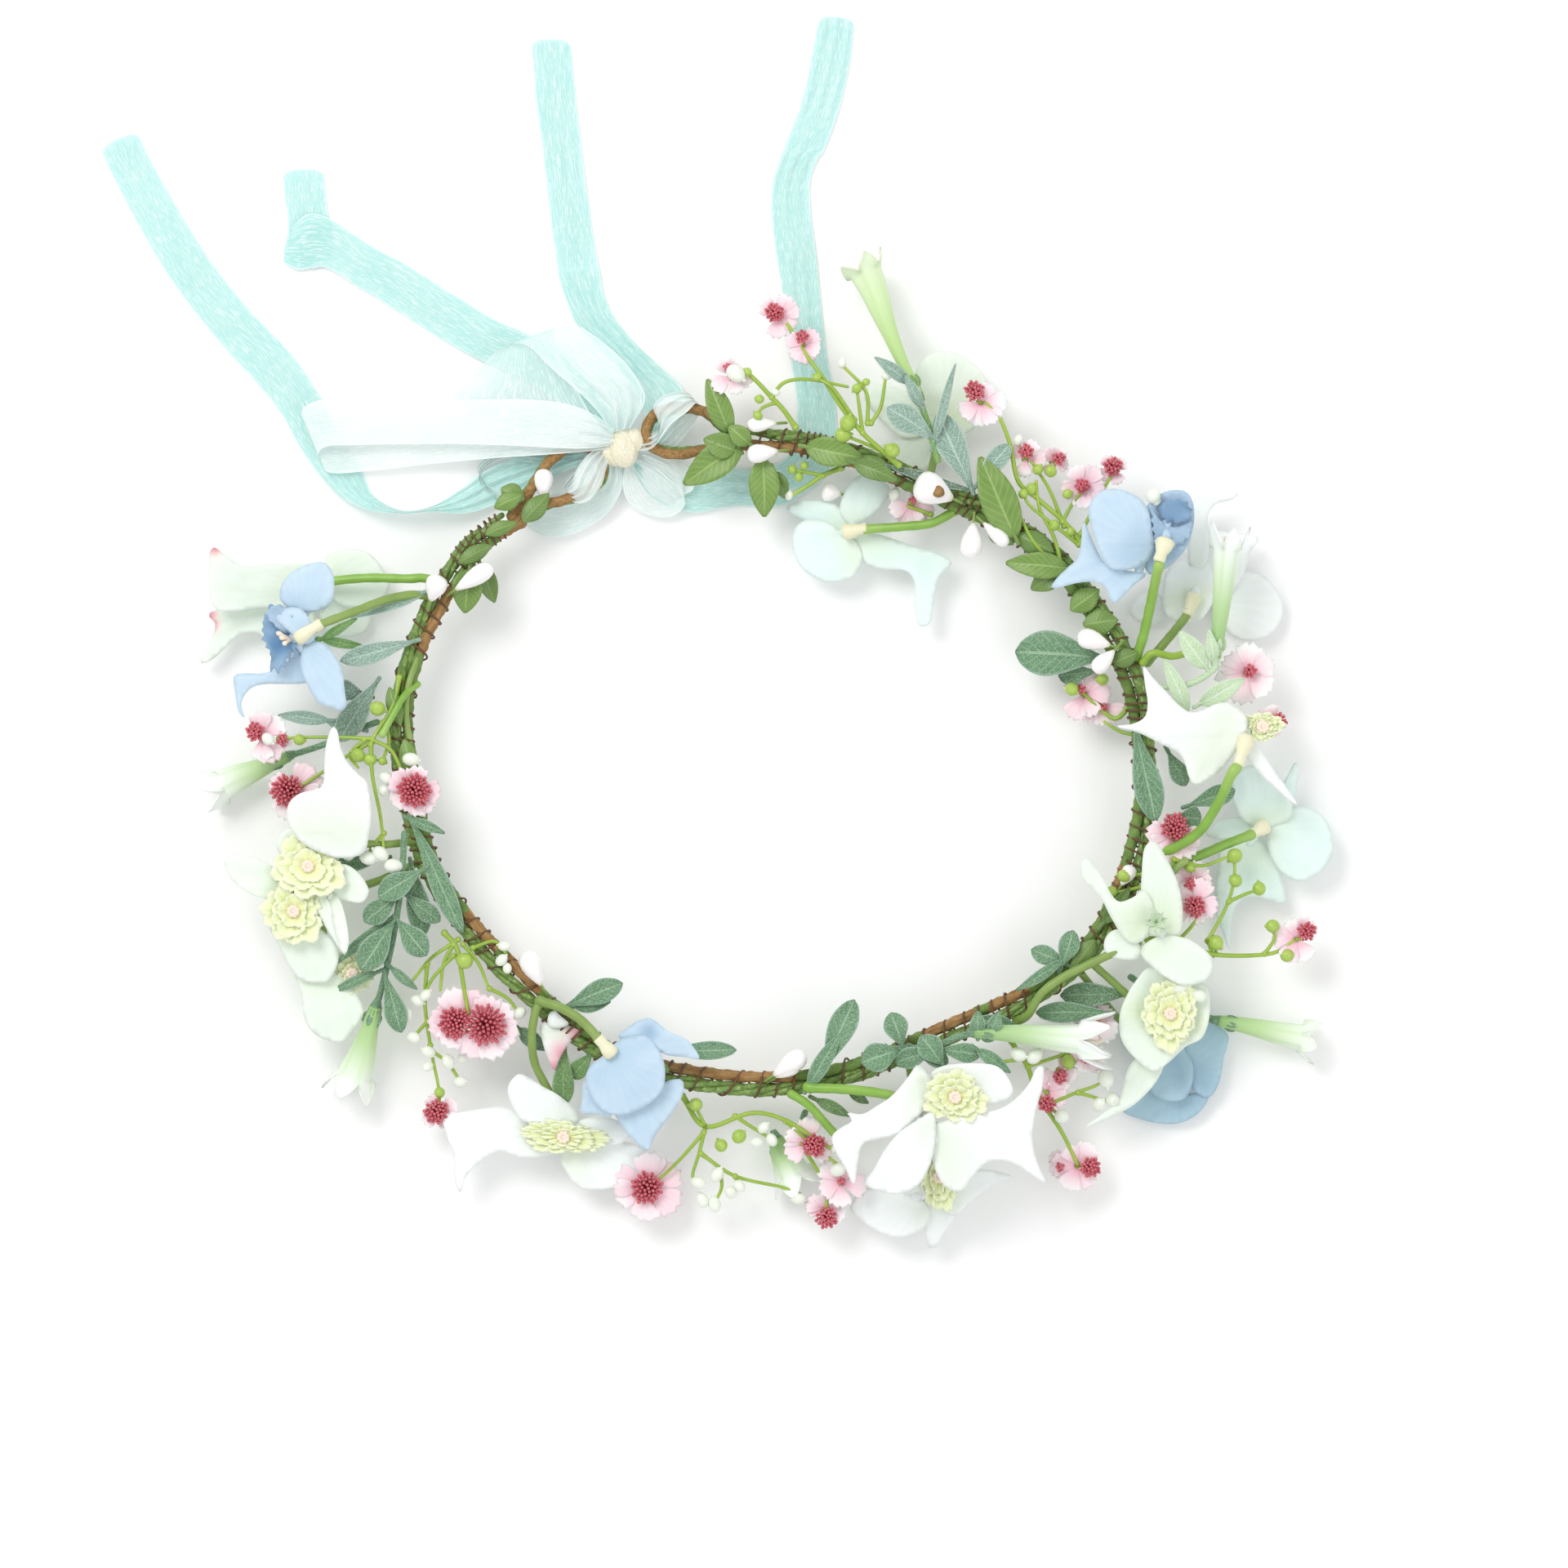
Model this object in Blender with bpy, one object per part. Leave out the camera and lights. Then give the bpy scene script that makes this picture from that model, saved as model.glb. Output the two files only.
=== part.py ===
"""Flower crown: an open wire-and-vine hoop with twig eye loops at both ends, tied
with organza ribbon, and dressed with soft flowers, trumpet flowers, berry sprays,
leaves and white berries. The crown lies flat. Units are metres, +Z is up, and the
origin is the bottom centre of the whole crown.

Plan positions are given on a layout sheet whose steps are LAYOUT_STEP long, with
u to the right and v towards the wearer's side; heights are in millimetres.
"""

import math

import bmesh
import bpy
from mathutils import Matrix, Vector

# ---------------------------------------------------------------- driving sizes
MM = 0.001
LAYOUT_STEP = MM / 4.7          # one step of the layout sheet
LAYOUT_CENTRE = (876.0, 769.9)  # sheet point that lies over the origin

HOOP_Z = 15.0                   # height of the hoop's centreline, mm
TWIG_R = 1.5                    # paper-wrapped wire twig
GREEN_R = 1.6                   # bundle of taped green stems
BUNDLE_GAP = 0.35               # between twig and green stems
BINDING_R = 0.35                # fine binding wire
BINDING_PITCH = 16.0
BINDING_A = 4.5                 # half-width of the binding coil, across the bundle
BINDING_B = 2.75                # half-height of the binding coil
EYE_R = 1.4                     # wire twig of the two eye loops
RIBBON_W = 10.6                 # organza ribbon
RIBBON_T = 0.4
PETAL_T = 1.0                   # thickness of a soft moulded petal layer
STEM_R = 1.0                    # wired plastic flower stem
SPRAY_R = 0.65                  # stem of a berry spray
BRANCH_R = 0.85                 # stem of a leafy trumpet branch
LEAF_T = 0.8


def at(u, v, z):
    """Layout sheet position and height in mm to metres."""
    return Vector(
        (
            (u - LAYOUT_CENTRE[0]) * LAYOUT_STEP,
            (LAYOUT_CENTRE[1] - v) * LAYOUT_STEP,
            z * MM,
        )
    )


def step(n):
    """A length in layout steps, in metres."""
    return n * LAYOUT_STEP


# ---------------------------------------------------------------- start clean
for old in list(bpy.data.objects):
    bpy.data.objects.remove(old, do_unlink=True)

SCENE = bpy.context.scene.collection
MATERIALS = {}

PALETTE = {
    "twig": ((0.38, 0.20, 0.07), 0.75, 0.0),
    "green_tape": ((0.12, 0.22, 0.06), 0.45, 0.0),
    "binding_wire": ((0.09, 0.05, 0.025), 0.5, 0.3),
    "organza": ((0.62, 0.86, 0.82), 0.35, 0.0),
    "white_petal": ((0.86, 0.93, 0.86), 0.55, 0.0),
    "blue_petal": ((0.45, 0.63, 0.83), 0.55, 0.0),
    "flower_stem": ((0.20, 0.42, 0.05), 0.4, 0.0),
    "trumpet": ((0.55, 0.72, 0.50), 0.6, 0.0),
    "pink_flower": ((0.78, 0.30, 0.38), 0.6, 0.0),
    "satin_leaf": ((0.13, 0.24, 0.06), 0.4, 0.0),
    "frosted_leaf": ((0.28, 0.42, 0.34), 0.8, 0.0),
    "white_berry": ((0.90, 0.88, 0.86), 0.15, 0.0),
}


def paint(obj, slot):
    """Gives the piece a material of its own, in its slot's colour."""
    (r, g, b), rough, metal = PALETTE[slot]
    m = bpy.data.materials.new(obj.name + "_" + slot)
    m.use_nodes = True
    bsdf = m.node_tree.nodes["Principled BSDF"]
    bsdf.inputs["Base Color"].default_value = (r, g, b, 1.0)
    bsdf.inputs["Roughness"].default_value = rough
    bsdf.inputs["Metallic"].default_value = metal
    m.diffuse_color = (r, g, b, 1.0)
    obj.data.materials.clear()
    obj.data.materials.append(m)


# ---------------------------------------------------------------- geometry tools
def smooth(points, per):
    """Catmull-Rom curve through points, with per steps between each two."""
    pts = [Vector(p) for p in points]
    pts = [2 * pts[0] - pts[1]] + pts + [2 * pts[-1] - pts[-2]]
    out = []
    for i in range(1, len(pts) - 2):
        p0, p1, p2, p3 = pts[i - 1 : i + 3]
        for k in range(per):
            t = k / per
            out.append(
                0.5
                * (
                    2 * p1
                    + (p2 - p0) * t
                    + (2 * p0 - 5 * p1 + 4 * p2 - p3) * t * t
                    + (3 * p1 - p0 - 3 * p2 + p3) * t**3
                )
            )
    out.append(pts[-2].copy())
    return out


def even(points, count):
    """count points at equal distances along a polyline."""
    lengths = [0.0]
    for a, b in zip(points, points[1:]):
        lengths.append(lengths[-1] + (b - a).length)
    out, seg = [], 0
    for k in range(count):
        want = lengths[-1] * k / (count - 1)
        while seg < len(points) - 2 and lengths[seg + 1] < want:
            seg += 1
        span = lengths[seg + 1] - lengths[seg]
        t = 0 if span == 0 else (want - lengths[seg]) / span
        out.append(points[seg].lerp(points[seg + 1], t))
    return out


def mesh_object(name, bm, slot):
    bmesh.ops.recalc_face_normals(bm, faces=bm.faces)
    mesh = bpy.data.meshes.new(name)
    bm.to_mesh(mesh)
    bm.free()
    obj = bpy.data.objects.new(name, mesh)
    SCENE.objects.link(obj)
    if slot:
        paint(obj, slot)
    return obj


def tube_bm(points, radii, sides, bm=None):
    """Closed tube through points; radii is one radius or one for each point, in mm."""
    bm = bm or bmesh.new()
    if not hasattr(radii, "__len__"):
        radii = [radii] * len(points)
    side = None
    rings = []
    for i, p in enumerate(points):
        a = points[max(i - 1, 0)]
        b = points[min(i + 1, len(points) - 1)]
        tangent = (b - a).normalized()
        if side is None:
            side = tangent.orthogonal().normalized()
        side = (side - tangent * side.dot(tangent)).normalized()
        up = tangent.cross(side)
        rings.append(
            [
                bm.verts.new(
                    p
                    + (
                        side * math.cos(2 * math.pi * k / sides)
                        + up * math.sin(2 * math.pi * k / sides)
                    )
                    * radii[i]
                    * MM
                )
                for k in range(sides)
            ]
        )
    for r0, r1 in zip(rings, rings[1:]):
        for k in range(sides):
            bm.faces.new((r0[k], r0[(k + 1) % sides], r1[(k + 1) % sides], r1[k]))
    bm.faces.new(rings[0][::-1])
    bm.faces.new(rings[-1])
    return bm


def tube(name, points, radii, sides, slot):
    return mesh_object(name, tube_bm(points, radii, sides), slot)


def bead(centre, radius, squash=1.0, level=1):
    bm = bmesh.new()
    bmesh.ops.create_icosphere(
        bm,
        subdivisions=level,
        radius=radius * MM,
        matrix=Matrix.Translation(centre) @ Matrix.Diagonal((1, 1, squash, 1)),
    )
    return mesh_object("bead", bm, None)


def blossom(centre, radius):
    """A blossom as a turned bead, wide and low."""
    shape = ((-0.5, 0.45), (0.0, 1.0), (0.5, 0.55))
    pts = [centre + Vector((0, 0, radius * MM * h)) for h, _ in shape]
    return mesh_object("blossom", tube_bm(pts, [radius * w for _, w in shape], 9), None)


def leaf(base, tip, width, lift=0.0):
    """A closed flat leaf from base to tip (metres); lift raises its middle, mm."""
    along = tip - base
    side = along.cross(Vector((0, 0, 1))).normalized() * width / 2
    profile = ((0.0, 0.16), (0.3, 0.85), (0.58, 1.0), (0.85, 0.5), (1.0, 0.06))
    bm = bmesh.new()
    top, low = [], []
    for t, w in profile:
        p = base + along * t + Vector((0, 0, lift * MM * math.sin(math.pi * t)))
        top.append([p + side * w, p - side * w])
    rows = []
    for a, b in top:
        rows.append(
            [
                bm.verts.new(a + Vector((0, 0, LEAF_T * MM / 2))),
                bm.verts.new(b + Vector((0, 0, LEAF_T * MM / 2))),
                bm.verts.new(b - Vector((0, 0, LEAF_T * MM / 2))),
                bm.verts.new(a - Vector((0, 0, LEAF_T * MM / 2))),
            ]
        )
    for r0, r1 in zip(rows, rows[1:]):
        for k in range(4):
            bm.faces.new((r0[k], r0[(k + 1) % 4], r1[(k + 1) % 4], r1[k]))
    bm.faces.new(rows[0][::-1])
    bm.faces.new(rows[-1])
    return mesh_object("leaf", bm, None)


def trumpet(base, mouth, mouth_r):
    """A solid trumpet flower, narrow at base and flared at mouth."""
    shape = ((0.0, 0.9), (0.45, 1.5), (0.75, 2.2), (0.92, mouth_r * 0.7), (1.0, mouth_r))
    pts = [base.lerp(mouth, t) for t, _ in shape]
    return mesh_object("trumpet", tube_bm(pts, [r for _, r in shape], 7), None)


def fuse(name, pieces, slot):
    """Joins overlapping pieces into one closed body with Boolean unions."""
    body = pieces[0]
    for tool in pieces[1:]:
        union = body.modifiers.new("union", "BOOLEAN")
        union.operation = "UNION"
        union.solver = "EXACT"
        union.object = tool
        bpy.context.view_layer.update()
        graph = bpy.context.evaluated_depsgraph_get()
        mesh = bpy.data.meshes.new_from_object(body.evaluated_get(graph))
        body.modifiers.clear()
        body.data = mesh
        bpy.data.objects.remove(tool, do_unlink=True)
    body.name = name
    body.data.name = name
    paint(body, slot)
    return body


def flower_head(name, centre, z, petals, slot, cup=2.0, throat=5.0, count=22):
    """A soft flower head: one thin closed shell whose outline has a lobe for each
    petal. petals holds (u, v, width in steps, "round" or "spike", tip rise in mm)."""
    c = at(centre[0], centre[1], z)
    lobes = []
    for u, v, width, kind, rise in petals:
        d = at(u, v, z) - c
        half = min(max(math.atan2(step(width) / 2, d.length * 0.6), 0.24), 1.0)
        lobes.append((math.atan2(d.y, d.x), d.length, half, kind, rise))
    angles = [2 * math.pi * k / count for k in range(count)]
    for phi, *_ in lobes:
        near = min(
            range(count),
            key=lambda k: abs(math.remainder(angles[k] - phi, 2 * math.pi)),
        )
        angles[near] = phi % (2 * math.pi)
    angles = sorted(set(angles))

    def reach(theta):
        best, rise = throat * MM, 0.0
        for phi, length, half, kind, up in lobes:
            x = abs(math.remainder(theta - phi, 2 * math.pi)) / half
            if x >= 1:
                continue
            r = (
                length * math.sqrt(1 - 0.8 * x * x)
                if kind == "round"
                else length * (1 - x) ** 1.3 + throat * MM * x
            )
            if r > best:
                best, rise = r, up
        return best, rise

    bm = bmesh.new()
    half_t = Vector((0, 0, PETAL_T * MM / 2))
    mid = [bm.verts.new(c + half_t), bm.verts.new(c - half_t)]
    rings = []
    for level in (0.5, 1.0):
        ring = []
        for theta in angles:
            r, rise = reach(theta)
            p = c + Vector((math.cos(theta), math.sin(theta), 0)) * r * level
            p.z += (cup * level**2 * r / step(60) + rise * level**2) * MM
            edge = half_t * (1.0 if level < 1 else 0.6)
            ring.append((bm.verts.new(p + edge), bm.verts.new(p - edge)))
        rings.append(ring)
    n = len(angles)
    inner, outer = rings
    for k in range(n):
        j = (k + 1) % n
        bm.faces.new((mid[0], inner[k][0], inner[j][0]))
        bm.faces.new((mid[1], inner[j][1], inner[k][1]))
        bm.faces.new((inner[k][0], outer[k][0], outer[j][0], inner[j][0]))
        bm.faces.new((inner[k][1], inner[j][1], outer[j][1], outer[k][1]))
        bm.faces.new((outer[k][0], outer[k][1], outer[j][1], outer[j][0]))
    return mesh_object(name, bm, slot)


def ribbon(name, route, slot="organza", widths=None, turn=None):
    """A flat ribbon along a route of (u, v, z) points; widths gives a factor of the
    ribbon's width at each route point, for where it gathers into the knot."""
    pts = [at(*p) for p in route]
    widths = widths or [1.0] * len(pts)
    bm = bmesh.new()
    rows = []
    for i, p in enumerate(pts):
        before = (p - pts[i - 1]) if i else (pts[1] - p)
        after = (pts[i + 1] - p) if i + 1 < len(pts) else before
        tangent = (before.normalized() + after.normalized()).normalized()
        flat = Vector((tangent.x, tangent.y, 0))
        side = (
            Vector((0, 0, 1)).cross(tangent).normalized()
            if flat.length > 0.05
            else rows_side
        )
        rows_side = side
        lean = before.normalized().dot(tangent)
        side = side * RIBBON_W * MM / 2 * widths[i] / max(lean, 0.75)
        up = tangent.cross(side).normalized() * RIBBON_T * MM / 2
        if up.z < 0 and turn is None:
            up = -up
        rows.append([bm.verts.new(q) for q in (p + side + up, p - side + up, p - side - up, p + side - up)])
    for r0, r1 in zip(rows, rows[1:]):
        for k in range(4):
            bm.faces.new((r0[k], r0[(k + 1) % 4], r1[(k + 1) % 4], r1[k]))
    bm.faces.new(rows[0][::-1])
    bm.faces.new(rows[-1])
    return mesh_object(name, bm, slot)


def strip_loop(name, route, slot="organza"):
    """A ribbon loop seen edge-on in its own plane: the ribbon runs out on top,
    turns over at its far end and comes back below. route holds (u, v, z, width
    factor) with z falling towards the end of the return run."""
    pts = [at(u, v, z) for u, v, z, _ in route]
    start, far = pts[0], max(pts, key=lambda p: (p - pts[0]).length)
    along = far - start
    along.z = 0
    side = Vector((0, 0, 1)).cross(along.normalized()).normalized()
    bm = bmesh.new()
    rows = []
    for i, p in enumerate(pts):
        before = (p - pts[i - 1]) if i else (pts[1] - p)
        after = (pts[i + 1] - p) if i + 1 < len(pts) else before
        tangent = (before.normalized() + after.normalized()).normalized()
        s = side * RIBBON_W * MM / 2 * route[i][3]
        up = tangent.cross(side).normalized() * RIBBON_T * MM / 2
        rows.append([bm.verts.new(q) for q in (p + s + up, p - s + up, p - s - up, p + s - up)])
    for r0, r1 in zip(rows, rows[1:]):
        for k in range(4):
            bm.faces.new((r0[k], r0[(k + 1) % 4], r1[(k + 1) % 4], r1[k]))
    bm.faces.new(rows[0][::-1])
    bm.faces.new(rows[-1])
    return mesh_object(name, bm, slot)


# ---------------------------------------------------------------- hoop
# Centreline of the bound bundle, from the left eye loop round to the right one.
HOOP = (
    (636, 632, 10.5), (610, 645, 11.5), (574, 675, 13), (534, 740, 14.5), (505, 808, 15),
    (491, 880, 15), (498, 950, 15), (520, 1045, 15), (560, 1115, 15), (610, 1175, 15),
    (665, 1230, 15), (735, 1284, 15), (818, 1314, 15), (929, 1328, 15), (1038, 1312, 15),
    (1154, 1268, 15), (1265, 1216, 15), (1335, 1160, 15), (1378, 1085, 15), (1401, 1000, 15),
    (1400, 920, 15), (1389, 841, 15), (1357, 772, 15), (1302, 696, 15), (1241, 648, 15),
    (1168, 610, 14.5), (1083, 572, 13.5), (1000, 546, 12.5), (926, 537, 11), (903, 535, 10.5),
)
line = even(smooth([at(*p) for p in HOOP], 8), 62)


def across(i, pts):
    """Horizontal direction to the outside of the hoop at point i."""
    a, b = pts[max(i - 1, 0)], pts[min(i + 1, len(pts) - 1)]
    t = b - a
    return Vector((t.y, -t.x, 0)).normalized() * -1


OFFSET = (TWIG_R + GREEN_R + BUNDLE_GAP) / 2
centre_of_hoop = Vector((0, -0.04, 0))


def outward(i, pts):
    s = across(i, pts)
    return s if s.dot(pts[i] - centre_of_hoop) > 0 else -s


inner_line = [p - outward(i, line) * OFFSET * MM for i, p in enumerate(line)]
outer_line = [p + outward(i, line) * OFFSET * MM for i, p in enumerate(line)]
tube("vine_twig", inner_line, TWIG_R, 6, "twig")
tube("green_taped_stems", outer_line, GREEN_R, 6, "green_tape")

# Fine wire wound round the bundle in one long coil.
total = sum((b - a).length for a, b in zip(line, line[1:])) / MM
turns = total / BINDING_PITCH
fine = even(line, int(turns * 7))
coil = []
for i, p in enumerate(fine):
    if i < 6 or i > len(fine) - 7:
        continue
    angle = 2 * math.pi * i / 7
    coil.append(
        p
        + outward(i, fine) * BINDING_A * MM * math.cos(angle)
        + Vector((0, 0, BINDING_B * MM * math.sin(angle)))
    )
tube("binding_wire", coil, BINDING_R, 3, "binding_wire")

tube(
    "left_eye_loop",
    smooth(
        [at(*p) for p in ((643, 611, 9.6), (656, 588, 8.6), (678, 561, 7.6), (706, 547, 7.2),
                          (730, 555, 7.2), (735, 578, 7.6), (720, 598, 8.2), (692, 609, 8.8), (658, 618, 9.4))],
        2,
    ),
    EYE_R, 7, "twig",
)
tube(
    "right_eye_loop",
    smooth(
        [at(*p) for p in ((886, 522, 10.3), (862, 504, 10.4), (829, 497, 10.5), (801, 506, 10.5),
                          (789, 529, 10.5), (800, 549, 10.3), (824, 559, 10.2), (852, 554, 10.1), (880, 543, 10))],
        2,
    ),
    EYE_R, 7, "twig",
)

# ---------------------------------------------------------------- ribbon bow
LOW = RIBBON_T / 2
knot = bmesh.new()
bmesh.ops.create_icosphere(
    knot, subdivisions=2, radius=1.0,
    matrix=Matrix.Translation(at(762, 549, 9.2)) @ Matrix.Diagonal((3.4 * MM, 4.4 * MM, 3.2 * MM, 1)),
)
mesh_object("ribbon_knot", knot, "organza")
strip_loop(
    "bow_loop_left",
    ((740, 534, 12.2, 0.55), (700, 530, 13.2, 0.85), (620, 527, 11.4, 1.25), (500, 527, 7.6, 1.45),
     (410, 529, 5.4, 1.6), (384, 530, 4.2, 1.62), (400, 531, 2.9, 1.62), (500, 531, 3.9, 1.45),
     (610, 530, 7.6, 1.2), (690, 534, 10.2, 0.8), (740, 540, 10.8, 0.5)),
)
strip_loop(
    "bow_loop_upper",
    ((752, 510, 13.0, 0.5), (728, 470, 13.8, 1.2), (700, 420, 11.2, 1.35), (688, 399, 8.4, 1.35),
     (692, 402, 6.6, 1.3), (716, 440, 6.8, 1.2), (742, 490, 8.4, 0.8), (752, 514, 9.0, 0.5)),
)
ribbon(
    "ribbon_lower_loop",
    ((748, 575, 5.6), (720, 610, 4.4), (680, 632, 4.2), (630, 612, 4.2), (606, 582, 4.0)),
    widths=[0.45, 0.8, 1.0, 1.0, 0.9],
)
ribbon(
    "ribbon_tail_outer_left",
    ((143, 160, LOW), (166, 215, LOW), (200, 275, LOW), (250, 345, LOW), (320, 430, LOW), (362, 482, LOW),
     (398, 555, LOW), (440, 605, LOW), (500, 627, LOW + 0.2), (560, 618, 0.8), (625, 570, 1.6),
     (700, 548, 2.8), (738, 552, 4.2)),
    widths=[1, 1, 1, 1, 1, 1, 1, 1, 1, 0.9, 0.8, 0.6, 0.4],
)
ribbon(
    "ribbon_tail_left",
    ((368, 205, LOW), (372, 250, LOW + 0.1), (384, 288, LOW + 0.3), (430, 318, LOW + 0.2), (484, 345, LOW), (575, 402, LOW),
     (640, 437, 1.0), (700, 478, 2.6), (742, 520, 5.4)),
    widths=[1, 1, 1, 1, 1, 1, 1, 0.8, 0.45],
)
ribbon(
    "ribbon_tail_middle",
    ((672, 44, LOW), (684, 160, LOW), (697, 268, LOW), (712, 340, LOW), (735, 395, LOW), (775, 452, 1.2),
     (800, 492, 4.0), (788, 520, 6.6), (778, 534, 7.6)),
    widths=[1, 1, 1, 1, 1, 0.9, 0.75, 0.45, 0.4],
)
ribbon(
    "ribbon_tail_right",
    ((1022, 18, LOW), (1005, 118, LOW), (984, 185, LOW), (969, 240, LOW), (975, 305, LOW), (984, 365, LOW),
     (990, 430, LOW), (1000, 500, LOW), (996, 556, LOW), (960, 596, LOW), (900, 612, LOW), (840, 620, 1.6),
     (800, 600, 4.4), (779, 572, 6.8)),
    widths=[1, 1, 1, 1, 1, 1, 1, 1, 1, 1, 1, 0.9, 0.7, 0.4],
)

# ---------------------------------------------------------------- flower heads
R, S = "round", "spike"
HEADS = {
    # name: (centre u, v, height, petals, slot, cup)
    "white_flower_left": ((375, 724), 8, ((262, 675, 60, S, 0), (246, 806, 70, S, 0), (452, 690, 70, R, 0), (440, 770, 60, R, 0), (330, 680, 60, R, 0)), "white_petal", 1),
    "blue_flower_left": ((362, 778), 24, ((385, 698, 70, R, 0), (408, 862, 60, R, 0), (291, 864, 66, S, 0), (326, 770, 50, R, 1)), "blue_petal", 1.5),
    "white_flower_spire": ((408, 1006), 26.5, ((413, 892, 76, S, 0), (356, 1024, 50, R, 0), (452, 1040, 50, R, 0)), "white_petal", 1),
    "white_flower_double": ((382, 1090), 20, ((281, 1054, 66, S, 0), (449, 1090, 60, R, 0), (350, 1195, 90, R, -2), (425, 1262, 80, R, -4), (390, 1022, 80, R, 0)), "white_petal", 1),
    "white_flower_top_right": ((1470, 722), 6, ((1515, 606, 60, S, 0), (1572, 745, 90, R, 0), (1425, 720, 70, R, 0), (1500, 780, 70, R, 0)), "white_petal", 1),
    "blue_flower_right": ((1400, 664), 26, ((1360, 606, 90, R, 0), (1289, 720, 60, S, 0), (1364, 736, 56, S, 0), (1456, 634, 56, R, 1)), "blue_petal", 1.5),
    "white_flower_star": ((1474, 905), 25, ((1398, 818, 66, S, 0), (1365, 890, 66, S, 0), (1459, 958, 50, S, 0), (1522, 868, 60, R, 0), (1582, 975, 60, S, -2)), "white_petal", 1),
    "white_flower_right": ((1540, 1010), 9, ((1530, 934, 66, R, 0), (1632, 1030, 90, R, 0), (1588, 936, 50, S, 0), (1509, 1160, 60, S, 0), (1574, 1106, 60, R, 0)), "white_petal", 1),
    "pale_green_flower": ((1402, 1118), 23, ((1327, 1053, 60, S, 0), (1412, 1034, 56, S, 0), (1360, 1168, 56, R, 0), (1452, 1196, 86, R, 0)), "white_petal", 1),
    "white_flower_lower_right": ((1424, 1250), 16.5, ((1450, 1212, 66, R, 0), (1378, 1236, 70, R, 0), (1330, 1379, 70, S, -3), (1474, 1284, 60, R, 0)), "white_petal", 1),
    "blue_flower_shaded": ((1440, 1312), 5, ((1506, 1276, 80, R, 0), (1380, 1362, 70, R, 0), (1478, 1372, 70, R, 0), (1400, 1268, 60, R, 0)), "blue_petal", 1),
    "white_flower_bottom": ((1132, 1376), 24, ((1037, 1359, 70, S, 0), (1127, 1305, 60, S, 0), (1036, 1440, 50, S, 0), (1098, 1456, 80, R, 0), (1196, 1318, 80, R, 0), (1274, 1307, 60, S, 0), (1276, 1445, 76, S, 0)), "white_petal", 1),
    "white_flower_bottom_low": ((1148, 1446), 14, ((1046, 1482, 70, R, -6), (1139, 1526, 70, S, -6), (1232, 1450, 70, R, -6), (1180, 1500, 70, R, -6)), "white_petal", 1),
    "white_flower_lower_left": ((690, 1388), 11, ((541, 1364, 70, S, 0), (561, 1461, 70, S, 0), (650, 1316, 70, R, 0), (768, 1386, 50, R, 0), (738, 1452, 90, R, 0)), "white_petal", 1),
    "blue_flower_bottom": ((760, 1300), 24.5, ((806, 1252, 66, R, 0), (752, 1356, 80, R, 0), (834, 1330, 66, R, 0), (800, 1398, 70, R, 0), (716, 1292, 50, R, 0)), "blue_petal", 1.5),
    "white_flower_top": ((1160, 490), 6, ((1142, 434, 80, R, 0), (1214, 446, 80, R, 0), (1212, 522, 70, R, 0), (1064, 484, 70, R, 0), (1116, 536, 60, R, 0)), "white_petal", 1),
    "white_flower_inner": ((1040, 652), 8, ((986, 694, 90, R, 0), (1062, 586, 80, R, 0), (972, 624, 70, R, 0), (1132, 760, 56, S, 0), (1164, 692, 60, S, 0)), "white_petal", 1),
}
heads = {}
for name, (centre, z, petals, slot, cup) in HEADS.items():
    heads[name] = flower_head(name, centre, z, petals, slot, cup=cup)

# ---------------------------------------------------------------- wired stems
STEMS = {
    "white_flower_left": ((517, 705, 14), (500, 710, 14.5), (450, 708, 14), (405, 712, 12.5), (384, 720, 10)),
    "blue_flower_left": ((506, 728, 18), (475, 736, 20.5), (437, 750, 24), (399, 768, 27), (375, 776, 26)),
    "white_flower_top_right": ((1404, 812, 14), (1425, 788, 13.5), (1452, 754, 11), (1465, 735, 8)),
    "blue_flower_right": ((1398, 786, 18), (1407, 745, 22), (1415, 706, 26.5), (1414, 680, 28.2)),
    "white_flower_star": ((1432, 1040, 18), (1468, 1016, 22), (1493, 974, 26), (1504, 944, 28), (1494, 922, 27)),
    "white_flower_bottom": ((992, 1331, 19.8), (1030, 1333, 20.6), (1070, 1338, 21.2), (1100, 1352, 21.6)),
    "blue_flower_bottom": ((664, 1228, 19.8), (686, 1233, 21.5), (708, 1247, 24), (728, 1266, 26.6), (740, 1280, 26.8)),
    "white_flower_inner": ((1174, 640, 14), (1140, 646, 14), (1100, 648, 13.4), (1066, 648, 11.6), (1050, 650, 10.2)),
}
stems = {}
for name, route in STEMS.items():
    stems[name] = tube(name + "_stem", smooth([at(*p) for p in route], 3), STEM_R, 6, "flower_stem")

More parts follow.
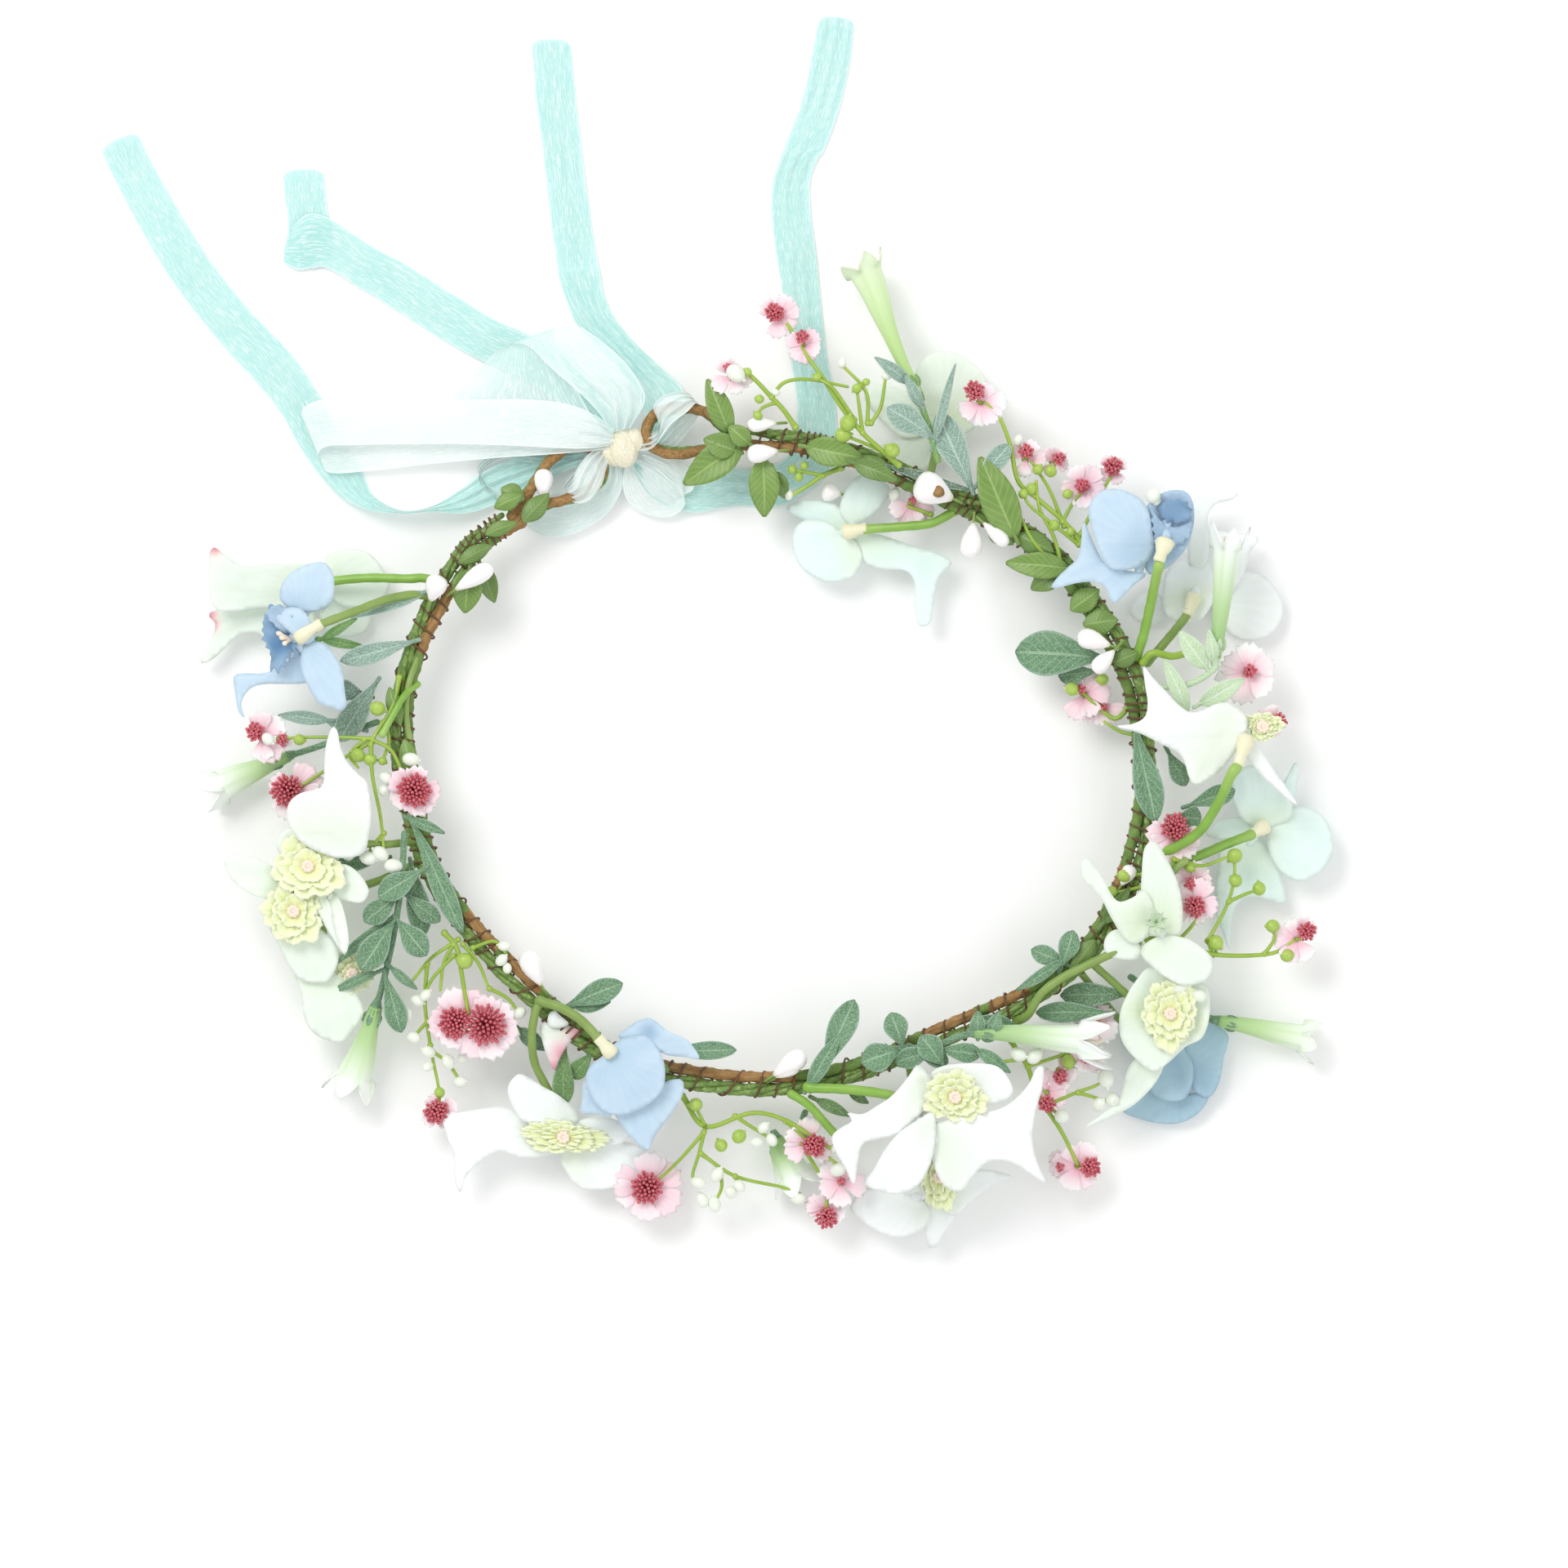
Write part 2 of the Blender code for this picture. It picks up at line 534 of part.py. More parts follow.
# ---------------------------------------------------------------- trumpet branches
# name: (stem route, trumpet (base, mouth, mouth radius mm), leaves (base, tip, width))
BRANCHES = {
    "trumpet_left": (((462, 884, 12), (400, 910, 10), (345, 928, 8.5)), ((350, 926, 8.2), (254, 974, 5.2), 5.2),
                     (((440, 893, 11.4), (404, 884, 12), 22),)),
    "trumpet_lower_left": (((497, 1020, 21), (494, 1070, 21), (486, 1130, 19), (470, 1200, 16), (458, 1245, 14)),
                           ((459, 1240, 14.2), (424, 1344, 5.2), 5.4),
                           (((495, 1066, 21), (512, 1104, 21.6), 26), ((488, 1116, 19.6), (524, 1164, 20), 30),
                            ((470, 1196, 16.4), (484, 1256, 16), 26))),
    "trumpet_top": (((1148, 566, 20.5), (1135, 520, 20.5), (1122, 470, 18.5)), ((1124, 474, 18.6), (1053, 322, 11), 5.4),
                    (((1134, 512, 20.2), (1098, 502, 22.6), 30), ((1124, 478, 18.8), (1084, 444, 23), 26))),
    "trumpet_upper_right": (((1420, 842, 18), (1455, 836, 19.5), (1488, 815, 20.5), (1494, 790, 20.5)), ((1493, 800, 20.5), (1502, 656, 19), 4.6),
                            (((1470, 828, 19.8), (1446, 778, 21), 24),)),
    "trumpet_bottom": (((1082, 1284, 20.4), (1140, 1280, 21.5), (1190, 1266, 22.6), (1230, 1266, 22.8)), ((1222, 1266, 22.8), (1384, 1284, 23), 5.0),
                       (((1092, 1284, 20.6), (1062, 1300, 21), 30), ((1100, 1284, 20.8), (1086, 1246, 21.4), 28),
                        ((1140, 1280, 21.4), (1136, 1308, 22), 26), ((1196, 1266, 22.6), (1218, 1240, 23), 26))),
    "trumpet_right": (((1384, 1196, 11.5), (1440, 1232, 11), (1500, 1252, 10)), ((1490, 1249, 10.1), (1620, 1276, 5.1), 5.4), ()),
    "trumpet_bottom_bell": (((986, 1362, 10), (976, 1390, 8.5)), ((977, 1386, 8.7), (953, 1456, 5.1), 5.2), ()),
}
branches = {}
for name, (route, (t0, t1, mouth), leaves) in BRANCHES.items():
    pieces = [tube(name, smooth([at(*p) for p in route], 2), BRANCH_R, 5, None), trumpet(at(*t0), at(*t1), mouth)]
    for base, tip, width in leaves:
        pieces.append(leaf(at(*base), at(*tip), step(width)))
    branches[name] = fuse(name, pieces, "trumpet")

# ---------------------------------------------------------------- berry and blossom sprays
# name: (stem routes, blossoms (u, v, z, radius mm), berries (u, v, z, radius mm))
SPRAYS = {
    "blossom_spray_top": (
        (((1092, 552, 20.5), (1053, 531, 21), (1028, 498, 21), (1006, 461, 19), (985, 433, 17), (958, 394, 15)),
         ((1053, 531, 21), (1048, 466, 22)), ((1053, 531, 21), (1082, 464, 20))),
        ((957, 391, 15, 4.8), (987, 434, 17.4, 4.4)), ((1048, 466, 22, 1.4), (1082, 464, 20, 1.4))),
    "blossom_spray_small": (
        (((972, 508, 18), (945, 487, 18.4), (915, 458, 17.4), (898, 460, 16.6)),), ((895, 460, 16.6, 4.8),), ((915, 458, 17.4, 1.3),)),
    "blossom_spray_upper_right": (
        (((1322, 664, 18), (1300, 640, 18.5), (1262, 602, 18), (1240, 556, 18), (1222, 510, 18), (1204, 496, 17.5)),
         ((1300, 640, 18.5), (1322, 596, 17.5), (1362, 576, 16)), ((1262, 602, 18), (1256, 560, 16.5))),
        ((1200, 495, 17.4, 5.0), (1257, 558, 16.4, 3.8), (1324, 598, 17.4, 5.4), (1364, 574, 16, 4.0)), ((1262, 602, 18, 1.4),)),
    "blossom_spray_right": (
        (((1404, 1150, 15), (1444, 1150, 15.5), (1483, 1166, 15), (1554, 1168, 13), (1586, 1150, 12)),
         ((1444, 1150, 15.5), (1466, 1098, 15.5)), ((1483, 1166, 15), (1510, 1100, 14.5), (1512, 1050, 14))),
        ((1588, 1148, 12, 5.2), (1464, 1098, 15.5, 5.0)), ((1512, 1050, 14, 1.8), (1530, 1168, 13.8, 1.6))),
    "blossom_spray_lower_right": (
        (((1236, 1272, 13), (1258, 1306, 12.6), (1270, 1340, 12), (1300, 1386, 10.5), (1320, 1430, 9)),
         ((1258, 1306, 12.6), (1300, 1290, 12), (1338, 1276, 11.4))),
        ((1320, 1431, 9, 6.0), (1268, 1338, 12, 5.4), (1334, 1278, 11.4, 5.0)), ((1290, 1296, 12.1, 1.6),)),
    "blossom_spray_bottom": (
        (((838, 1354, 13), (864, 1379, 15), (928, 1362, 16.6), (984, 1394, 15.6), (1010, 1440, 13), (1013, 1488, 10)),
         ((864, 1379, 15), (858, 1415, 14), (874, 1458, 12.6)), ((858, 1415, 14), (820, 1434, 12), (798, 1453, 10))),
        ((986, 1397, 15.6, 5.2), (1013, 1489, 10, 4.2), (797, 1454, 9.6, 6.0)),
        ((874, 1458, 12.6, 1.8), (930, 1363, 16.6, 1.5))),
    "blossom_spray_lower_left": (
        (((545, 1142, 17), (548, 1176, 17.5), (562, 1210, 18), (576, 1250, 18)), ((548, 1176, 17.5), (506, 1200, 16), (500, 1262, 13)),
         ((500, 1262, 13), (520, 1320, 11), (538, 1358, 9))),
        ((577, 1251, 18, 7.4), (539, 1360, 9, 4.8)), ((506, 1200, 16, 1.5), (562, 1210, 18, 1.3))),
    "blossom_spray_left": (
        (((462, 832, 16), (455, 870, 18), (457, 907, 20), (482, 940, 21.5), (508, 966, 21.5)), ((457, 907, 20), (400, 906, 18), (330, 906, 15.5)),
         ((457, 907, 20), (400, 950, 17), (354, 971, 14.6))),
        ((510, 968, 21.5, 5.4), (326, 906, 15.4, 5.2), (352, 972, 14.6, 5.0)), ((440, 926, 19, 1.6),)),
}
for name, (routes, blossoms, berries) in SPRAYS.items():
    pieces = [tube(name, smooth([at(*p) for p in route], 1), SPRAY_R, 4, None) for route in routes]
    pieces += [blossom(at(u, v, z), r) for u, v, z, r in blossoms]
    pieces += [bead(at(u, v, z), r) for u, v, z, r in berries]
    fuse(name, pieces, "pink_flower")

# ---------------------------------------------------------------- leaves and white berries on the hoop
LEAF_SETS = {
    "satin_leaves_right_end": ("satin_leaf", (906, 530, 15.5), (((866, 467, 14), 32), ((838, 590, 14), 40), ((936, 630, 13), 38))),
    "satin_leaves_top_right": ("satin_leaf", (1244, 655, 19.2), (((1208, 566, 20), 44), ((1296, 698, 19), 34))),
    "frosted_leaf_inner_right": ("frosted_leaf", (1342, 806, 14.5), (((1246, 792, 12), 44),)),
    "frosted_leaves_bottom": ("frosted_leaf", (1012, 1306, 20), (((1044, 1226, 19), 36), ((1000, 1256, 21), 26))),
}
for name, (slot, (u, v, z), leaves) in LEAF_SETS.items():
    pieces = [bead(at(u, v, z), 1.4)]
    for tip, width in leaves:
        pieces.append(leaf(at(u, v, z), at(*tip), step(width)))
    fuse(name, pieces, slot)


def berry(base, tip, r):
    """A glossy teardrop berry from base to tip."""
    shape = ((0.0, 0.35), (0.3, 0.85), (0.65, 1.0), (0.9, 0.6), (1.0, 0.2))
    return mesh_object("berry", tube_bm([base.lerp(tip, t) for t, _ in shape], [r * w for _, w in shape], 6), None)


BERRY_SETS = {
    "white_berries_left": ((564, 712, 21), ((528, 732, 21.4), (604, 696, 21.4))),
    "white_berries_top": ((1196, 636, 21), ((1188, 684, 20), (1226, 666, 21))),
    "white_berries_right": ((1366, 792, 21), ((1320, 782, 21.6), (1338, 824, 21.4))),
}
for name, (hub, tips) in BERRY_SETS.items():
    pieces = [bead(at(*hub), 1.0)]
    for tip in tips:
        pieces.append(berry(at(*hub), at(*tip), 2.6))
    fuse(name, pieces, "white_berry")

# ---------------------------------------------------------------- joints
# A wired stem bends where it leaves the hoop; each moving flower hangs from an
# empty that stands on its bending axis.
PIVOTS = {name: at(*route[0]) for name, route in STEMS.items()}
MOVING = {name: [heads[name], stems[name]] for name in STEMS}
PIVOTS["trumpet_top"] = at(*BRANCHES["trumpet_top"][0][0])
MOVING["trumpet_top"] = [branches["trumpet_top"]]
for name, pivot in PIVOTS.items():
    hub = bpy.data.objects.new(name + "_pivot", None)
    hub.location = pivot
    hub.empty_display_size = 0.005
    SCENE.objects.link(hub)
    for obj in MOVING[name]:
        obj.data.transform(Matrix.Translation(-pivot))
        obj.parent = hub

for obj in bpy.data.objects:
    if obj.type == "MESH":
        obj.data.shade_smooth()
        obj.data.set_sharp_from_angle(angle=math.radians(40))
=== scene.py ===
"""Looks of the flower crown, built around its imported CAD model.

Lengths inside this file are millimetres unless a name says otherwise; plan positions
(u, v) are those of the part's layout sheet, 4.7 steps to a millimetre, with u to the
right and v towards the wearer's side. Every surface carries two point attributes for
its material: fp = (across, along, distance in from the edge) and fq = (tint, id, extra).
"""

import math

import bpy
import numpy as np
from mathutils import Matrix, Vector, noise
from mathutils.geometry import delaunay_2d_cdt


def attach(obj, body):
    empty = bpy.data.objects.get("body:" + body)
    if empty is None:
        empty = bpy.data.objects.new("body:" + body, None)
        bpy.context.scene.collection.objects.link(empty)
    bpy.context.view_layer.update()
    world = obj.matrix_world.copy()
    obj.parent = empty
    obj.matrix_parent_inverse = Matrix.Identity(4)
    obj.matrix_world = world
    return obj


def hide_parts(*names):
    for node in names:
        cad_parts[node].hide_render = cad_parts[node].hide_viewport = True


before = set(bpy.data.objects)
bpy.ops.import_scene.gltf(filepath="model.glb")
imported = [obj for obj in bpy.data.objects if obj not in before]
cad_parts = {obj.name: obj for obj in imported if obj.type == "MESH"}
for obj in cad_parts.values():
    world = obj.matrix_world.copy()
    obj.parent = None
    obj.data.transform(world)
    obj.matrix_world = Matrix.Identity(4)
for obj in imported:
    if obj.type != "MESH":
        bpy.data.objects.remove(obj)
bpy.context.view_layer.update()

STEP = 1 / 4.7
CENTRE = (876.0, 769.9)
UP = np.array((0.0, 0.0, 1.0))


# ---------------------------------------------------------------- points and lines
def G(u, v, z=0.0):
    """Layout position and height in mm to a point in mm."""
    return np.array(((u - CENTRE[0]) * STEP, (CENTRE[1] - v) * STEP, z))


def curve(points, per=8, closed=False):
    """Catmull-Rom line through points, with per steps between each two."""
    p = np.asarray(points, float)
    if closed:
        p = np.vstack([p[-1:], p, p[:2]])
    else:
        p = np.vstack([2 * p[:1] - p[1:2], p, 2 * p[-1:] - p[-2:-1]])
    t = np.linspace(0, 1, per, endpoint=False)[:, None]
    out = []
    for i in range(1, len(p) - 2):
        a, b, c, d = p[i - 1], p[i], p[i + 1], p[i + 2]
        out.append(0.5 * (2 * b + (c - a) * t + (2 * a - 5 * b + 4 * c - d) * t**2 + (3 * b - a - 3 * c + d) * t**3))
    if not closed:
        out.append(p[-2:-1])
    return np.vstack(out)


def even(line, count):
    """count points at equal distances along a line."""
    d = np.concatenate([[0], np.cumsum(np.linalg.norm(np.diff(line, axis=0), axis=1))])
    s = np.linspace(0, d[-1], count)
    return np.stack([np.interp(s, d, line[:, k]) for k in range(line.shape[1])], axis=1)


def length_of(line):
    return float(np.linalg.norm(np.diff(line, axis=0), axis=1).sum())


def path(route, gap=1.2):
    """Smooth line in mm through (u, v, z) layout points, with a point each gap mm."""
    line = curve([G(*p) for p in route], 8)
    return even(line, max(5, int(length_of(line) / gap) + 1))


def unit(v):
    v = np.asarray(v, float)
    return v / max(np.linalg.norm(v), 1e-12)


def rand(seed):
    return np.random.default_rng(seed)


def wobble(p, scale, seed=0.0):
    """Smooth noise in -1..1 at points p (mm), with features of about scale mm."""
    p = np.atleast_2d(p)
    return np.array([noise.noise(Vector((x / scale + seed * 7.3, y / scale - seed * 3.1, z / scale + seed))) for x, y, z in p])


def frames(line, first=None):
    """Tangents, sides and ups along a line, turning as little as possible."""
    t = np.gradient(line, axis=0)
    t /= np.maximum(np.linalg.norm(t, axis=1, keepdims=True), 1e-12)
    s = first if first is not None else (np.cross(t[0], UP) if abs(t[0][2]) < 0.9 else np.cross(t[0], (0, 1, 0)))
    sides = []
    for k in range(len(line)):
        s = unit(s - t[k] * np.dot(s, t[k]))
        sides.append(s)
    sides = np.array(sides)
    return t, sides, np.cross(t, sides)


# ---------------------------------------------------------------- mesh building
class Build:
    """Gathers surfaces in mm and makes one object of them."""

    def __init__(self):
        self.v, self.f, self.p, self.q, self.n = [], [], [], [], 0

    def add(self, verts, faces, fp=None, fq=None):
        verts = np.asarray(verts, float).reshape(-1, 3)
        k = len(verts)
        self.v.append(verts)
        self.f += [tuple(int(i) + self.n for i in face) for face in faces]
        self.p.append(np.broadcast_to(np.zeros(3) if fp is None else np.asarray(fp, float), (k, 3)))
        self.q.append(np.broadcast_to(np.zeros(3) if fq is None else np.asarray(fq, float), (k, 3)))
        self.n += k
        return self

    def grid(self, P, closed=False, caps=False, fp=None, fq=None):
        """P is (rows, cols, 3); closed joins the last column to the first, and caps closes both end rows."""
        r, c = P.shape[:2]
        faces = []
        for i in range(r - 1):
            for j in range(c if closed else c - 1):
                k = (j + 1) % c
                faces.append((i * c + j, i * c + k, (i + 1) * c + k, (i + 1) * c + j))
        verts = P.reshape(-1, 3)
        if fp is None:
            a, b = np.meshgrid(np.linspace(0, 1, r), np.linspace(-1, 1, c), indexing="ij")
            fp = np.stack([b, a, 1 - np.abs(b)], axis=-1)
        fp = np.asarray(fp, float)
        fp = fp.reshape(-1, 3) if fp.ndim > 1 else np.broadcast_to(fp, (r * c, 3))
        if fq is not None:
            fq = np.asarray(fq, float)
            fq = fq.reshape(-1, 3) if fq.ndim > 1 else np.broadcast_to(fq, (r * c, 3))
        else:
            fq = np.zeros((r * c, 3))
        if caps:
            verts = np.vstack([verts, P[0].mean(0), P[-1].mean(0)])
            fp = np.vstack([fp, fp[0], fp[-1]])
            fq = np.vstack([fq, fq[0], fq[-1]])
            for j in range(c):
                k = (j + 1) % c
                faces.append((k, j, r * c))
                faces.append(((r - 1) * c + j, (r - 1) * c + k, r * c + 1))
        return self.add(verts, faces, fp, fq)

    def tube(self, line, radii, sides=8, fq=None, round_ends=True, first=None):
        """A closed round tube along a line; radii is one number, or one for each point, or (points, sides)."""
        line = np.asarray(line, float)
        n = len(line)
        rad = np.asarray(radii, float)
        rad = np.broadcast_to(rad[:, None] if rad.ndim == 1 else rad, (n, sides)).copy()
        t, s, u = frames(line, first)
        along = np.linspace(0, 1, n)
        if round_ends:
            rows = [(0, -0.75, 0.45), (0, -0.5, 0.8)] + [(i, 0, 1) for i in range(n)] + [(n - 1, 0.5, 0.8), (n - 1, 0.75, 0.45)]
        else:
            rows = [(i, 0, 1) for i in range(n)]
        ang = np.linspace(0, 2 * np.pi, sides, endpoint=False)
        P, F = [], []
        for i, off, k in rows:
            r = rad[i][:, None] * k
            P.append(line[i] + t[i] * off * rad[i].mean() + (s[i] * np.cos(ang)[:, None] + u[i] * np.sin(ang)[:, None]) * r)
            F.append(np.stack([ang / np.pi - 1, np.full(sides, along[i]), np.ones(sides)], axis=1))
        return self.grid(np.array(P), closed=True, caps=True, fp=np.array(F), fq=fq)

    def lathe(self, base, tip, profile, sides=10, fq=None):
        """A turned closed body from base to tip; profile is (share of the way, radius)."""
        base, tip = np.asarray(base, float), np.asarray(tip, float)
        d = unit(tip - base)
        s = unit(np.cross(d, UP) if abs(d[2]) < 0.9 else np.cross(d, (0, 1, 0)))
        u = np.cross(d, s)
        ang = np.linspace(0, 2 * np.pi, sides, endpoint=False)
        P = np.array([base + (tip - base) * t + (s * np.cos(ang)[:, None] + u * np.sin(ang)[:, None]) * r for t, r in profile])
        F = np.array([np.stack([ang / np.pi - 1, np.full(sides, t), np.full(sides, r)], axis=1) for t, r in profile])
        return self.grid(P, closed=True, caps=True, fp=F, fq=fq)

    def ball(self, centre, r, sides=8, rows=5, axis=(0, 0, 1), stretch=1.0, fq=None):
        centre, axis = np.asarray(centre, float), unit(axis)
        a = np.linspace(0.12, np.pi - 0.12, rows)
        prof = [((1 - math.cos(x)) / 2, r * math.sin(x)) for x in a]
        return self.lathe(centre - axis * r * stretch, centre + axis * r * stretch, prof, sides, fq)

    def make(self, name, material, body="crown", slot=None, replaces=(), solid=0.0, offset=0.0, subdiv=0, smooth=True, even_solid=False):
        """One object of all that was added, riding on body."""
        mesh = bpy.data.meshes.new(name)
        verts = np.vstack(self.v)
        mesh.from_pydata((verts * 0.001).tolist(), [], self.f)
        for tag, rows in (("fp", self.p), ("fq", self.q)):
            layer = mesh.attributes.new(tag, "FLOAT_VECTOR", "POINT")
            layer.data.foreach_set("vector", np.vstack(rows).astype(np.float32).ravel())
        mesh.validate()
        if smooth:
            mesh.shade_smooth()
        obj = bpy.data.objects.new(name, mesh)
        bpy.context.scene.collection.objects.link(obj)
        mesh.materials.append(material)
        if solid:
            m = obj.modifiers.new("thickness", "SOLIDIFY")
            m.thickness, m.offset = solid * 0.001, offset
            m.use_even_offset = even_solid
        if subdiv:
            m = obj.modifiers.new("smooth", "SUBSURF")
            m.levels = m.render_levels = subdiv
        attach(obj, body)
        if replaces:
            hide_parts(*replaces)
        return obj


# ---------------------------------------------------------------- leaf and petal surfaces
def leaf(b, base, tip, width, lift=1.0, fold=0.25, wave=0.3, droop=0.0, shape="ovate", seed=0, tint=0.0, rows=18, cols=9, roll=0.0):
    """A leaf from base to tip (points in mm); fold raises the edges by that share of the half width."""
    base, tip = np.asarray(base, float), np.asarray(tip, float)
    span = tip - base
    L = np.linalg.norm(span)
    side = unit(np.cross(span, UP))
    nrm = unit(np.cross(side, span))
    if roll:
        side, nrm = side * math.cos(roll) + nrm * math.sin(roll), nrm * math.cos(roll) - side * math.sin(roll)
    g = rand(seed + 11)
    ph = g.uniform(0, 6.28, 4)
    P = np.zeros((rows, cols, 3))
    F = np.zeros((rows, cols, 3))
    for i in range(rows):
        t = i / (rows - 1)
        if shape == "ovate":
            w = (math.sin(math.pi * min(1, t * 0.96 + 0.02) ** 0.85) ** 0.75) * (1 - 0.12 * t)
        elif shape == "narrow":
            w = math.sin(math.pi * t**0.9) ** 0.9
        else:  # spoon: widest towards the tip
            w = (0.16 + 0.84 * math.sin(math.pi * min(1, t) ** 1.5) ** 0.8) if t < 0.995 else 0.05
        w = max(w, 0.07 if t < 0.5 else 0.02)
        bend = lift * math.sin(math.pi * t) + droop * t * t
        sway = 0.05 * L * math.sin(2.2 * t + ph[0]) * t * (1 - t)
        for j in range(cols):
            x = -1 + 2 * j / (cols - 1)
            hw = width / 2 * w
            z = bend + fold * hw * abs(x) ** 1.3 - 0.10 * math.exp(-((x / 0.16) ** 2)) * (1 - t)
            z += wave * (x * x) * math.sin(9 * t + ph[1] + 2.5 * x)
            P[i, j] = base + span * t + side * (x * hw + sway) + nrm * z
            F[i, j] = (x, t, 1 - abs(x))
    b.grid(P, fp=F, fq=(tint, g.uniform(), width))
    return b


def outline(points, count):
    """A closed smooth outline in the plane (mm) through layout points."""
    pts = np.array([G(u, v)[:2] for u, v in points])
    line = curve(pts, 10, closed=True)
    line = np.vstack([line, line[:1]])
    return even(line, count + 1)[:-1]


def inside_distance(p, poly):
    """Distance from points p to the closed outline poly."""
    a, b = poly, np.roll(poly, -1, axis=0)
    ab = b - a
    d2 = np.full(len(p), 1e9)
    for i in range(len(poly)):
        t = np.clip(((p - a[i]) @ ab[i]) / max(ab[i] @ ab[i], 1e-12), 0, 1)
        q = a[i] + t[:, None] * ab[i]
        d2 = np.minimum(d2, ((p - q) ** 2).sum(1))
    return np.sqrt(d2)


def within(p, poly):
    """Whether each point lies inside the closed outline."""
    x, y = p[:, 0], p[:, 1]
    hit = np.zeros(len(p), bool)
    n = len(poly)
    for i in range(n):
        x0, y0 = poly[i]
        x1, y1 = poly[(i + 1) % n]
        cross = (y0 > y) != (y1 > y)
        with np.errstate(divide="ignore", invalid="ignore"):
            at = (x1 - x0) * (y - y0) / (y1 - y0) + x0
        hit ^= cross & (x < at)
    return hit


def petal(b, points, core, z0, rise=0.0, cup=0.0, dome=0.0, curl=0.0, ruffle=0.25, crease=0.10, fold=0.0, seed=0, tint=0.0, gap=1.15, tint_at=None, power=1.0, tip=None):
    """A soft moulded petal over the traced outline points. core is its layout base; z0 its height there; rise the
    height gained at the far end; cup raises and curl turns down the edges; dome lifts the middle; fold is a ridge
    along its spine; crease is the depth of the fine fan of pleats; tint_at is a function of (u, v) arrays."""
    poly = outline(points, max(24, int(len(points) * 5)))
    per = np.linalg.norm(poly - np.roll(poly, -1, axis=0), axis=1).sum()
    jagged = tint >= 0.35
    n = max(28, int(per / (gap * (0.62 if jagged else 1))))
    poly = outline(points, n)
    if jagged:
        k = np.arange(n)
        mid = poly.mean(0)
        poly = mid + (poly - mid) * (1 + 0.13 * ((k % 3 == 0) - 0.4) + 0.05 * np.sin(k * 1.7))[:, None]
    lo, hi = poly.min(0), poly.max(0)
    xs = np.arange(lo[0], hi[0], gap)
    ys = np.arange(lo[1], hi[1], gap * 0.87)
    gx, gy = np.meshgrid(xs, ys)
    gx[1::2] += gap / 2
    cand = np.stack([gx.ravel(), gy.ravel()], axis=1)
    cand = cand[within(cand, poly)]
    cand = cand[inside_distance(cand, poly) > gap * 0.55]
    pts = [Vector(p) for p in np.vstack([poly, cand])]
    edges = [(i, (i + 1) % n) for i in range(n)]
    verts, _, faces, *_ = delaunay_2d_cdt(pts, edges, [], 1, 1e-5)
    P = np.array([(p.x, p.y) for p in verts])
    c = G(*core)[:2]
    far = poly[np.argmax(((poly - c) ** 2).sum(1))] if tip is None else G(*tip)[:2]
    ax = unit(far - c)
    L = max(np.linalg.norm(far - c), 1e-6)
    rel = P - c
    s = rel @ ax / L
    t = rel @ np.array((-ax[1], ax[0]))
    half = max(np.abs(t).max(), 1e-6)
    d = inside_distance(P, poly)
    inner = max(d.max(), 1e-6)
    e = np.clip(d / inner, 0, 1)
    ang = np.arctan2(rel[:, 1], rel[:, 0])
    rr = np.linalg.norm(rel, axis=1) / L
    g = rand(seed + 5)
    ph = g.uniform(0, 6.28, 6)
    P3 = np.column_stack([P, np.zeros(len(P))])
    z = z0 + rise * np.sign(s) * np.abs(s) ** power
    z += cup * (t / half) ** 2 + 0.45 * dome * (1 - (t / half) ** 2) * np.sin(np.pi * np.clip(0.15 + 0.8 * s, 0, 1))
    z -= 0.35 * curl * np.clip(s, 0, 1) ** 3 + 0.16 * curl * (1 - e) ** 3
    z += fold * np.exp(-((t / (0.22 * half)) ** 2)) * np.clip(s, 0, 1)
    z += ruffle * (1 - e) ** 1.5 * (np.sin(5 * ang + ph[0] + 3 * rr) + 0.6 * np.sin(11 * ang + ph[1])) * np.clip(rr * 1.4, 0, 1)
    z += 0.75 * wobble(P3, 10.0, seed + 1.3) + 0.20 * wobble(P3, 3.6, seed + 4.1)
    z += 0.30 * np.abs(wobble(np.column_stack([t, s * 3.0, np.zeros(len(s))]), 2.6, seed + 8.8)) * np.clip(rr * 2, 0, 1)
    z += crease * np.sin(26 * ang + 2.2 * wobble(P3, 6.0, seed + 2.2) + ph[2]) * np.exp(-2.2 * rr) * np.clip(rr * 6, 0, 1)
    tv = np.full(len(P), float(tint))
    if tint_at is not None:
        u = P[:, 0] / STEP + CENTRE[0]
        v = CENTRE[1] - P[:, 1] / STEP
        tv = tv + tint_at(u, v)
    fp = np.stack([t / half, s, np.clip(d / 3.0, 0, 1)], axis=1)
    fq = np.stack([tv, np.full(len(P), g.uniform()), ang], axis=1)
    b.add(np.column_stack([P, z]), faces, fp, fq)
    return b


# ---------------------------------------------------------------- materials
def C(r, g, b):
    """sRGB 0-255 to a linear colour."""
    return tuple((x / 255 / 12.92) if x <= 10 else ((x / 255 + 0.055) / 1.055) ** 2.4 for x in (r, g, b)) + (1.0,)


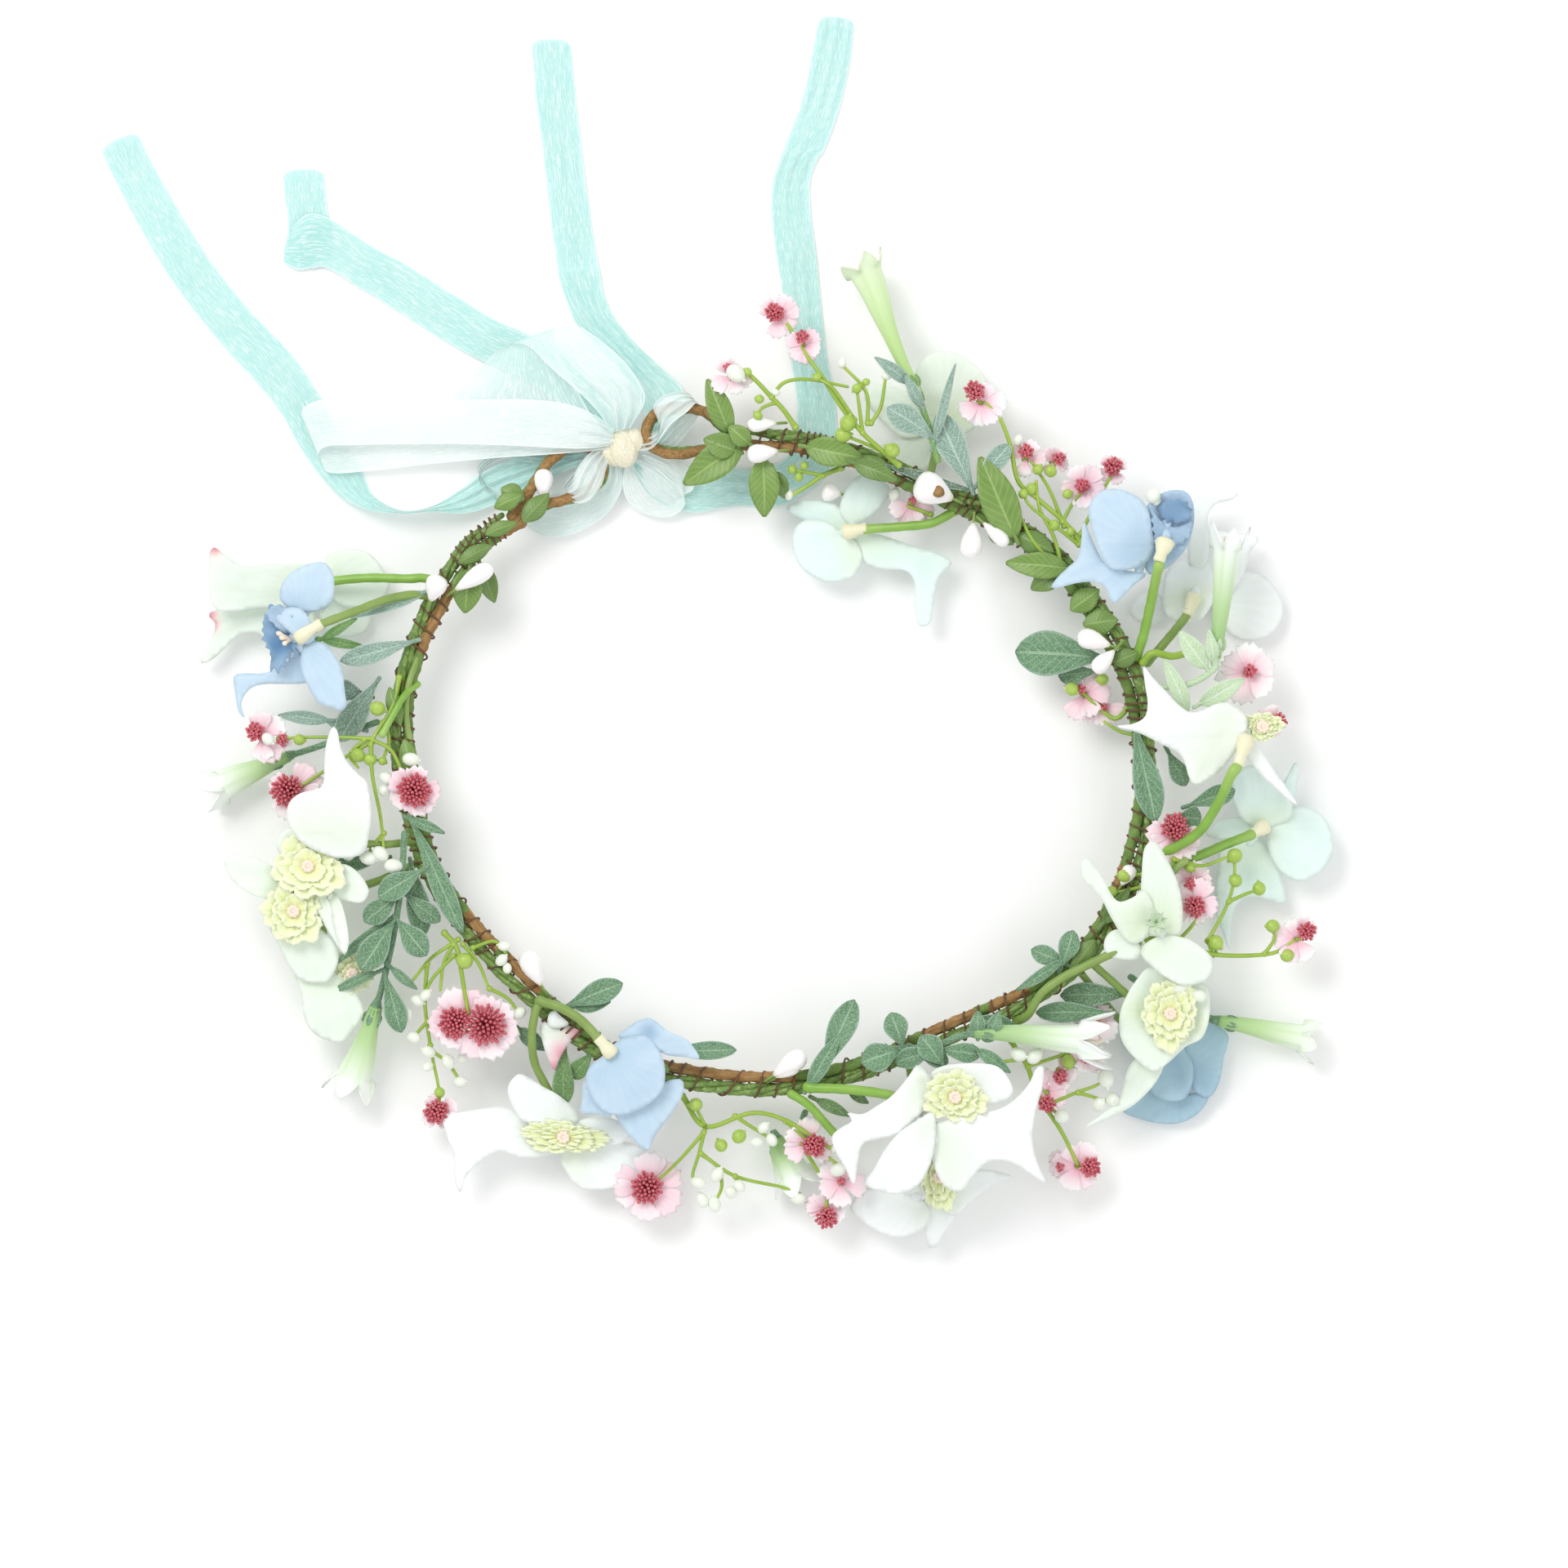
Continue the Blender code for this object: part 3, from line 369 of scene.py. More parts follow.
class Mat:
    def __init__(self, name, rough=0.5, **sockets):
        self.m = bpy.data.materials.new(name)
        self.m.use_nodes = True
        self.t = self.m.node_tree
        self.b = self.t.nodes["Principled BSDF"]
        self.b.inputs["Roughness"].default_value = rough
        for key, value in sockets.items():
            self.b.inputs[key.replace("_", " ")].default_value = value

    def node(self, kind, **inputs):
        n = self.t.nodes.new(kind)
        for key, value in inputs.items():
            n.inputs[key.replace("_", " ")].default_value = value
        return n

    def wire(self, value, socket):
        if hasattr(value, "is_linked"):
            self.t.links.new(value, socket)
        else:
            socket.default_value = value

    def attr(self, name):
        n = self.node("ShaderNodeAttribute")
        n.attribute_name = name
        s = self.node("ShaderNodeSeparateXYZ")
        self.t.links.new(n.outputs["Vector"], s.inputs[0])
        return s.outputs

    def math(self, op, a, b=0.0, c=0.0, clamp=False):
        n = self.node("ShaderNodeMath")
        n.operation, n.use_clamp = op, clamp
        for value, socket in zip((a, b, c), n.inputs):
            self.wire(value, socket)
        return n.outputs[0]

    def mix(self, fac, a, b, how="MIX"):
        n = self.node("ShaderNodeMix")
        n.data_type, n.blend_type = "RGBA", how
        self.wire(fac, n.inputs[0])
        self.wire(a, n.inputs[6])
        self.wire(b, n.inputs[7])
        return n.outputs[2]

    def ramp(self, fac, stops):
        n = self.node("ShaderNodeValToRGB")
        el = n.color_ramp.elements
        while len(el) < len(stops):
            el.new(0.5)
        for e, (at, col) in zip(el, stops):
            e.position, e.color = at, col
        self.wire(fac, n.inputs[0])
        return n.outputs[0]

    def noise(self, size, detail=3.0, stretch=None, rough=0.55):
        """Noise with features of about size mm, in the piece's own space."""
        tc = self.node("ShaderNodeTexCoord")
        n = self.node("ShaderNodeTexNoise", Scale=1000.0 / size, Detail=detail, Roughness=rough)
        if stretch:
            mp = self.node("ShaderNodeMapping")
            mp.inputs["Scale"].default_value = stretch
            self.t.links.new(tc.outputs["Object"], mp.inputs[0])
            self.t.links.new(mp.outputs[0], n.inputs["Vector"])
        else:
            self.t.links.new(tc.outputs["Object"], n.inputs["Vector"])
        return n.outputs["Fac"]

    def along_noise(self, sx, sy, sz=1.0, detail=3.0):
        """Noise in the piece's own (across, along, id) space."""
        a = self.attr("fp")
        q = self.attr("fq")
        c = self.node("ShaderNodeCombineXYZ")
        self.wire(self.math("MULTIPLY", a[0], sx), c.inputs[0])
        self.wire(self.math("MULTIPLY", a[1], sy), c.inputs[1])
        self.wire(self.math("MULTIPLY", q[1], 17.0 * sz), c.inputs[2])
        n = self.node("ShaderNodeTexNoise", Scale=1.0, Detail=detail)
        self.t.links.new(c.outputs[0], n.inputs["Vector"])
        return n.outputs["Fac"]

    def wave(self, size, distort=2.0):
        tc = self.node("ShaderNodeTexCoord")
        n = self.node("ShaderNodeTexWave", Scale=1000.0 / size / 6.283, Distortion=distort, Detail=2.0)
        self.t.links.new(tc.outputs["Object"], n.inputs["Vector"])
        return n.outputs["Fac"]

    def colour(self, value):
        self.wire(value, self.b.inputs["Base Color"])

    def rough(self, value):
        self.wire(value, self.b.inputs["Roughness"])

    def bump(self, height, strength=0.3, mm=0.1):
        n = self.node("ShaderNodeBump", Strength=strength, Distance=mm * 0.001)
        self.wire(height, n.inputs["Height"])
        self.t.links.new(n.outputs[0], self.b.inputs["Normal"])


def petal_mat(name, base, edge, deep, tip, tip_amount, weave=0.25):
    """Soft moulded fabric petal: a deeper tone near the throat, a paler rim, a tinted zone (fq.x), fine veins and a fine weave."""
    m = Mat(name, 0.55, Subsurface_Weight=0.12, Sheen_Weight=0.15, Sheen_Roughness=0.5)
    m.b.inputs["Subsurface Radius"].default_value = (0.002, 0.002, 0.002)
    m.b.inputs["Subsurface Scale"].default_value = 0.6
    a, q = m.attr("fp"), m.attr("fq")
    col = m.mix(m.math("MULTIPLY", m.noise(7.0, 2.0), 0.7, clamp=True), base, edge)
    near = m.math("SUBTRACT", 1.0, m.math("MULTIPLY", m.math("ABSOLUTE", a[1]), 2.2), clamp=True)
    col = m.mix(m.math("MULTIPLY", near, 0.6, clamp=True), col, deep)
    col = m.mix(m.math("MULTIPLY", m.math("SUBTRACT", 1.0, a[2], clamp=True), 0.45), col, edge)
    veins = m.math("SINE", m.math("ADD", m.math("MULTIPLY", q[2], 34.0), m.math("MULTIPLY", m.noise(4.0), 7.0)))
    col = m.mix(m.math("MULTIPLY", m.math("ADD", veins, 1.0), 0.05), col, deep)
    col = m.mix(m.math("MULTIPLY", q[0], tip_amount, clamp=True), col, tip)
    m.colour(col)
    m.rough(m.math("ADD", 0.48, m.math("MULTIPLY", m.noise(1.2), 0.2)))
    fine = m.math("ADD", m.math("MULTIPLY", m.noise(0.32, 1.0), 0.6), m.math("MULTIPLY", veins, 0.25))
    m.bump(fine, weave, 0.12)
    return m.m


WHITE = petal_mat("petal_white", C(238, 245, 245), C(250, 253, 253), C(222, 234, 208), C(226, 120, 140), 1.0)
WHITE_GREEN = petal_mat("petal_white_green", C(226, 241, 226), C(243, 250, 243), C(212, 228, 186), C(226, 120, 140), 1.0)
MINT = petal_mat("petal_mint", C(214, 240, 236), C(238, 250, 248), C(220, 234, 200), C(226, 120, 140), 1.0)
BLUE = petal_mat("petal_blue", C(182, 208, 230), C(206, 226, 241), C(158, 188, 214), C(84, 130, 172), 1.0)
# a darker, greyer copy of the blue petal colours: painted shade for the blue flower that lies low under its neighbours
BLUE_PAINTED_SHADE = petal_mat("petal_blue_painted_shade", C(160, 194, 212), C(182, 211, 224), C(138, 172, 194), C(84, 130, 172), 1.0)
PINK = petal_mat("petal_pink", C(244, 196, 212), C(252, 232, 238), C(236, 150, 178), C(250, 250, 250), 1.0, 0.2)


def corona_mat():
    m = Mat("corona_ruffle", 0.6, Sheen_Weight=0.1)
    a, q = m.attr("fp"), m.attr("fq")
    col = m.ramp(a[1], [(0.0, C(246, 232, 212)), (0.16, C(240, 236, 184)), (0.45, C(234, 242, 184)), (0.8, C(240, 246, 204)), (1.0, C(246, 250, 224))])
    rib = m.math("MULTIPLY", m.math("ADD", m.math("SINE", m.math("MULTIPLY", q[2], 40.0)), 1.0), 0.10)
    m.colour(m.mix(rib, col, C(222, 234, 156)))
    m.bump(m.math("ADD", m.noise(0.5), rib), 0.4, 0.15)
    return m.m


def soft_mat(name, low, high, size, rough=0.5, bump=0.3, highlight_speck=None, mm=0.1, **sockets):
    """A two-tone surface with broad and fine variation, and specks of a third colour that are painted highlights."""
    m = Mat(name, rough, **sockets)
    a, q = m.attr("fp"), m.attr("fq")
    col = m.mix(m.math("MULTIPLY", m.noise(size, 4.0), 1.0, clamp=True), low, high)
    # painted highlights: pale flecks of a third colour stand in for glints
    if highlight_speck:
        col = m.mix(m.math("MULTIPLY", m.math("GREATER_THAN", m.noise(size * 0.23, 2.0), 0.62), 0.55), col, highlight_speck)
    col = m.mix(m.math("MULTIPLY", q[1], 0.18), col, low)
    m.colour(col)
    m.rough(m.math("ADD", rough - 0.08, m.math("MULTIPLY", m.noise(size * 0.6), 0.16)))
    m.bump(m.noise(size * 0.12, 3.0), bump, mm)
    return m.m


def stem_mat(name, low, high, end, rough=0.38):
    """A wired stem in soft plastic: colour drifts along it, with fine moulding lines."""
    m = Mat(name, rough, Coat_Weight=0.15, Coat_Roughness=0.3)
    a, q = m.attr("fp"), m.attr("fq")
    col = m.mix(m.math("MULTIPLY", m.noise(5.0), 1.0, clamp=True), low, high)
    col = m.mix(m.math("MULTIPLY", m.math("SUBTRACT", a[1], 0.7, clamp=True), 1.6), col, end)
    m.colour(col)
    m.bump(m.math("ADD", m.noise(0.8), m.math("MULTIPLY", m.math("SINE", m.math("MULTIPLY", a[0], 18.0)), 0.3)), 0.3, 0.12)
    return m.m


CORONA = corona_mat()
CREAM = soft_mat("calyx_cream", C(228, 226, 186), C(245, 240, 216), 2.5, 0.45)
DOT = soft_mat("corona_centre", C(244, 220, 200), C(250, 238, 222), 0.8, 0.5)
STEM = stem_mat("stem_green", C(112, 160, 52), C(150, 192, 84), C(176, 204, 116))
STEM_OLIVE = stem_mat("stem_olive", C(110, 140, 58), C(146, 172, 92), C(160, 180, 108), 0.45)
SPRAY = stem_mat("spray_stem", C(126, 164, 48), C(170, 196, 78), C(190, 210, 100))
# the pale pink specks (third colour) are painted highlights on the glossy stamen beads
CRIMSON = soft_mat("stamen_crimson", C(178, 46, 60), C(232, 128, 142), 0.7, 0.42, 0.4, C(244, 190, 196))
GREEN_BERRY = soft_mat("berry_green", C(140, 178, 46), C(196, 216, 120), 1.6, 0.3)
RICE = soft_mat("berry_rice", C(226, 234, 214), C(248, 250, 246), 1.5, 0.3)


def leaf_mat(name, low, high, rib, rough, bump, sheen, frost=None, ribs=9.0):
    """Leaf fabric: pale midrib, side veins, frosted flock or satin threads."""
    m = Mat(name, rough, Sheen_Weight=sheen, Sheen_Roughness=0.4)
    a, q = m.attr("fp"), m.attr("fq")
    ab = m.math("ABSOLUTE", a[0])
    col = m.mix(m.math("MULTIPLY", m.noise(4.0, 4.0), 1.0, clamp=True), low, high)
    side = m.math("SINE", m.math("MULTIPLY", m.math("SUBTRACT", m.math("MULTIPLY", a[1], ribs), m.math("MULTIPLY", ab, 2.2)), 6.283))
    col = m.mix(m.math("MULTIPLY", m.math("GREATER_THAN", side, 0.82), 0.25), col, rib)
    mid = m.math("LESS_THAN", ab, 0.07)
    col = m.mix(m.math("MULTIPLY", mid, 0.55), col, rib)
    col = m.mix(m.math("MULTIPLY", q[0], 1.0, clamp=True), col, C(70, 96, 58))
    if frost:
        col = m.mix(m.math("MULTIPLY", m.math("GREATER_THAN", m.noise(0.35, 1.0), 0.55), 0.35), col, frost)
        col = m.mix(m.math("MULTIPLY", m.math("SUBTRACT", 1.0, m.math("MULTIPLY", a[2], 7.0), clamp=True), 0.6), col, frost)
    m.colour(col)
    m.bump(m.math("ADD", m.noise(0.3, 2.0), m.math("MULTIPLY", side, 0.35)), bump, 0.15)
    return m.m


SATIN = leaf_mat("leaf_satin", C(92, 128, 48), C(134, 166, 86), C(168, 192, 120), 0.36, 0.35, 0.25)
FROST = leaf_mat("leaf_frosted", C(70, 112, 74), C(118, 156, 118), C(170, 198, 164), 0.8, 0.5, 0.4, C(180, 206, 190))
SILVER = leaf_mat("leaf_silver", C(104, 140, 120), C(150, 178, 164), C(198, 216, 206), 0.75, 0.5, 0.5, C(214, 228, 222))
PALE = leaf_mat("leaf_pale", C(168, 200, 150), C(206, 226, 192), C(240, 247, 236), 0.7, 0.4, 0.3, C(232, 242, 230))
GLOSSY = leaf_mat("leaf_green", C(86, 136, 60), C(128, 170, 92), C(176, 206, 140), 0.5, 0.35, 0.2, C(178, 204, 168))


def trumpet_mat():
    m = Mat("trumpet_flock", 0.75, Sheen_Weight=0.4, Sheen_Roughness=0.4)
    a, q = m.attr("fp"), m.attr("fq")
    col = m.ramp(a[1], [(0.0, C(140, 182, 112)), (0.34, C(184, 214, 158)), (0.58, C(222, 238, 212)), (0.74, C(242, 249, 243)), (1.0, C(250, 252, 251))])
    rib = m.math("SINE", m.math("MULTIPLY", a[0], 18.85))
    col = m.mix(m.math("MULTIPLY", m.math("GREATER_THAN", rib, 0.55), 0.2), col, C(176, 214, 150))
    col = m.mix(m.math("MULTIPLY", q[0], 0.9, clamp=True), col, C(196, 226, 140))
    m.colour(col)
    m.bump(m.math("ADD", m.noise(0.35), m.math("MULTIPLY", rib, 0.5)), 0.4, 0.15)
    return m.m


TRUMPET = trumpet_mat()


def twig_mat():
    m = Mat("twig_paper", 0.72)
    a, q = m.attr("fp"), m.attr("fq")
    streak = m.along_noise(5.0, 60.0)
    col = m.ramp(m.math("ADD", m.math("MULTIPLY", streak, 0.75), m.math("MULTIPLY", m.noise(1.6, 5.0), 0.3)), [(0.2, C(84, 58, 24)), (0.42, C(140, 102, 54)), (0.6, C(164, 128, 78)), (0.85, C(190, 158, 112))])
    green = m.mix(m.noise(2.6, 3.0), C(72, 100, 36), C(134, 164, 84))
    col = m.mix(m.math("GREATER_THAN", m.math("ADD", q[0], m.math("MULTIPLY", m.noise(4.0, 2.0), 0.5)), 0.72), col, green)
    m.colour(col)
    m.bump(m.math("ADD", streak, m.math("MULTIPLY", m.noise(0.5), 0.6)), 0.7, 0.35)
    return m.m


def tape_mat():
    m = Mat("tape_green", 0.42, Sheen_Weight=0.1)
    a, q = m.attr("fp"), m.attr("fq")
    wrap = m.math("SINE", m.math("ADD", m.math("MULTIPLY", a[1], 900.0), m.math("MULTIPLY", a[0], 3.14)))
    col = m.mix(m.math("MULTIPLY", m.noise(3.5, 4.0), 1.1, clamp=True), C(66, 98, 30), C(138, 170, 82))
    col = m.mix(m.math("MULTIPLY", m.math("GREATER_THAN", m.noise(1.3, 2.0), 0.6), 0.45), col, C(176, 198, 130))
    col = m.mix(m.math("MULTIPLY", m.math("GREATER_THAN", wrap, 0.8), 0.4), col, C(58, 84, 26))
    m.colour(col)
    m.bump(m.math("ADD", m.noise(0.7), m.math("MULTIPLY", wrap, 0.4)), 0.6, 0.25)
    return m.m


def berry_mat():
    m = Mat("berry_white", 0.16, Coat_Weight=0.6, Coat_Roughness=0.06)
    a, q = m.attr("fp"), m.attr("fq")
    col = m.mix(m.noise(3.0), C(246, 240, 240), C(253, 252, 252))
    col = m.mix(m.math("MULTIPLY", m.math("SUBTRACT", 0.14, a[1], clamp=True), 5.0, clamp=True), col, C(190, 190, 140))
    m.colour(col)
    m.bump(m.noise(1.5), 0.1, 0.1)
    return m.m


def organza_mat(name, thread, body, alpha, shine=0.4):
    """Sheer organza: fine threads along the ribbon, brighter lengthwise streaks of painted sheen, denser selvedges,
    see-through between.
    """
    m = Mat(name, 0.42, Sheen_Weight=0.3, Sheen_Roughness=0.35)
    a, q = m.attr("fp"), m.attr("fq")
    ab = m.math("ABSOLUTE", a[0])
    threads = m.along_noise(34.0, 7.0, 1.0, 2.0)
    # painted sheen: lengthwise streaks are pushed towards near-white and made a little denser
    streak = m.math("GREATER_THAN", m.along_noise(40.0, 20.0, 2.0, 1.0), 0.585)
    soft = m.along_noise(2.5, 5.0, 1.0, 2.0)
    col = m.mix(m.math("MULTIPLY", soft, 0.8, clamp=True), body, thread)
    col = m.mix(m.math("MULTIPLY", streak, 0.55), col, C(250, 254, 253))
    hem = m.math("GREATER_THAN", ab, 0.95)
    col = m.mix(m.math("MULTIPLY", hem, 0.35), col, C(246, 252, 250))
    m.colour(col)
    al = m.math("ADD", alpha, m.math("MULTIPLY", m.math("SUBTRACT", threads, 0.5), 0.25))
    al = m.math("ADD", al, m.math("MULTIPLY", hem, 0.16))
    al = m.math("ADD", al, m.math("MULTIPLY", streak, 0.14), clamp=True)
    m.wire(al, m.b.inputs["Alpha"])
    m.bump(threads, shine, 0.1)
    return m.m


TWIG, TAPE, BERRY = twig_mat(), tape_mat(), berry_mat()
WIRE = soft_mat("wire_brown", C(74, 48, 28), C(128, 92, 62), 1.5, 0.45, 0.4, Metallic=0.1)
TAIL = organza_mat("organza_aqua", C(204, 243, 239), C(172, 232, 227), 0.74)
BOW = organza_mat("organza_bow", C(248, 252, 251), C(228, 245, 242), 0.68)
BOW_BACK = organza_mat("organza_back", C(238, 250, 248), C(206, 240, 236), 0.6)
KNOT = organza_mat("organza_knot", C(250, 246, 226), C(240, 232, 196), 0.86)


# ---------------------------------------------------------------- hoop
HOOP = (
    (636, 632, 10.5), (610, 645, 11.5), (574, 675, 13), (534, 740, 14.5), (505, 808, 15),
    (491, 880, 15), (498, 950, 15), (520, 1045, 15), (560, 1115, 15), (610, 1175, 15),
    (665, 1230, 15), (735, 1284, 15), (818, 1314, 15), (929, 1328, 15), (1038, 1312, 15),
    (1154, 1268, 15), (1265, 1216, 15), (1335, 1160, 15), (1378, 1085, 15), (1401, 1000, 15),
    (1400, 920, 15), (1389, 841, 15), (1357, 772, 15), (1302, 696, 15), (1241, 648, 15),
    (1168, 610, 14.5), (1083, 572, 13.5), (1000, 546, 12.5), (926, 537, 11), (903, 535, 10.5),
)
hoop = even(curve([G(*p) for p in HOOP], 16), 760)
HOOP_LEN = length_of(hoop)
ht = np.gradient(hoop, axis=0)
ht /= np.linalg.norm(ht, axis=1, keepdims=True)
out = np.cross(ht, UP)
out /= np.linalg.norm(out, axis=1, keepdims=True)
out *= np.where(((hoop - np.array((0, -40, 15))) * out).sum(1) > 0, 1, -1)[:, None]
hs = np.linspace(0, HOOP_LEN, len(hoop))

# the brown twig, on the inner side, with knots and hollows of crumpled paper
b = Build()
w = hs / 21.0
line = hoop - out * (1.75 + 0.35 * np.sin(w * 2.1))[:, None] + UP * (0.4 * np.sin(w * 1.3))[:, None]
sides = 14
ang = np.linspace(0, 2 * np.pi, sides, endpoint=False)
r = 1.42 + 0.14 * wobble(line, 7.0, 3)[:, None] + 0.16 * np.sin(ang[None, :] * 3 + hs[:, None] * 1.1) + 0.10 * np.sin(ang[None, :] * 5 - hs[:, None] * 1.9 + 1)
BROWN = ((532, 755, 9), (585, 1146, 6), (638, 1192, 6), (890, 1316, 18), (1165, 1262, 7), (1242, 1236, 6), (955, 540, 9), (1072, 568, 6), (628, 640, 5), (1380, 1090, 5), (1290, 690, 4))
bare = np.zeros(len(hoop))
for u, v, reach in BROWN:
    bare = np.maximum(bare, np.clip(1.6 - np.linalg.norm(hoop[:, :2] - G(u, v)[:2], axis=1) / reach, 0, 1))
rows = [0, 0] + list(range(len(hoop))) + [len(hoop) - 1] * 2
tone = np.repeat((1 - bare)[rows][:, None], sides, axis=1)
b.tube(line, r, sides, fq=np.stack([tone, np.full_like(tone, 0.3), np.zeros_like(tone)], axis=-1))
b.make("hoop_twig", TWIG, slot="twig", replaces=("vine_twig",))

# four taped stems twisted together on the outer side
b = Build()
for k in range(4):
    turn = hs / 34.0 * 2 * np.pi + k * np.pi / 2
    off = 0.95 + 0.2 * np.sin(hs / 17 + k)
    line = hoop + out * (1.35 + off * np.cos(turn))[:, None] + UP * (off * np.sin(turn))[:, None]
    rr = 0.86 + 0.12 * wobble(line, 5.0, k)[:, None] + 0.07 * np.sin(np.linspace(0, 2 * np.pi, 8, endpoint=False)[None, :] * 2 + hs[:, None] * 2.4)
    keep = slice(6 + 5 * k, len(hoop) - 4 - 4 * k)
    b.tube(line[keep], rr[keep], 8, fq=(0, 0.2 * k, 0))
b.make("hoop_taped_stems", TAPE, slot="green_tape", replaces=("green_taped_stems",))

# binding wire: one long coil, close turns at the two ends and where branches are bound in
DENSE = ((600, 640), (574, 675), (1185, 620), (1380, 812), (1389, 865), (690, 1250), (1378, 1090), (1241, 648), (1000, 546))
dens = (1 / 4.9) * (1 + 0.4 * np.sin(hs * 0.21) + 0.25 * np.sin(hs * 0.077 + 1))
for u, v in DENSE:
    d = np.linalg.norm(hoop[:, :2] - G(u, v)[:2], axis=1)
    dens += (1 / 2.3) * np.exp(-((d / 3.6) ** 2))
phase = np.concatenate([[0], np.cumsum((dens[1:] + dens[:-1]) / 2 * np.diff(hs))]) * 2 * np.pi
fine = np.linspace(phase[8], phase[-8], int((phase[-8] - phase[8]) / 0.42))
centre = np.stack([np.interp(fine, phase, hoop[:, k]) for k in range(3)], axis=1)
o = np.stack([np.interp(fine, phase, out[:, k]) for k in range(3)], axis=1)
o /= np.linalg.norm(o, axis=1, keepdims=True)
sway = 0.25 * np.sin(fine * 0.37)
coil = centre - o * 0.12 + o * (3.42 * np.cos(fine) + 0.3 * sway)[:, None] + UP * (2.12 * np.sin(fine))[:, None]
b = Build()
b.tube(coil, 0.29, 6, fq=(0, 0.5, 0))
b.make("hoop_binding_wire", WIRE, slot="binding_wire", replaces=("binding_wire",))


def eye(name, route, node, seed):
    """An eye loop of wrapped twig: brown paper with a strip of green tape beside it."""
    line = path(route, 0.6)
    s = np.linspace(0, length_of(line), len(line))
    a = np.linspace(0, 2 * np.pi, 12, endpoint=False)
    b = Build()
    r = 1.35 + 0.10 * np.sin(a[None, :] * 3 + s[:, None] * 1.3) + 0.12 * wobble(line, 5.0, seed)[:, None]
    b.tube(line, r, 12, fq=(0, 0.7, 0))
    b.make(name, TWIG, slot="twig", replaces=(node,))
    t, sd, u = frames(line)
    side = np.cross(t, UP)
    b = Build()
    b.tube(line - side * (1.05 + 0.3 * np.sin(s / 3))[:, None] - UP * 0.6, 0.72 + 0.1 * np.sin(s[:, None] * 2 + a[None, :8] * 2), 8, fq=(0, 0.4, 0))
    b.make(name + "_tape", TAPE, slot="green_tape")


eye("eye_left", ((626, 634, 10.8), (643, 611, 9.6), (656, 588, 8.6), (672, 565, 7.8), (700, 546, 7.2), (730, 553, 7.2), (737, 578, 7.6), (720, 598, 8.2), (692, 611, 8.8), (652, 621, 9.6), (630, 640, 10.8)), "left_eye_loop", 2)
eye("eye_right", ((914, 530, 11.2), (892, 524, 10.3), (864, 504, 10.4), (829, 498, 10.5), (801, 507, 10.5), (791, 529, 10.5), (800, 548, 10.3), (824, 556, 10.2), (852, 553, 10.1), (888, 543, 10.1), (914, 538, 10.9)), "right_eye_loop", 5)

# scraps of leaf tape folded round the bundle where branches are bound in
b = Build()
SCRAPS = (
    ((614, 598, 13.5), (642, 612, 13), 26, 1), ((640, 640, 14), (672, 604, 12.5), 26, 2), ((606, 622, 14.5), (640, 606, 14), 22, 3),
    ((594, 655, 15.5), (634, 640, 15.2), 18, 4), ((562, 690, 17.8), (604, 668, 16.8), 20, 5), ((1310, 748, 18.3), (1345, 722, 18.4), 30, 6),
    ((1325, 765, 18.2), (1368, 760, 18.4), 34, 7), ((1362, 812, 18), (1392, 800, 18.2), 24, 8), ((1050, 560, 16.2), (1096, 588, 16.4), 26, 9),
    ((1210, 640, 17.8), (1240, 668, 18), 30, 10), ((1245, 655, 18), (1290, 678, 18.2), 30, 11), ((496, 905, 17.6), (506, 955, 17.8), 22, 12),
    ((478, 842, 18), (492, 890, 18), 20, 13), ((1340, 1150, 17.6), (1310, 1190, 17.6), 24, 14), ((820, 1310, 17.4), (780, 1296, 17.6), 20, 15),
)
for (b0, t0, wd, k) in SCRAPS:
    leaf(b, G(*b0), G(*t0), wd * STEP, lift=0.9, fold=-0.28, wave=0.2, shape="narrow", seed=k, tint=0.15 * (k % 3))
b.make("hoop_leaf_wraps", SATIN, slot="satin_leaf", solid=0.28)


# ---------------------------------------------------------------- organza ribbon
RIBBON = 10.6


def strip(name, rows, material, flat_len, body="crown", replaces=(), ripple=0.12, cols=11, per=10, seed=0, width=0.0106, round_end=False):
    """One layer of ribbon. rows holds ((u, v, z) of one edge, (u, v, z) of the other) from end to end."""
    L = curve([G(*a) for a, _ in rows], per)
    R = curve([G(*c) for _, c in rows], per)
    if np.linalg.norm(R - L, axis=1).min() < 0.9 * RIBBON:
        cols = 27
    n = len(L)
    g = rand(seed + 70)
    ph = g.uniform(0, 6.28, 4)
    mid = (L + R) / 2
    s = np.concatenate([[0], np.cumsum(np.linalg.norm(np.diff(mid, axis=0), axis=1))])
    P = np.zeros((n, cols, 3))
    F = np.zeros((n, cols, 3))
    for i in range(n):
        wide = np.linalg.norm(R[i] - L[i])
        pleat = wide / 18.85 * math.sqrt(2 * max((width * 1000 / wide) ** 2 - 1, 0)) if wide < 0.97 * width * 1000 else 0.0
        pleat = min(pleat, 1.15)
        for j in range(cols):
            t = j / (cols - 1)
            p = L[i] * (1 - t) + R[i] * t
            z = ripple * math.sin(s[i] / 5.5 + ph[0] + 2.2 * t) + ripple * 0.6 * math.sin(s[i] / 2.9 + ph[1] - 3 * t)
            z += pleat * math.sin(t * 18.85 + ph[2] + s[i] / 15)
            if round_end and i < 5:
                p = p + (mid[5] - mid[0]) / max(s[5], 1e-6) * (1.6 * abs(2 * t - 1) ** 4) * (1 - i / 5)
            P[i, j] = p + UP * z
            F[i, j] = (2 * t - 1, s[i] / 60.0, 1 - abs(2 * t - 1))
    P[:, :, 2] = np.maximum(P[:, :, 2], 0.10)
    b = Build()
    b.grid(P, fp=F, fq=(0, 0.13 + 0.11 * seed, 0))
    obj = b.make(name, material, body, slot="organza", replaces=replaces)
    area = sum(p.area for p in obj.data.polygons)
    obj["mesh_area_mm2"] = round(area * 1e6, 1)
    return obj


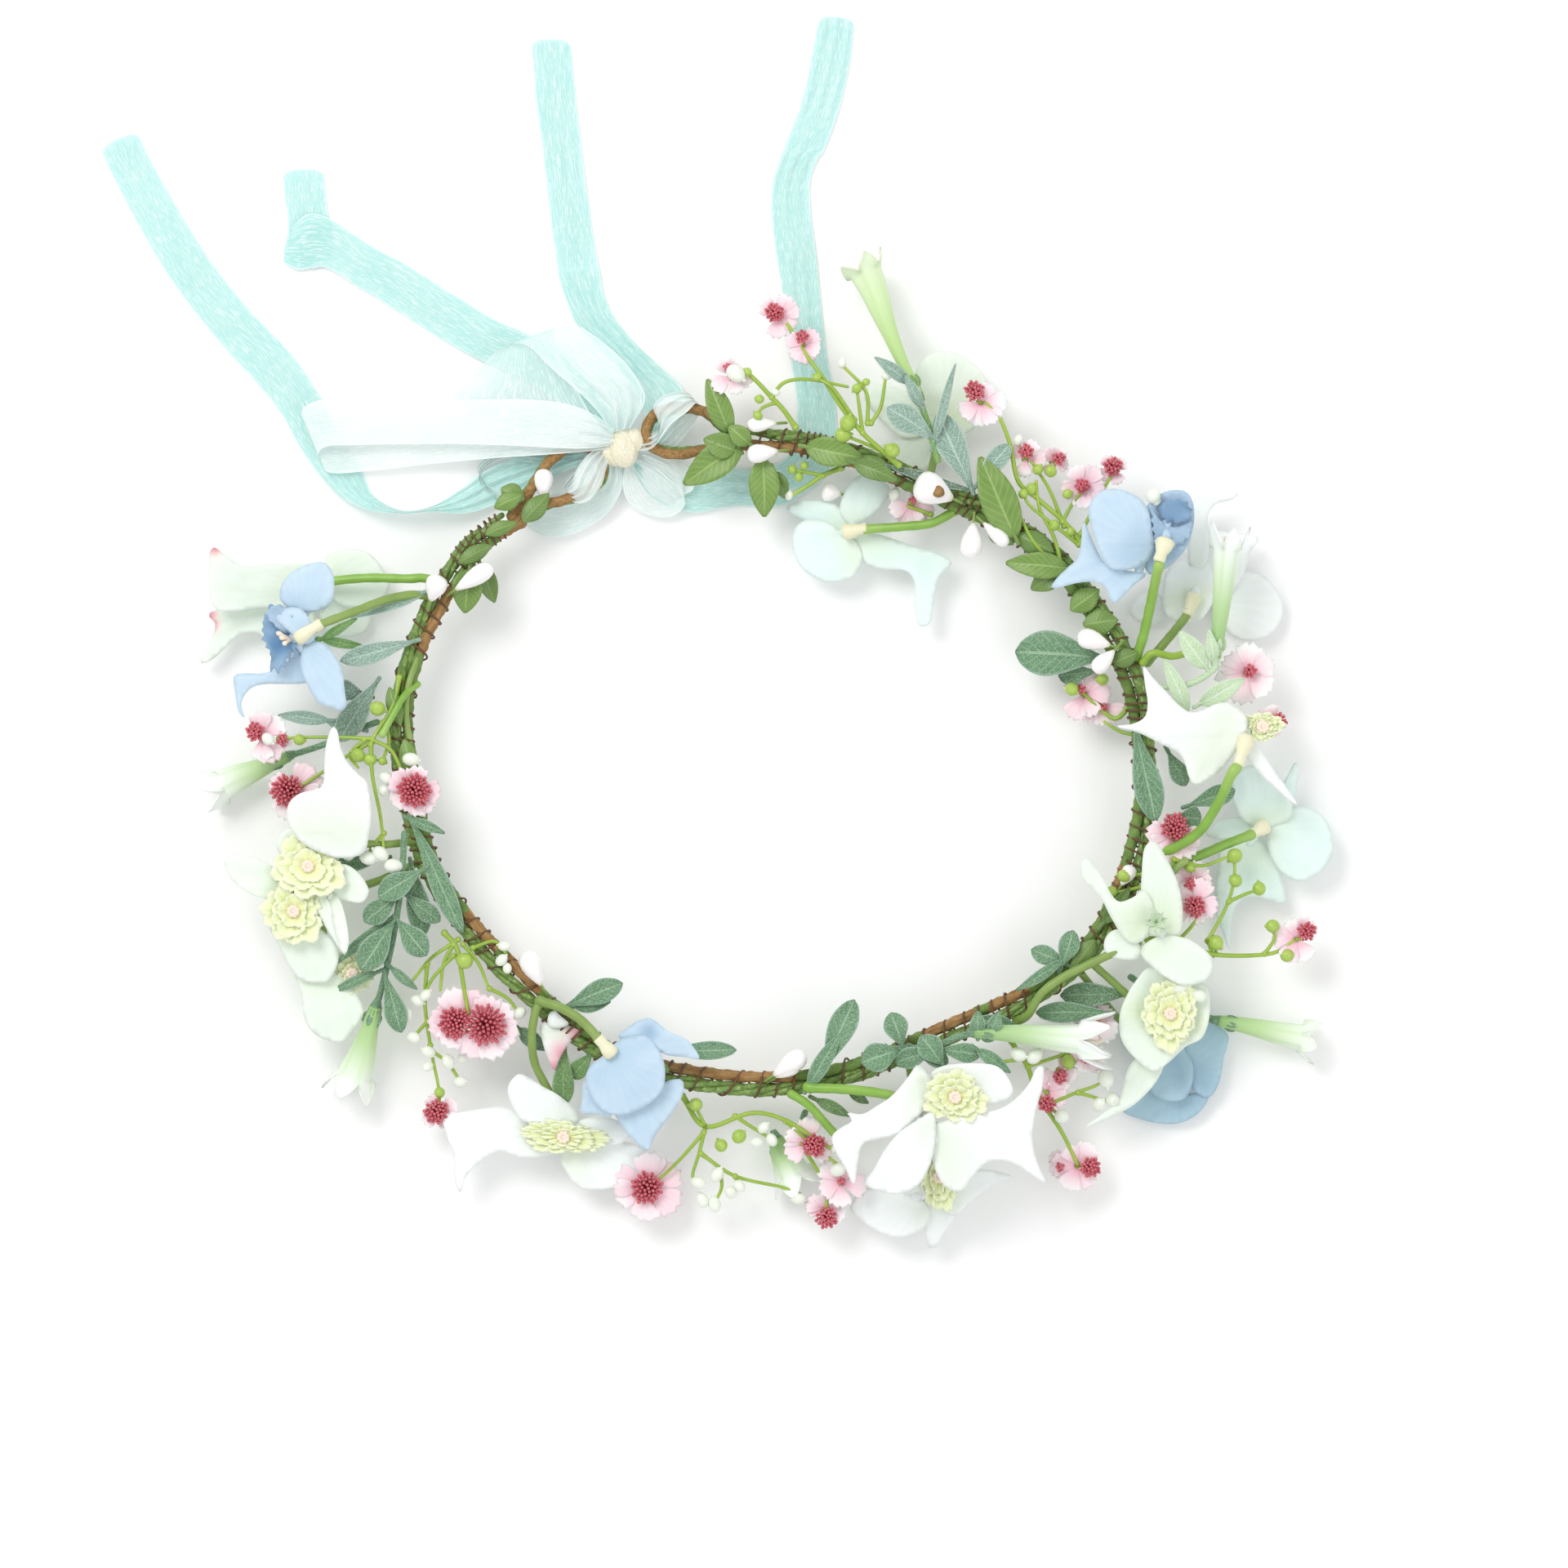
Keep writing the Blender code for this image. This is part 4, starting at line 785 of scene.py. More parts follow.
def edges(route, z=0.25, px=50.0, swap=False):
    """Rows for a strip about a centre line of (u, v, z, width in layout steps or None)."""
    line = np.array([(p[0], p[1]) for p in route], float)
    t = np.gradient(line, axis=0)
    t /= np.maximum(np.linalg.norm(t, axis=1, keepdims=True), 1e-9)
    rows = []
    for i, p in enumerate(route):
        zz = p[2] if len(p) > 2 else z
        hw = (p[3] if len(p) > 3 else px) / 2
        nx, ny = -t[i][1], t[i][0]
        lean = p[4] if len(p) > 4 else 0.0
        rows.append(((p[0] + nx * hw, p[1] + ny * hw, zz + lean), (p[0] - nx * hw, p[1] - ny * hw, zz - lean)))
    return rows


# outer left tail: lies flat, turns on edge under the hoop's end and runs to the knot
rows = edges([(140, 166, 0.25, 50), (155, 198, 0.25, 50), (177, 240, 0.3, 52), (207, 292, 0.3, 53), (243, 346, 0.25, 53), (285, 398, 0.25, 54), (330, 446, 0.3, 56),
              (364, 492, 0.3, 52), (390, 540, 0.35, 50), (424, 588, 0.6, 42, 0.3), (450, 614, 2.6, 20, 2.2), (490, 626, 3.4, 5, 3.1), (528, 622, 3.2, 8, 2.8), (566, 613, 2.2, 30, 1.2),
              (610, 590, 1.6, 44, 0.4), (660, 570, 2.4, 36, 0.6), (705, 556, 4.0, 26, 0.8), (742, 552, 6.6, 16, 0.8)])
strip("tail_outer_left", rows, TAIL, 0.170, replaces=("ribbon_tail_outer_left",), seed=1, round_end=True)

# left tail: from the knot to its fold, then folded over and up to its end
rows = [((343, 204, 0.25), (393, 203, 0.25)), ((345, 235, 0.25), (395, 232, 0.25)), ((349, 262, 0.3), (399, 262, 0.3)), ((349, 284, 0.35), (404, 290, 0.4)), ((344, 304, 0.4), (396, 318, 0.5)), ((345, 318, 0.7), (382, 326, 0.8))]
strip("tail_left_end", rows, TAIL, 0.027, replaces=("ribbon_tail_left",), seed=2, ripple=0.05, round_end=True)
rows = [((344, 318, 0.95), (352, 276, 0.95)), ((362, 327, 1.2), (376, 258, 1.2)), ((394, 324, 1.1), (408, 268, 1.0)), ((432, 346, 0.7), (446, 294, 0.6)), ((478, 374, 0.4), (494, 320, 0.4)), ((528, 406, 0.4), (548, 354, 0.4)),
        ((578, 434, 0.6), (600, 386, 0.6)), ((628, 456, 1.4), (650, 410, 1.4)), ((680, 486, 3.4), (700, 444, 3.4)), ((724, 514, 6.0), (738, 490, 6.0)), ((746, 538, 7.6), (756, 522, 7.6))]
strip("tail_left", rows, TAIL, 0.098, seed=3)

# middle tail
rows = [((648, 44, 0.25), (696, 43, 0.25)), ((654, 110, 0.25), (703, 108, 0.25)), ((664, 190, 0.3), (712, 188, 0.3)), ((673, 268, 0.3), (722, 264, 0.3)), ((680, 318, 0.5), (730, 314, 0.5)), ((682, 334, 0.9), (733, 330, 0.9)),
        ((692, 364, 0.4), (738, 356, 0.4)), ((708, 400, 0.35), (750, 384, 0.35)), ((742, 432, 0.5), (780, 420, 0.5)), ((768, 462, 1.2), (812, 450, 1.0)), ((786, 496, 3.0), (838, 482, 2.6)), ((790, 524, 6.0), (826, 528, 5.4)), ((778, 540, 8.0), (792, 556, 8.0))]
strip("tail_middle", rows, TAIL, 0.119, replaces=("ribbon_tail_middle",), seed=4, round_end=True)

# right tail: runs down under the sprays and the hoop's right end, and back to the knot
rows = [((1003, 14, 0.25), (1047, 18, 0.25)), ((995, 60, 0.25), (1042, 66, 0.25)), ((982, 118, 0.3), (1030, 122, 0.3)), ((962, 172, 0.5), (1010, 178, 0.5)), ((956, 186, 0.9), (1001, 190, 0.9)), ((946, 222, 0.35), (992, 218, 0.35)),
        ((945, 262, 0.3), (993, 258, 0.3)), ((951, 312, 0.3), (999, 306, 0.3)), ((960, 366, 0.3), (1005, 362, 0.3)), ((968, 430, 0.3), (1012, 428, 0.3)), ((976, 496, 0.3), (1024, 502, 0.3)), ((970, 548, 0.3), (1018, 570, 0.3)),
        ((938, 572, 0.4), (960, 616, 0.4)), ((890, 572, 0.6), (902, 618, 0.6)), ((844, 578, 1.6), (846, 626, 1.6)), ((800, 576, 4.0), (800, 610, 3.6)), ((778, 560, 7.4), (776, 578, 7.0))]
strip("tail_right", rows, TAIL, 0.162, replaces=("ribbon_tail_right",), seed=5, round_end=True)

# left bow loop: out on top, turned over at its far end, and back below
rows = [((752, 524, 12.4), (750, 545, 12.0)), ((724, 506, 13.2), (722, 549, 12.9)), ((690, 494, 12.6), (690, 549, 12.3)), ((640, 489, 11.4), (640, 546, 11.2)), ((560, 489, 9.2), (560, 543, 9.0)), ((480, 490, 7.2), (480, 543, 7.2)), ((420, 489, 5.8), (424, 544, 6.0)),
        ((388, 489, 4.8), (400, 545, 5.4)), ((368, 500, 3.6), (388, 552, 4.4)), ((372, 516, 2.4), (390, 562, 3.0)), ((392, 526, 2.0), (402, 577, 2.2)), ((450, 524, 2.6), (450, 575, 2.8)), ((520, 518, 4.0), (522, 567, 4.2)),
        ((600, 508, 6.4), (602, 560, 6.6)), ((670, 514, 9.0), (672, 556, 9.0)), ((722, 526, 10.2), (724, 552, 10.2)), ((748, 534, 10.6), (750, 548, 10.6))]
strip("bow_left", rows, BOW, 0.170, replaces=("bow_loop_left",), seed=6, ripple=0.16, per=9)

# upper bow loop: up and left from the knot, turned over, and back behind
rows = [((772, 524, 12.4), (748, 530, 12.0)), ((790, 488, 13.0), (732, 504, 13.4)), ((772, 452, 13.2), (706, 478, 13.8)), ((744, 424, 12.0), (672, 448, 12.6)), ((714, 402, 10.0), (648, 424, 10.4)), ((692, 397, 8.6), (628, 420, 8.8)),
        ((676, 404, 7.2), (608, 428, 7.2)), ((684, 430, 6.2), (590, 446, 6.0)), ((700, 462, 6.2), (572, 466, 5.6)), ((716, 494, 7.4), (556, 488, 5.8)), ((734, 520, 8.6), (620, 510, 7.0)), ((752, 538, 9.2), (710, 532, 8.6))]
strip("bow_upper", rows, BOW_BACK, 0.078, replaces=("bow_loop_upper",), seed=7, ripple=0.22, per=9, width=0.0155)

# lower small loops left and right of the knot
rows = [((756, 560, 7.2), (740, 556, 7.6)), ((762, 592, 5.6), (724, 578, 6.2)), ((742, 628, 3.6), (704, 590, 4.6)), ((702, 652, 2.6), (676, 604, 3.6)), ((668, 656, 2.4), (640, 606, 3.2)), ((640, 640, 2.2), (606, 598, 2.6)), ((600, 606, 1.8), (584, 578, 2.0)), ((584, 584, 1.6), (590, 562, 1.8)), ((612, 560, 2.2), (620, 548, 2.4)), ((660, 566, 3.4), (664, 550, 3.6)), ((700, 560, 4.8), (702, 548, 5.0))]
strip("loop_lower_left", rows, BOW_BACK, 0.058, replaces=("ribbon_lower_loop",), seed=8, ripple=0.2)
rows = [((764, 566, 7.4), (780, 560, 7.8)), ((762, 592, 5.4), (806, 574, 6.4)), ((768, 612, 4.0), (826, 592, 5.2)), ((786, 626, 3.0), (842, 602, 4.2)), ((808, 632, 2.6), (850, 592, 4.4)), ((828, 628, 3.0), (846, 576, 5.4)), ((838, 612, 4.4), (828, 562, 7.0)), ((816, 586, 6.0), (800, 552, 8.0)), ((790, 566, 7.6), (784, 550, 8.6))]
strip("loop_lower_right", rows, BOW, 0.038, seed=9, ripple=0.2)

# the strand threaded through the right eye, and the one round the left eye
rows = [((780, 552, 9.6), (784, 536, 9.8)), ((800, 548, 12.6), (808, 524, 12.8)), ((822, 520, 13.2), (800, 500, 13.2)), ((842, 504, 13.0), (810, 486, 13.0)), ((852, 494, 12.0), (828, 480, 12.0)), ((858, 500, 9.0), (846, 484, 9.0)), ((848, 520, 7.6), (830, 506, 7.6)), ((826, 546, 7.2), (810, 530, 7.2)), ((800, 560, 7.2), (790, 548, 7.4))]
strip("strand_right_eye", rows, BOW, 0.042, seed=10, ripple=0.15)
rows = [((748, 556, 9.6), (738, 544, 9.8)), ((742, 574, 9.8), (720, 556, 10.2)), ((736, 594, 10.2), (706, 574, 10.8)), ((722, 612, 10.8), (700, 592, 11.4)), ((706, 616, 9.6), (692, 598, 10.0)), ((694, 606, 6.4), (690, 588, 6.4)), ((704, 588, 5.2), (704, 572, 5.2)), ((724, 566, 6.2), (722, 552, 6.4)), ((744, 556, 7.6), (742, 546, 7.8))]
strip("strand_left_eye", rows, BOW, 0.038, seed=11, ripple=0.15)

# knot: a pleated band pulled tight round the crossing, with a smaller turn over it
b = Build()
for k, (cu, cv, rx, ry, rz, tilt) in enumerate(((763, 549, 3.9, 5.0, 3.3, 0.15), (775, 540, 3.0, 3.6, 2.6, -0.5), (750, 556, 2.6, 3.4, 2.4, 0.7))):
    c = G(cu, cv, 9.9 - 0.4 * k)
    n1, n2 = 36, 28
    P = np.zeros((n1, n2, 3))
    for i in range(n1):
        a = math.pi * (0.03 + 0.94 * i / (n1 - 1))
        for j in range(n2):
            th = 2 * math.pi * j / n2
            pleat = 1 + 0.055 * math.sin(7 * th + 3 * math.sin(a) + k) + 0.03 * math.sin(13 * th - 4 * a)
            x, y, z = rx * math.cos(th) * math.sin(a) * pleat, ry * math.cos(a), rz * math.sin(th) * math.sin(a) * pleat
            P[i, j] = c + np.array((x * math.cos(tilt) - y * math.sin(tilt), x * math.sin(tilt) + y * math.cos(tilt), z))
    b.grid(P, closed=True, caps=True, fq=(0, 0.3 * k, 0))
b.make("bow_knot", KNOT, slot="organza", replaces=("ribbon_knot",))


# ---------------------------------------------------------------- flower parts
def corona(b, dots, centre, z, ru, rv, seed=0, tilt=(0.0, 0.0), lobes=11, high=2.4, turn=0.0):
    """A ruffled, notched cup of two layers round a small cream centre. ru and rv are its half sizes in layout steps."""
    g = rand(seed + 300)
    for layer, (k, h, n) in enumerate(((1.06, 0.0, lobes), (0.80, 0.55, lobes - 2), (0.52, 1.1, lobes - 4))):
        rows, cols = 9, n * 8
        ph = g.uniform(0, 6.28, 3)
        P = np.zeros((rows, cols, 3))
        F = np.zeros((rows, cols, 3))
        Q = np.zeros((rows, cols, 3))
        for j in range(cols):
            th = 2 * math.pi * j / cols
            notch = 0.05 * math.sin(2 * th + 3 * layer + ph[1]) + 0.05 * math.sin(5 * th + ph[2]) + 0.84 + 0.16 * abs(math.cos(n * th / 2 + ph[0] + 0.5 * math.sin(2 * th))) ** 0.7 + 0.07 * math.sin(3 * th + ph[1]) + 0.03 * math.sin(3 * n * th)
            for i in range(rows):
                r = i / (rows - 1)
                rr = (0.1 + 0.9 * r) * (notch if r > 0.55 else 1 - (1 - notch) * (r / 0.55) ** 2 * 0.9) * k
                x, y = rr * ru * math.cos(th), rr * rv * math.sin(th)
                u = x * math.cos(turn) - y * math.sin(turn)
                v = x * math.sin(turn) + y * math.cos(turn)
                zz = z + h * 0.8 + high * (r**1.4) * 0.62 + 0.55 * r**2 * math.sin(n * th + ph[2]) + 0.3 * r**2 * math.sin(2.0 * n * th + ph[1]) + 0.12 * r * math.sin(5 * n * th)
                P[i, j] = G(centre[0] + u, centre[1] + v, zz + (tilt[0] * u + tilt[1] * v) * STEP)
                F[i, j] = (0, r, 1 - r)
                Q[i, j] = (0, g.uniform(), th)
        b.grid(P, closed=True, fp=F, fq=Q)
    base = G(centre[0], centre[1], z + 1.2)
    for k in range(9):
        a = 2 * math.pi * k / 8 + 0.3
        q = base + np.array((math.cos(a), math.sin(a), 0)) * (0.0 if k == 8 else 0.9)
        dots.lathe(q, q + np.array((math.cos(a) * 0.25, math.sin(a) * 0.25, 1.5)), ((0, 0.5), (0.5, 0.55), (0.85, 0.72), (1, 0.3)), 7, fq=(0, g.uniform(), 0))


def calyx(b, base, tip, r0=1.2, r1=2.0):
    """The cream cup and tube behind a flower, from its stem end to its petals."""
    base, tip = G(*base), G(*tip)
    b.lathe(base, tip, ((0.0, r0 * 0.8), (0.06, r0), (0.35, r0 * 0.94), (0.62, r1 * 0.86), (0.9, r1), (1.0, r1 * 0.72)), 14, fq=(0, 0.4, 0))


def stem(name, route, r, material=None, body="crown", replaces=(), slot="flower_stem", gap=0.8):
    """A wired stem with a faint swelling at each end."""
    line = path(route, gap)
    s = np.linspace(0, 1, len(line))
    rad = 0.88 * r * (1 + 0.10 * np.exp(-((s / 0.06) ** 2)) + 0.14 * np.exp(-(((1 - s) / 0.07) ** 2)) + 0.03 * np.sin(s * 40))
    b = Build()
    b.tube(line, rad, 12, fq=(0, 0.5, 0))
    return b.make(name, material or STEM, body, slot=slot, replaces=replaces)


def near(points, radius, amount=1.0):
    """A tint that fades with distance from any of these layout points."""
    def f(u, v):
        best = np.zeros(len(u))
        for pu, pv in points:
            best = np.maximum(best, amount * np.exp(-(((u - pu) ** 2 + (v - pv) ** 2) / radius**2)))
        return best
    return f


def claws(b, petals, ends):
    """The narrow fleshy bases that join each petal to the one under it and to the calyx."""
    low, bars = np.array((0, 0, 0.5)), []
    for pts, core, z0, _ in petals:
        c = G(core[0], core[1], z0)
        poly = np.array([G(p[0], p[1], z0) for p in pts])
        if not within(np.array([c[:2]]), poly[:, :2])[0]:
            edge = poly[np.argmin(((poly - c) ** 2).sum(1))]
            bars.append((c, edge + (poly.mean(0) - edge) * 0.18))
        near_by = [e for e in ends if 0.3 < np.linalg.norm(e - c) < 9.5]
        if near_by:
            bars.append((c, min(near_by, key=lambda e: np.linalg.norm(e - c))))
        ends = ends + [c]
    for p, q in bars:
        b.lathe(p - low, q - low, ((0, 0.5), (0.15, 1.1), (0.85, 1.1), (1, 0.5)), 10, fq=(0, 0.3, 0))


def flower(name, petals, material, body="crown", coronas=(), calyxes=(), replaces=None, slot="white_petal", thick=0.28, stem_slot="flower_stem"):
    """All parts of one soft flower. petals holds (points, core, z0, options)."""
    b = Build()
    for k, (pts, core, z0, opt) in enumerate(petals):
        petal(b, pts, core, z0, seed=hash_name(name) + 7 * k, **opt)
    claws(b, petals, [G(*c[1]) for c in calyxes])
    b.make(name + "_petals", material, body, slot=slot, replaces=(name,) if replaces is None else replaces, solid=thick)
    if coronas:
        ring, dots = Build(), Build()
        for k, c in enumerate(coronas):
            corona(ring, dots, *c[:4], seed=hash_name(name) + k, **(c[4] if len(c) > 4 else {}))
        ring.make(name + "_corona", CORONA, body, slot=slot, solid=0.3)
        dots.make(name + "_centre", DOT, body, slot=slot)
    if calyxes:
        cup = Build()
        for base, tip, r0, r1 in calyxes:
            calyx(cup, base, tip, r0, r1)
        cup.make(name + "_calyx", CREAM, body, slot=stem_slot)


def hash_name(name):
    return sum(ord(c) * (i + 1) for i, c in enumerate(name)) % 997


# ---------------------------------------------------------------- white and blue flowers, left side
flower("white_flower_left", [
    (((262, 670), (272, 677), (282, 684), (300, 693), (340, 690), (385, 691), (402, 700), (400, 730), (372, 742), (320, 745), (268, 748), (257, 722), (256, 682)), (378, 722), 9, dict(rise=3.5, cup=1.6, curl=0.6, ruffle=0.3, tint_at=near([(262, 671)], 9))),
    (((255, 750), (262, 764), (257, 780), (243, 808), (248, 812), (260, 806), (272, 795), (285, 782), (302, 774), (320, 778), (345, 805), (372, 792), (385, 760), (370, 745), (300, 740)), (375, 740), 6.5, dict(rise=-0.5, cup=1.0, curl=0.4, ruffle=0.3, tint_at=near([(256, 752), (258, 764)], 8))),
    (((398, 684), (412, 674), (428, 671), (442, 673), (456, 681), (468, 697), (476, 714), (470, 730), (450, 741), (420, 742), (400, 722)), (384, 722), 8, dict(rise=-1.2, dome=1.4, curl=1.0, ruffle=0.3)),
    (((405, 724), (425, 722), (438, 732), (452, 750), (446, 772), (420, 780), (396, 768), (388, 748)), (380, 730), 5.5, dict(rise=-2.0, dome=1.0, curl=0.6)),
], WHITE_GREEN, "white_flower_left_body", calyxes=[((393, 716, 11.2), (366, 728, 10.0), 1.4, 2.0)])
stem("white_flower_left_stem_wire", ((536, 712, 14.6), (517, 708, 14.8), (500, 709, 14.8), (450, 708, 14), (405, 712, 12.5), (388, 718, 11)), 1.35, body="white_flower_left_body", replaces=("white_flower_left_stem",))

flower("blue_flower_left", [
    (((375, 695), (388, 691), (401, 691), (411, 702), (413, 718), (411, 736), (400, 747), (380, 751), (362, 748), (349, 739), (346, 727), (352, 712), (362, 702)), (372, 760), 24.6, dict(rise=3.4, cup=-1.2, dome=1.4, curl=0.8)),
    (((374, 795), (384, 786), (402, 790), (413, 804), (422, 820), (425, 842), (427, 866), (418, 871), (408, 866), (394, 862), (380, 840), (372, 818)), (364, 782), 24.2, dict(rise=1.2, dome=1.6, curl=1.0, ruffle=0.35)),
    (((289, 829), (302, 825), (325, 825), (345, 818), (360, 806), (374, 800), (380, 816), (382, 834), (365, 838), (330, 838), (312, 842), (302, 852), (298, 864), (302, 880), (294, 870), (291, 850)), (366, 790), 22.4, dict(rise=-1.6, dome=0.7, curl=0.5)),
    (((337, 744), (352, 748), (362, 762), (366, 790), (359, 806), (346, 822), (335, 820), (336, 802), (326, 782), (327, 758)), (362, 780), 24.8, dict(rise=3.0, ruffle=1.3, crease=0.35, cup=1.2, tint=0.62, tint_at=near([(345, 790)], 14, 0.4))),
    (((330, 752), (346, 742), (358, 750), (364, 770), (352, 776), (340, 766)), (362, 776), 26.6, dict(rise=2.0, ruffle=0.9, crease=0.3, tint=0.35)),
    (((342, 758), (355, 746), (374, 748), (386, 766), (390, 782), (376, 790), (360, 776)), (380, 778), 26.6, dict(rise=1.0, dome=0.9)),
], BLUE, "blue_flower_left_body", slot="blue_petal", calyxes=[((398, 764, 27.6), (366, 784, 26.4), 1.5, 2.2)])
b = Build()
for k, (u, v) in enumerate(((348, 782), (344, 776), (352, 790))):
    b.lathe(G(360, 784, 26.5), G(u, v, 29.6), ((0, 0.5), (0.6, 0.42), (0.85, 0.72), (1, 0.4)), 8, fq=(0, 0.3 * k, 0))
b.make("blue_flower_left_pistil", DOT, "blue_flower_left_body", slot="flower_stem")
stem("blue_flower_left_stem_wire", ((528, 730, 15.4), (506, 729, 18.2), (475, 735, 20.5), (437, 750, 24), (399, 765, 27), (388, 771, 27.2)), 1.3, STEM_OLIVE, "blue_flower_left_body", replaces=("blue_flower_left_stem",))

flower("white_flower_spire", [
    (((413, 890), (418, 898), (421, 915), (429, 933), (442, 948), (452, 957), (456, 975), (458, 1000), (455, 1020), (451, 1040), (440, 1048), (420, 1050), (400, 1045), (380, 1036), (365, 1023), (356, 1005), (357, 985), (370, 972), (390, 967), (400, 960), (401, 940), (403, 915), (408, 897)), (408, 1018), 26.0, dict(rise=2.6, dome=1.8, curl=1.3, fold=0.5, crease=0.16)),
], WHITE)

flower("white_flower_double", [
    (((327, 1108), (331, 1135), (345, 1160), (356, 1184), (372, 1200), (400, 1202), (412, 1187), (416, 1170), (408, 1150), (385, 1130), (352, 1112)), (372, 1108), 19.4, dict(rise=-1.8, dome=1.6, curl=0.9)),
    (((362, 1190), (369, 1215), (372, 1240), (380, 1260), (396, 1272), (418, 1276), (431, 1263), (446, 1240), (434, 1212), (414, 1192), (388, 1186)), (400, 1180), 15.5, dict(rise=-2.8, dome=1.5, curl=0.8)),
    (((278, 1055), (285, 1047), (300, 1046), (320, 1052), (338, 1062), (353, 1077), (354, 1098), (336, 1101), (312, 1095), (292, 1082), (282, 1068)), (358, 1090), 20.2, dict(rise=2.6, dome=-0.6, cup=0.8, curl=0.4)),
    (((411, 1060), (426, 1058), (440, 1067), (450, 1080), (454, 1092), (446, 1104), (430, 1103), (408, 1096), (396, 1078)), (390, 1082), 20.6, dict(rise=2.2, cup=1.0, curl=0.4)),
    (((383, 1083), (395, 1089), (405, 1104), (414, 1126), (421, 1150), (425, 1169), (406, 1142), (394, 1120), (386, 1100)), (386, 1092), 21.2, dict(rise=1.8, fold=0.6, cup=0.8)),
    (((407, 1090), (419, 1102), (427, 1128), (430, 1154), (424, 1168), (414, 1144), (408, 1115)), (404, 1096), 21.8, dict(rise=2.2, fold=0.5, cup=0.7)),
    (((345, 1020), (365, 1012), (395, 1014), (415, 1024), (420, 1048), (398, 1060), (360, 1056), (342, 1040)), (380, 1064), 19.8, dict(rise=1.2, dome=0.8)),
], WHITE_GREEN, coronas=[((380, 1060), 22.0, 42, 40, dict(tilt=(0.05, 0.15))), ((362, 1115), 21.4, 37, 39, dict(tilt=(-0.1, 0.05))), ((432, 1192), 13.5, 24, 28, dict(high=1.6))])

# ---------------------------------------------------------------- upper right group
flower("white_flower_top_right", [
    (((1455, 662), (1457, 625), (1469, 608), (1495, 604), (1517, 603), (1508, 612), (1488, 618), (1479, 635), (1483, 665), (1476, 692), (1460, 700)), (1466, 716), 6.0, dict(rise=4.5, dome=0.9, curl=0.6)),
    (((1470, 690), (1478, 652), (1505, 651), (1542, 657), (1533, 675), (1526, 698), (1516, 716), (1497, 741), (1480, 736)), (1470, 724), 5.6, dict(rise=1.5, dome=1.2, curl=0.5)),
    (((1492, 708), (1520, 699), (1546, 703), (1563, 718), (1573, 738), (1571, 760), (1555, 778), (1530, 784), (1508, 776), (1492, 754), (1486, 730)), (1474, 734), 4.2, dict(rise=0.5, dome=1.4, curl=0.8)),
    (((1425, 722), (1430, 700), (1450, 681), (1472, 680), (1488, 700), (1488, 732), (1470, 760), (1445, 764), (1427, 748)), (1466, 728), 7.0, dict(rise=-1.0, dome=1.1, curl=0.8)),
    (((1385, 746), (1402, 725), (1422, 728), (1432, 748), (1418, 764), (1396, 760)), (1446, 742), 3.6, dict(rise=-1.0, dome=0.6)),
], WHITE, "white_flower_top_right_body", calyxes=[((1454, 754, 11.4), (1464, 728, 9.0), 1.5, 2.2)])
stem("white_flower_top_right_stem_wire", ((1404, 812, 14), (1425, 788, 13.5), (1447, 762, 11.6), (1456, 748, 11)), 1.3, STEM_OLIVE, "white_flower_top_right_body", replaces=("white_flower_top_right_stem",))

flower("blue_flower_right", [
    (((1400, 625), (1420, 606), (1445, 603), (1457, 616), (1459, 640), (1451, 670), (1435, 690), (1420, 700), (1402, 702), (1396, 660)), (1412, 668), 23.6, dict(rise=2.0, cup=1.4, ruffle=0.6, tint=0.25)),
    (((1325, 640), (1338, 668), (1352, 692), (1378, 700), (1402, 704), (1386, 718), (1365, 739), (1357, 735), (1352, 721), (1338, 714), (1318, 715), (1287, 722), (1291, 711), (1305, 697), (1318, 684), (1322, 664)), (1402, 672), 23.8, dict(rise=-1.5, dome=1.0, curl=0.6)),
    (((1330, 627), (1338, 610), (1352, 602), (1370, 602), (1390, 611), (1402, 625), (1407, 648), (1410, 672), (1401, 690), (1380, 699), (1360, 699), (1348, 688), (1335, 652)), (1402, 670), 26.4, dict(rise=1.6, dome=2.0, curl=1.5, tip=(1340, 612))),
    (((1414, 626), (1424, 617), (1440, 614), (1453, 622), (1455, 636), (1440, 642), (1424, 640)), (1426, 650), 26.2, dict(rise=2.8, ruffle=1.2, crease=0.35, tint=0.75)),
    (((1407, 626), (1418, 640), (1438, 648), (1456, 640), (1450, 662), (1432, 672), (1412, 664)), (1416, 668), 26.4, dict(rise=1.8, ruffle=0.8, tint=0.42)),
], BLUE, "blue_flower_right_body", slot="blue_petal", calyxes=[((1415, 690, 29.2), (1425, 662, 28.0), 1.6, 2.6)])
b = Build()
b.ball(G(1409, 610, 27), 2.0, 12, 9, stretch=1.25, fq=(0, 0.2, 0))
b.ball(G(1413, 616, 26.4), 1.3, 10, 7, stretch=1.2, fq=(0, 0.5, 0))
b.make("blue_flower_right_bud", RICE, "blue_flower_right_body", slot="white_berry")
stem("blue_flower_right_stem_wire", ((1390, 806, 15.4), (1398, 782, 18.4), (1406, 745, 22), (1413, 706, 27.4), (1416, 694, 29)), 1.45, body="blue_flower_right_body", replaces=("blue_flower_right_stem",))

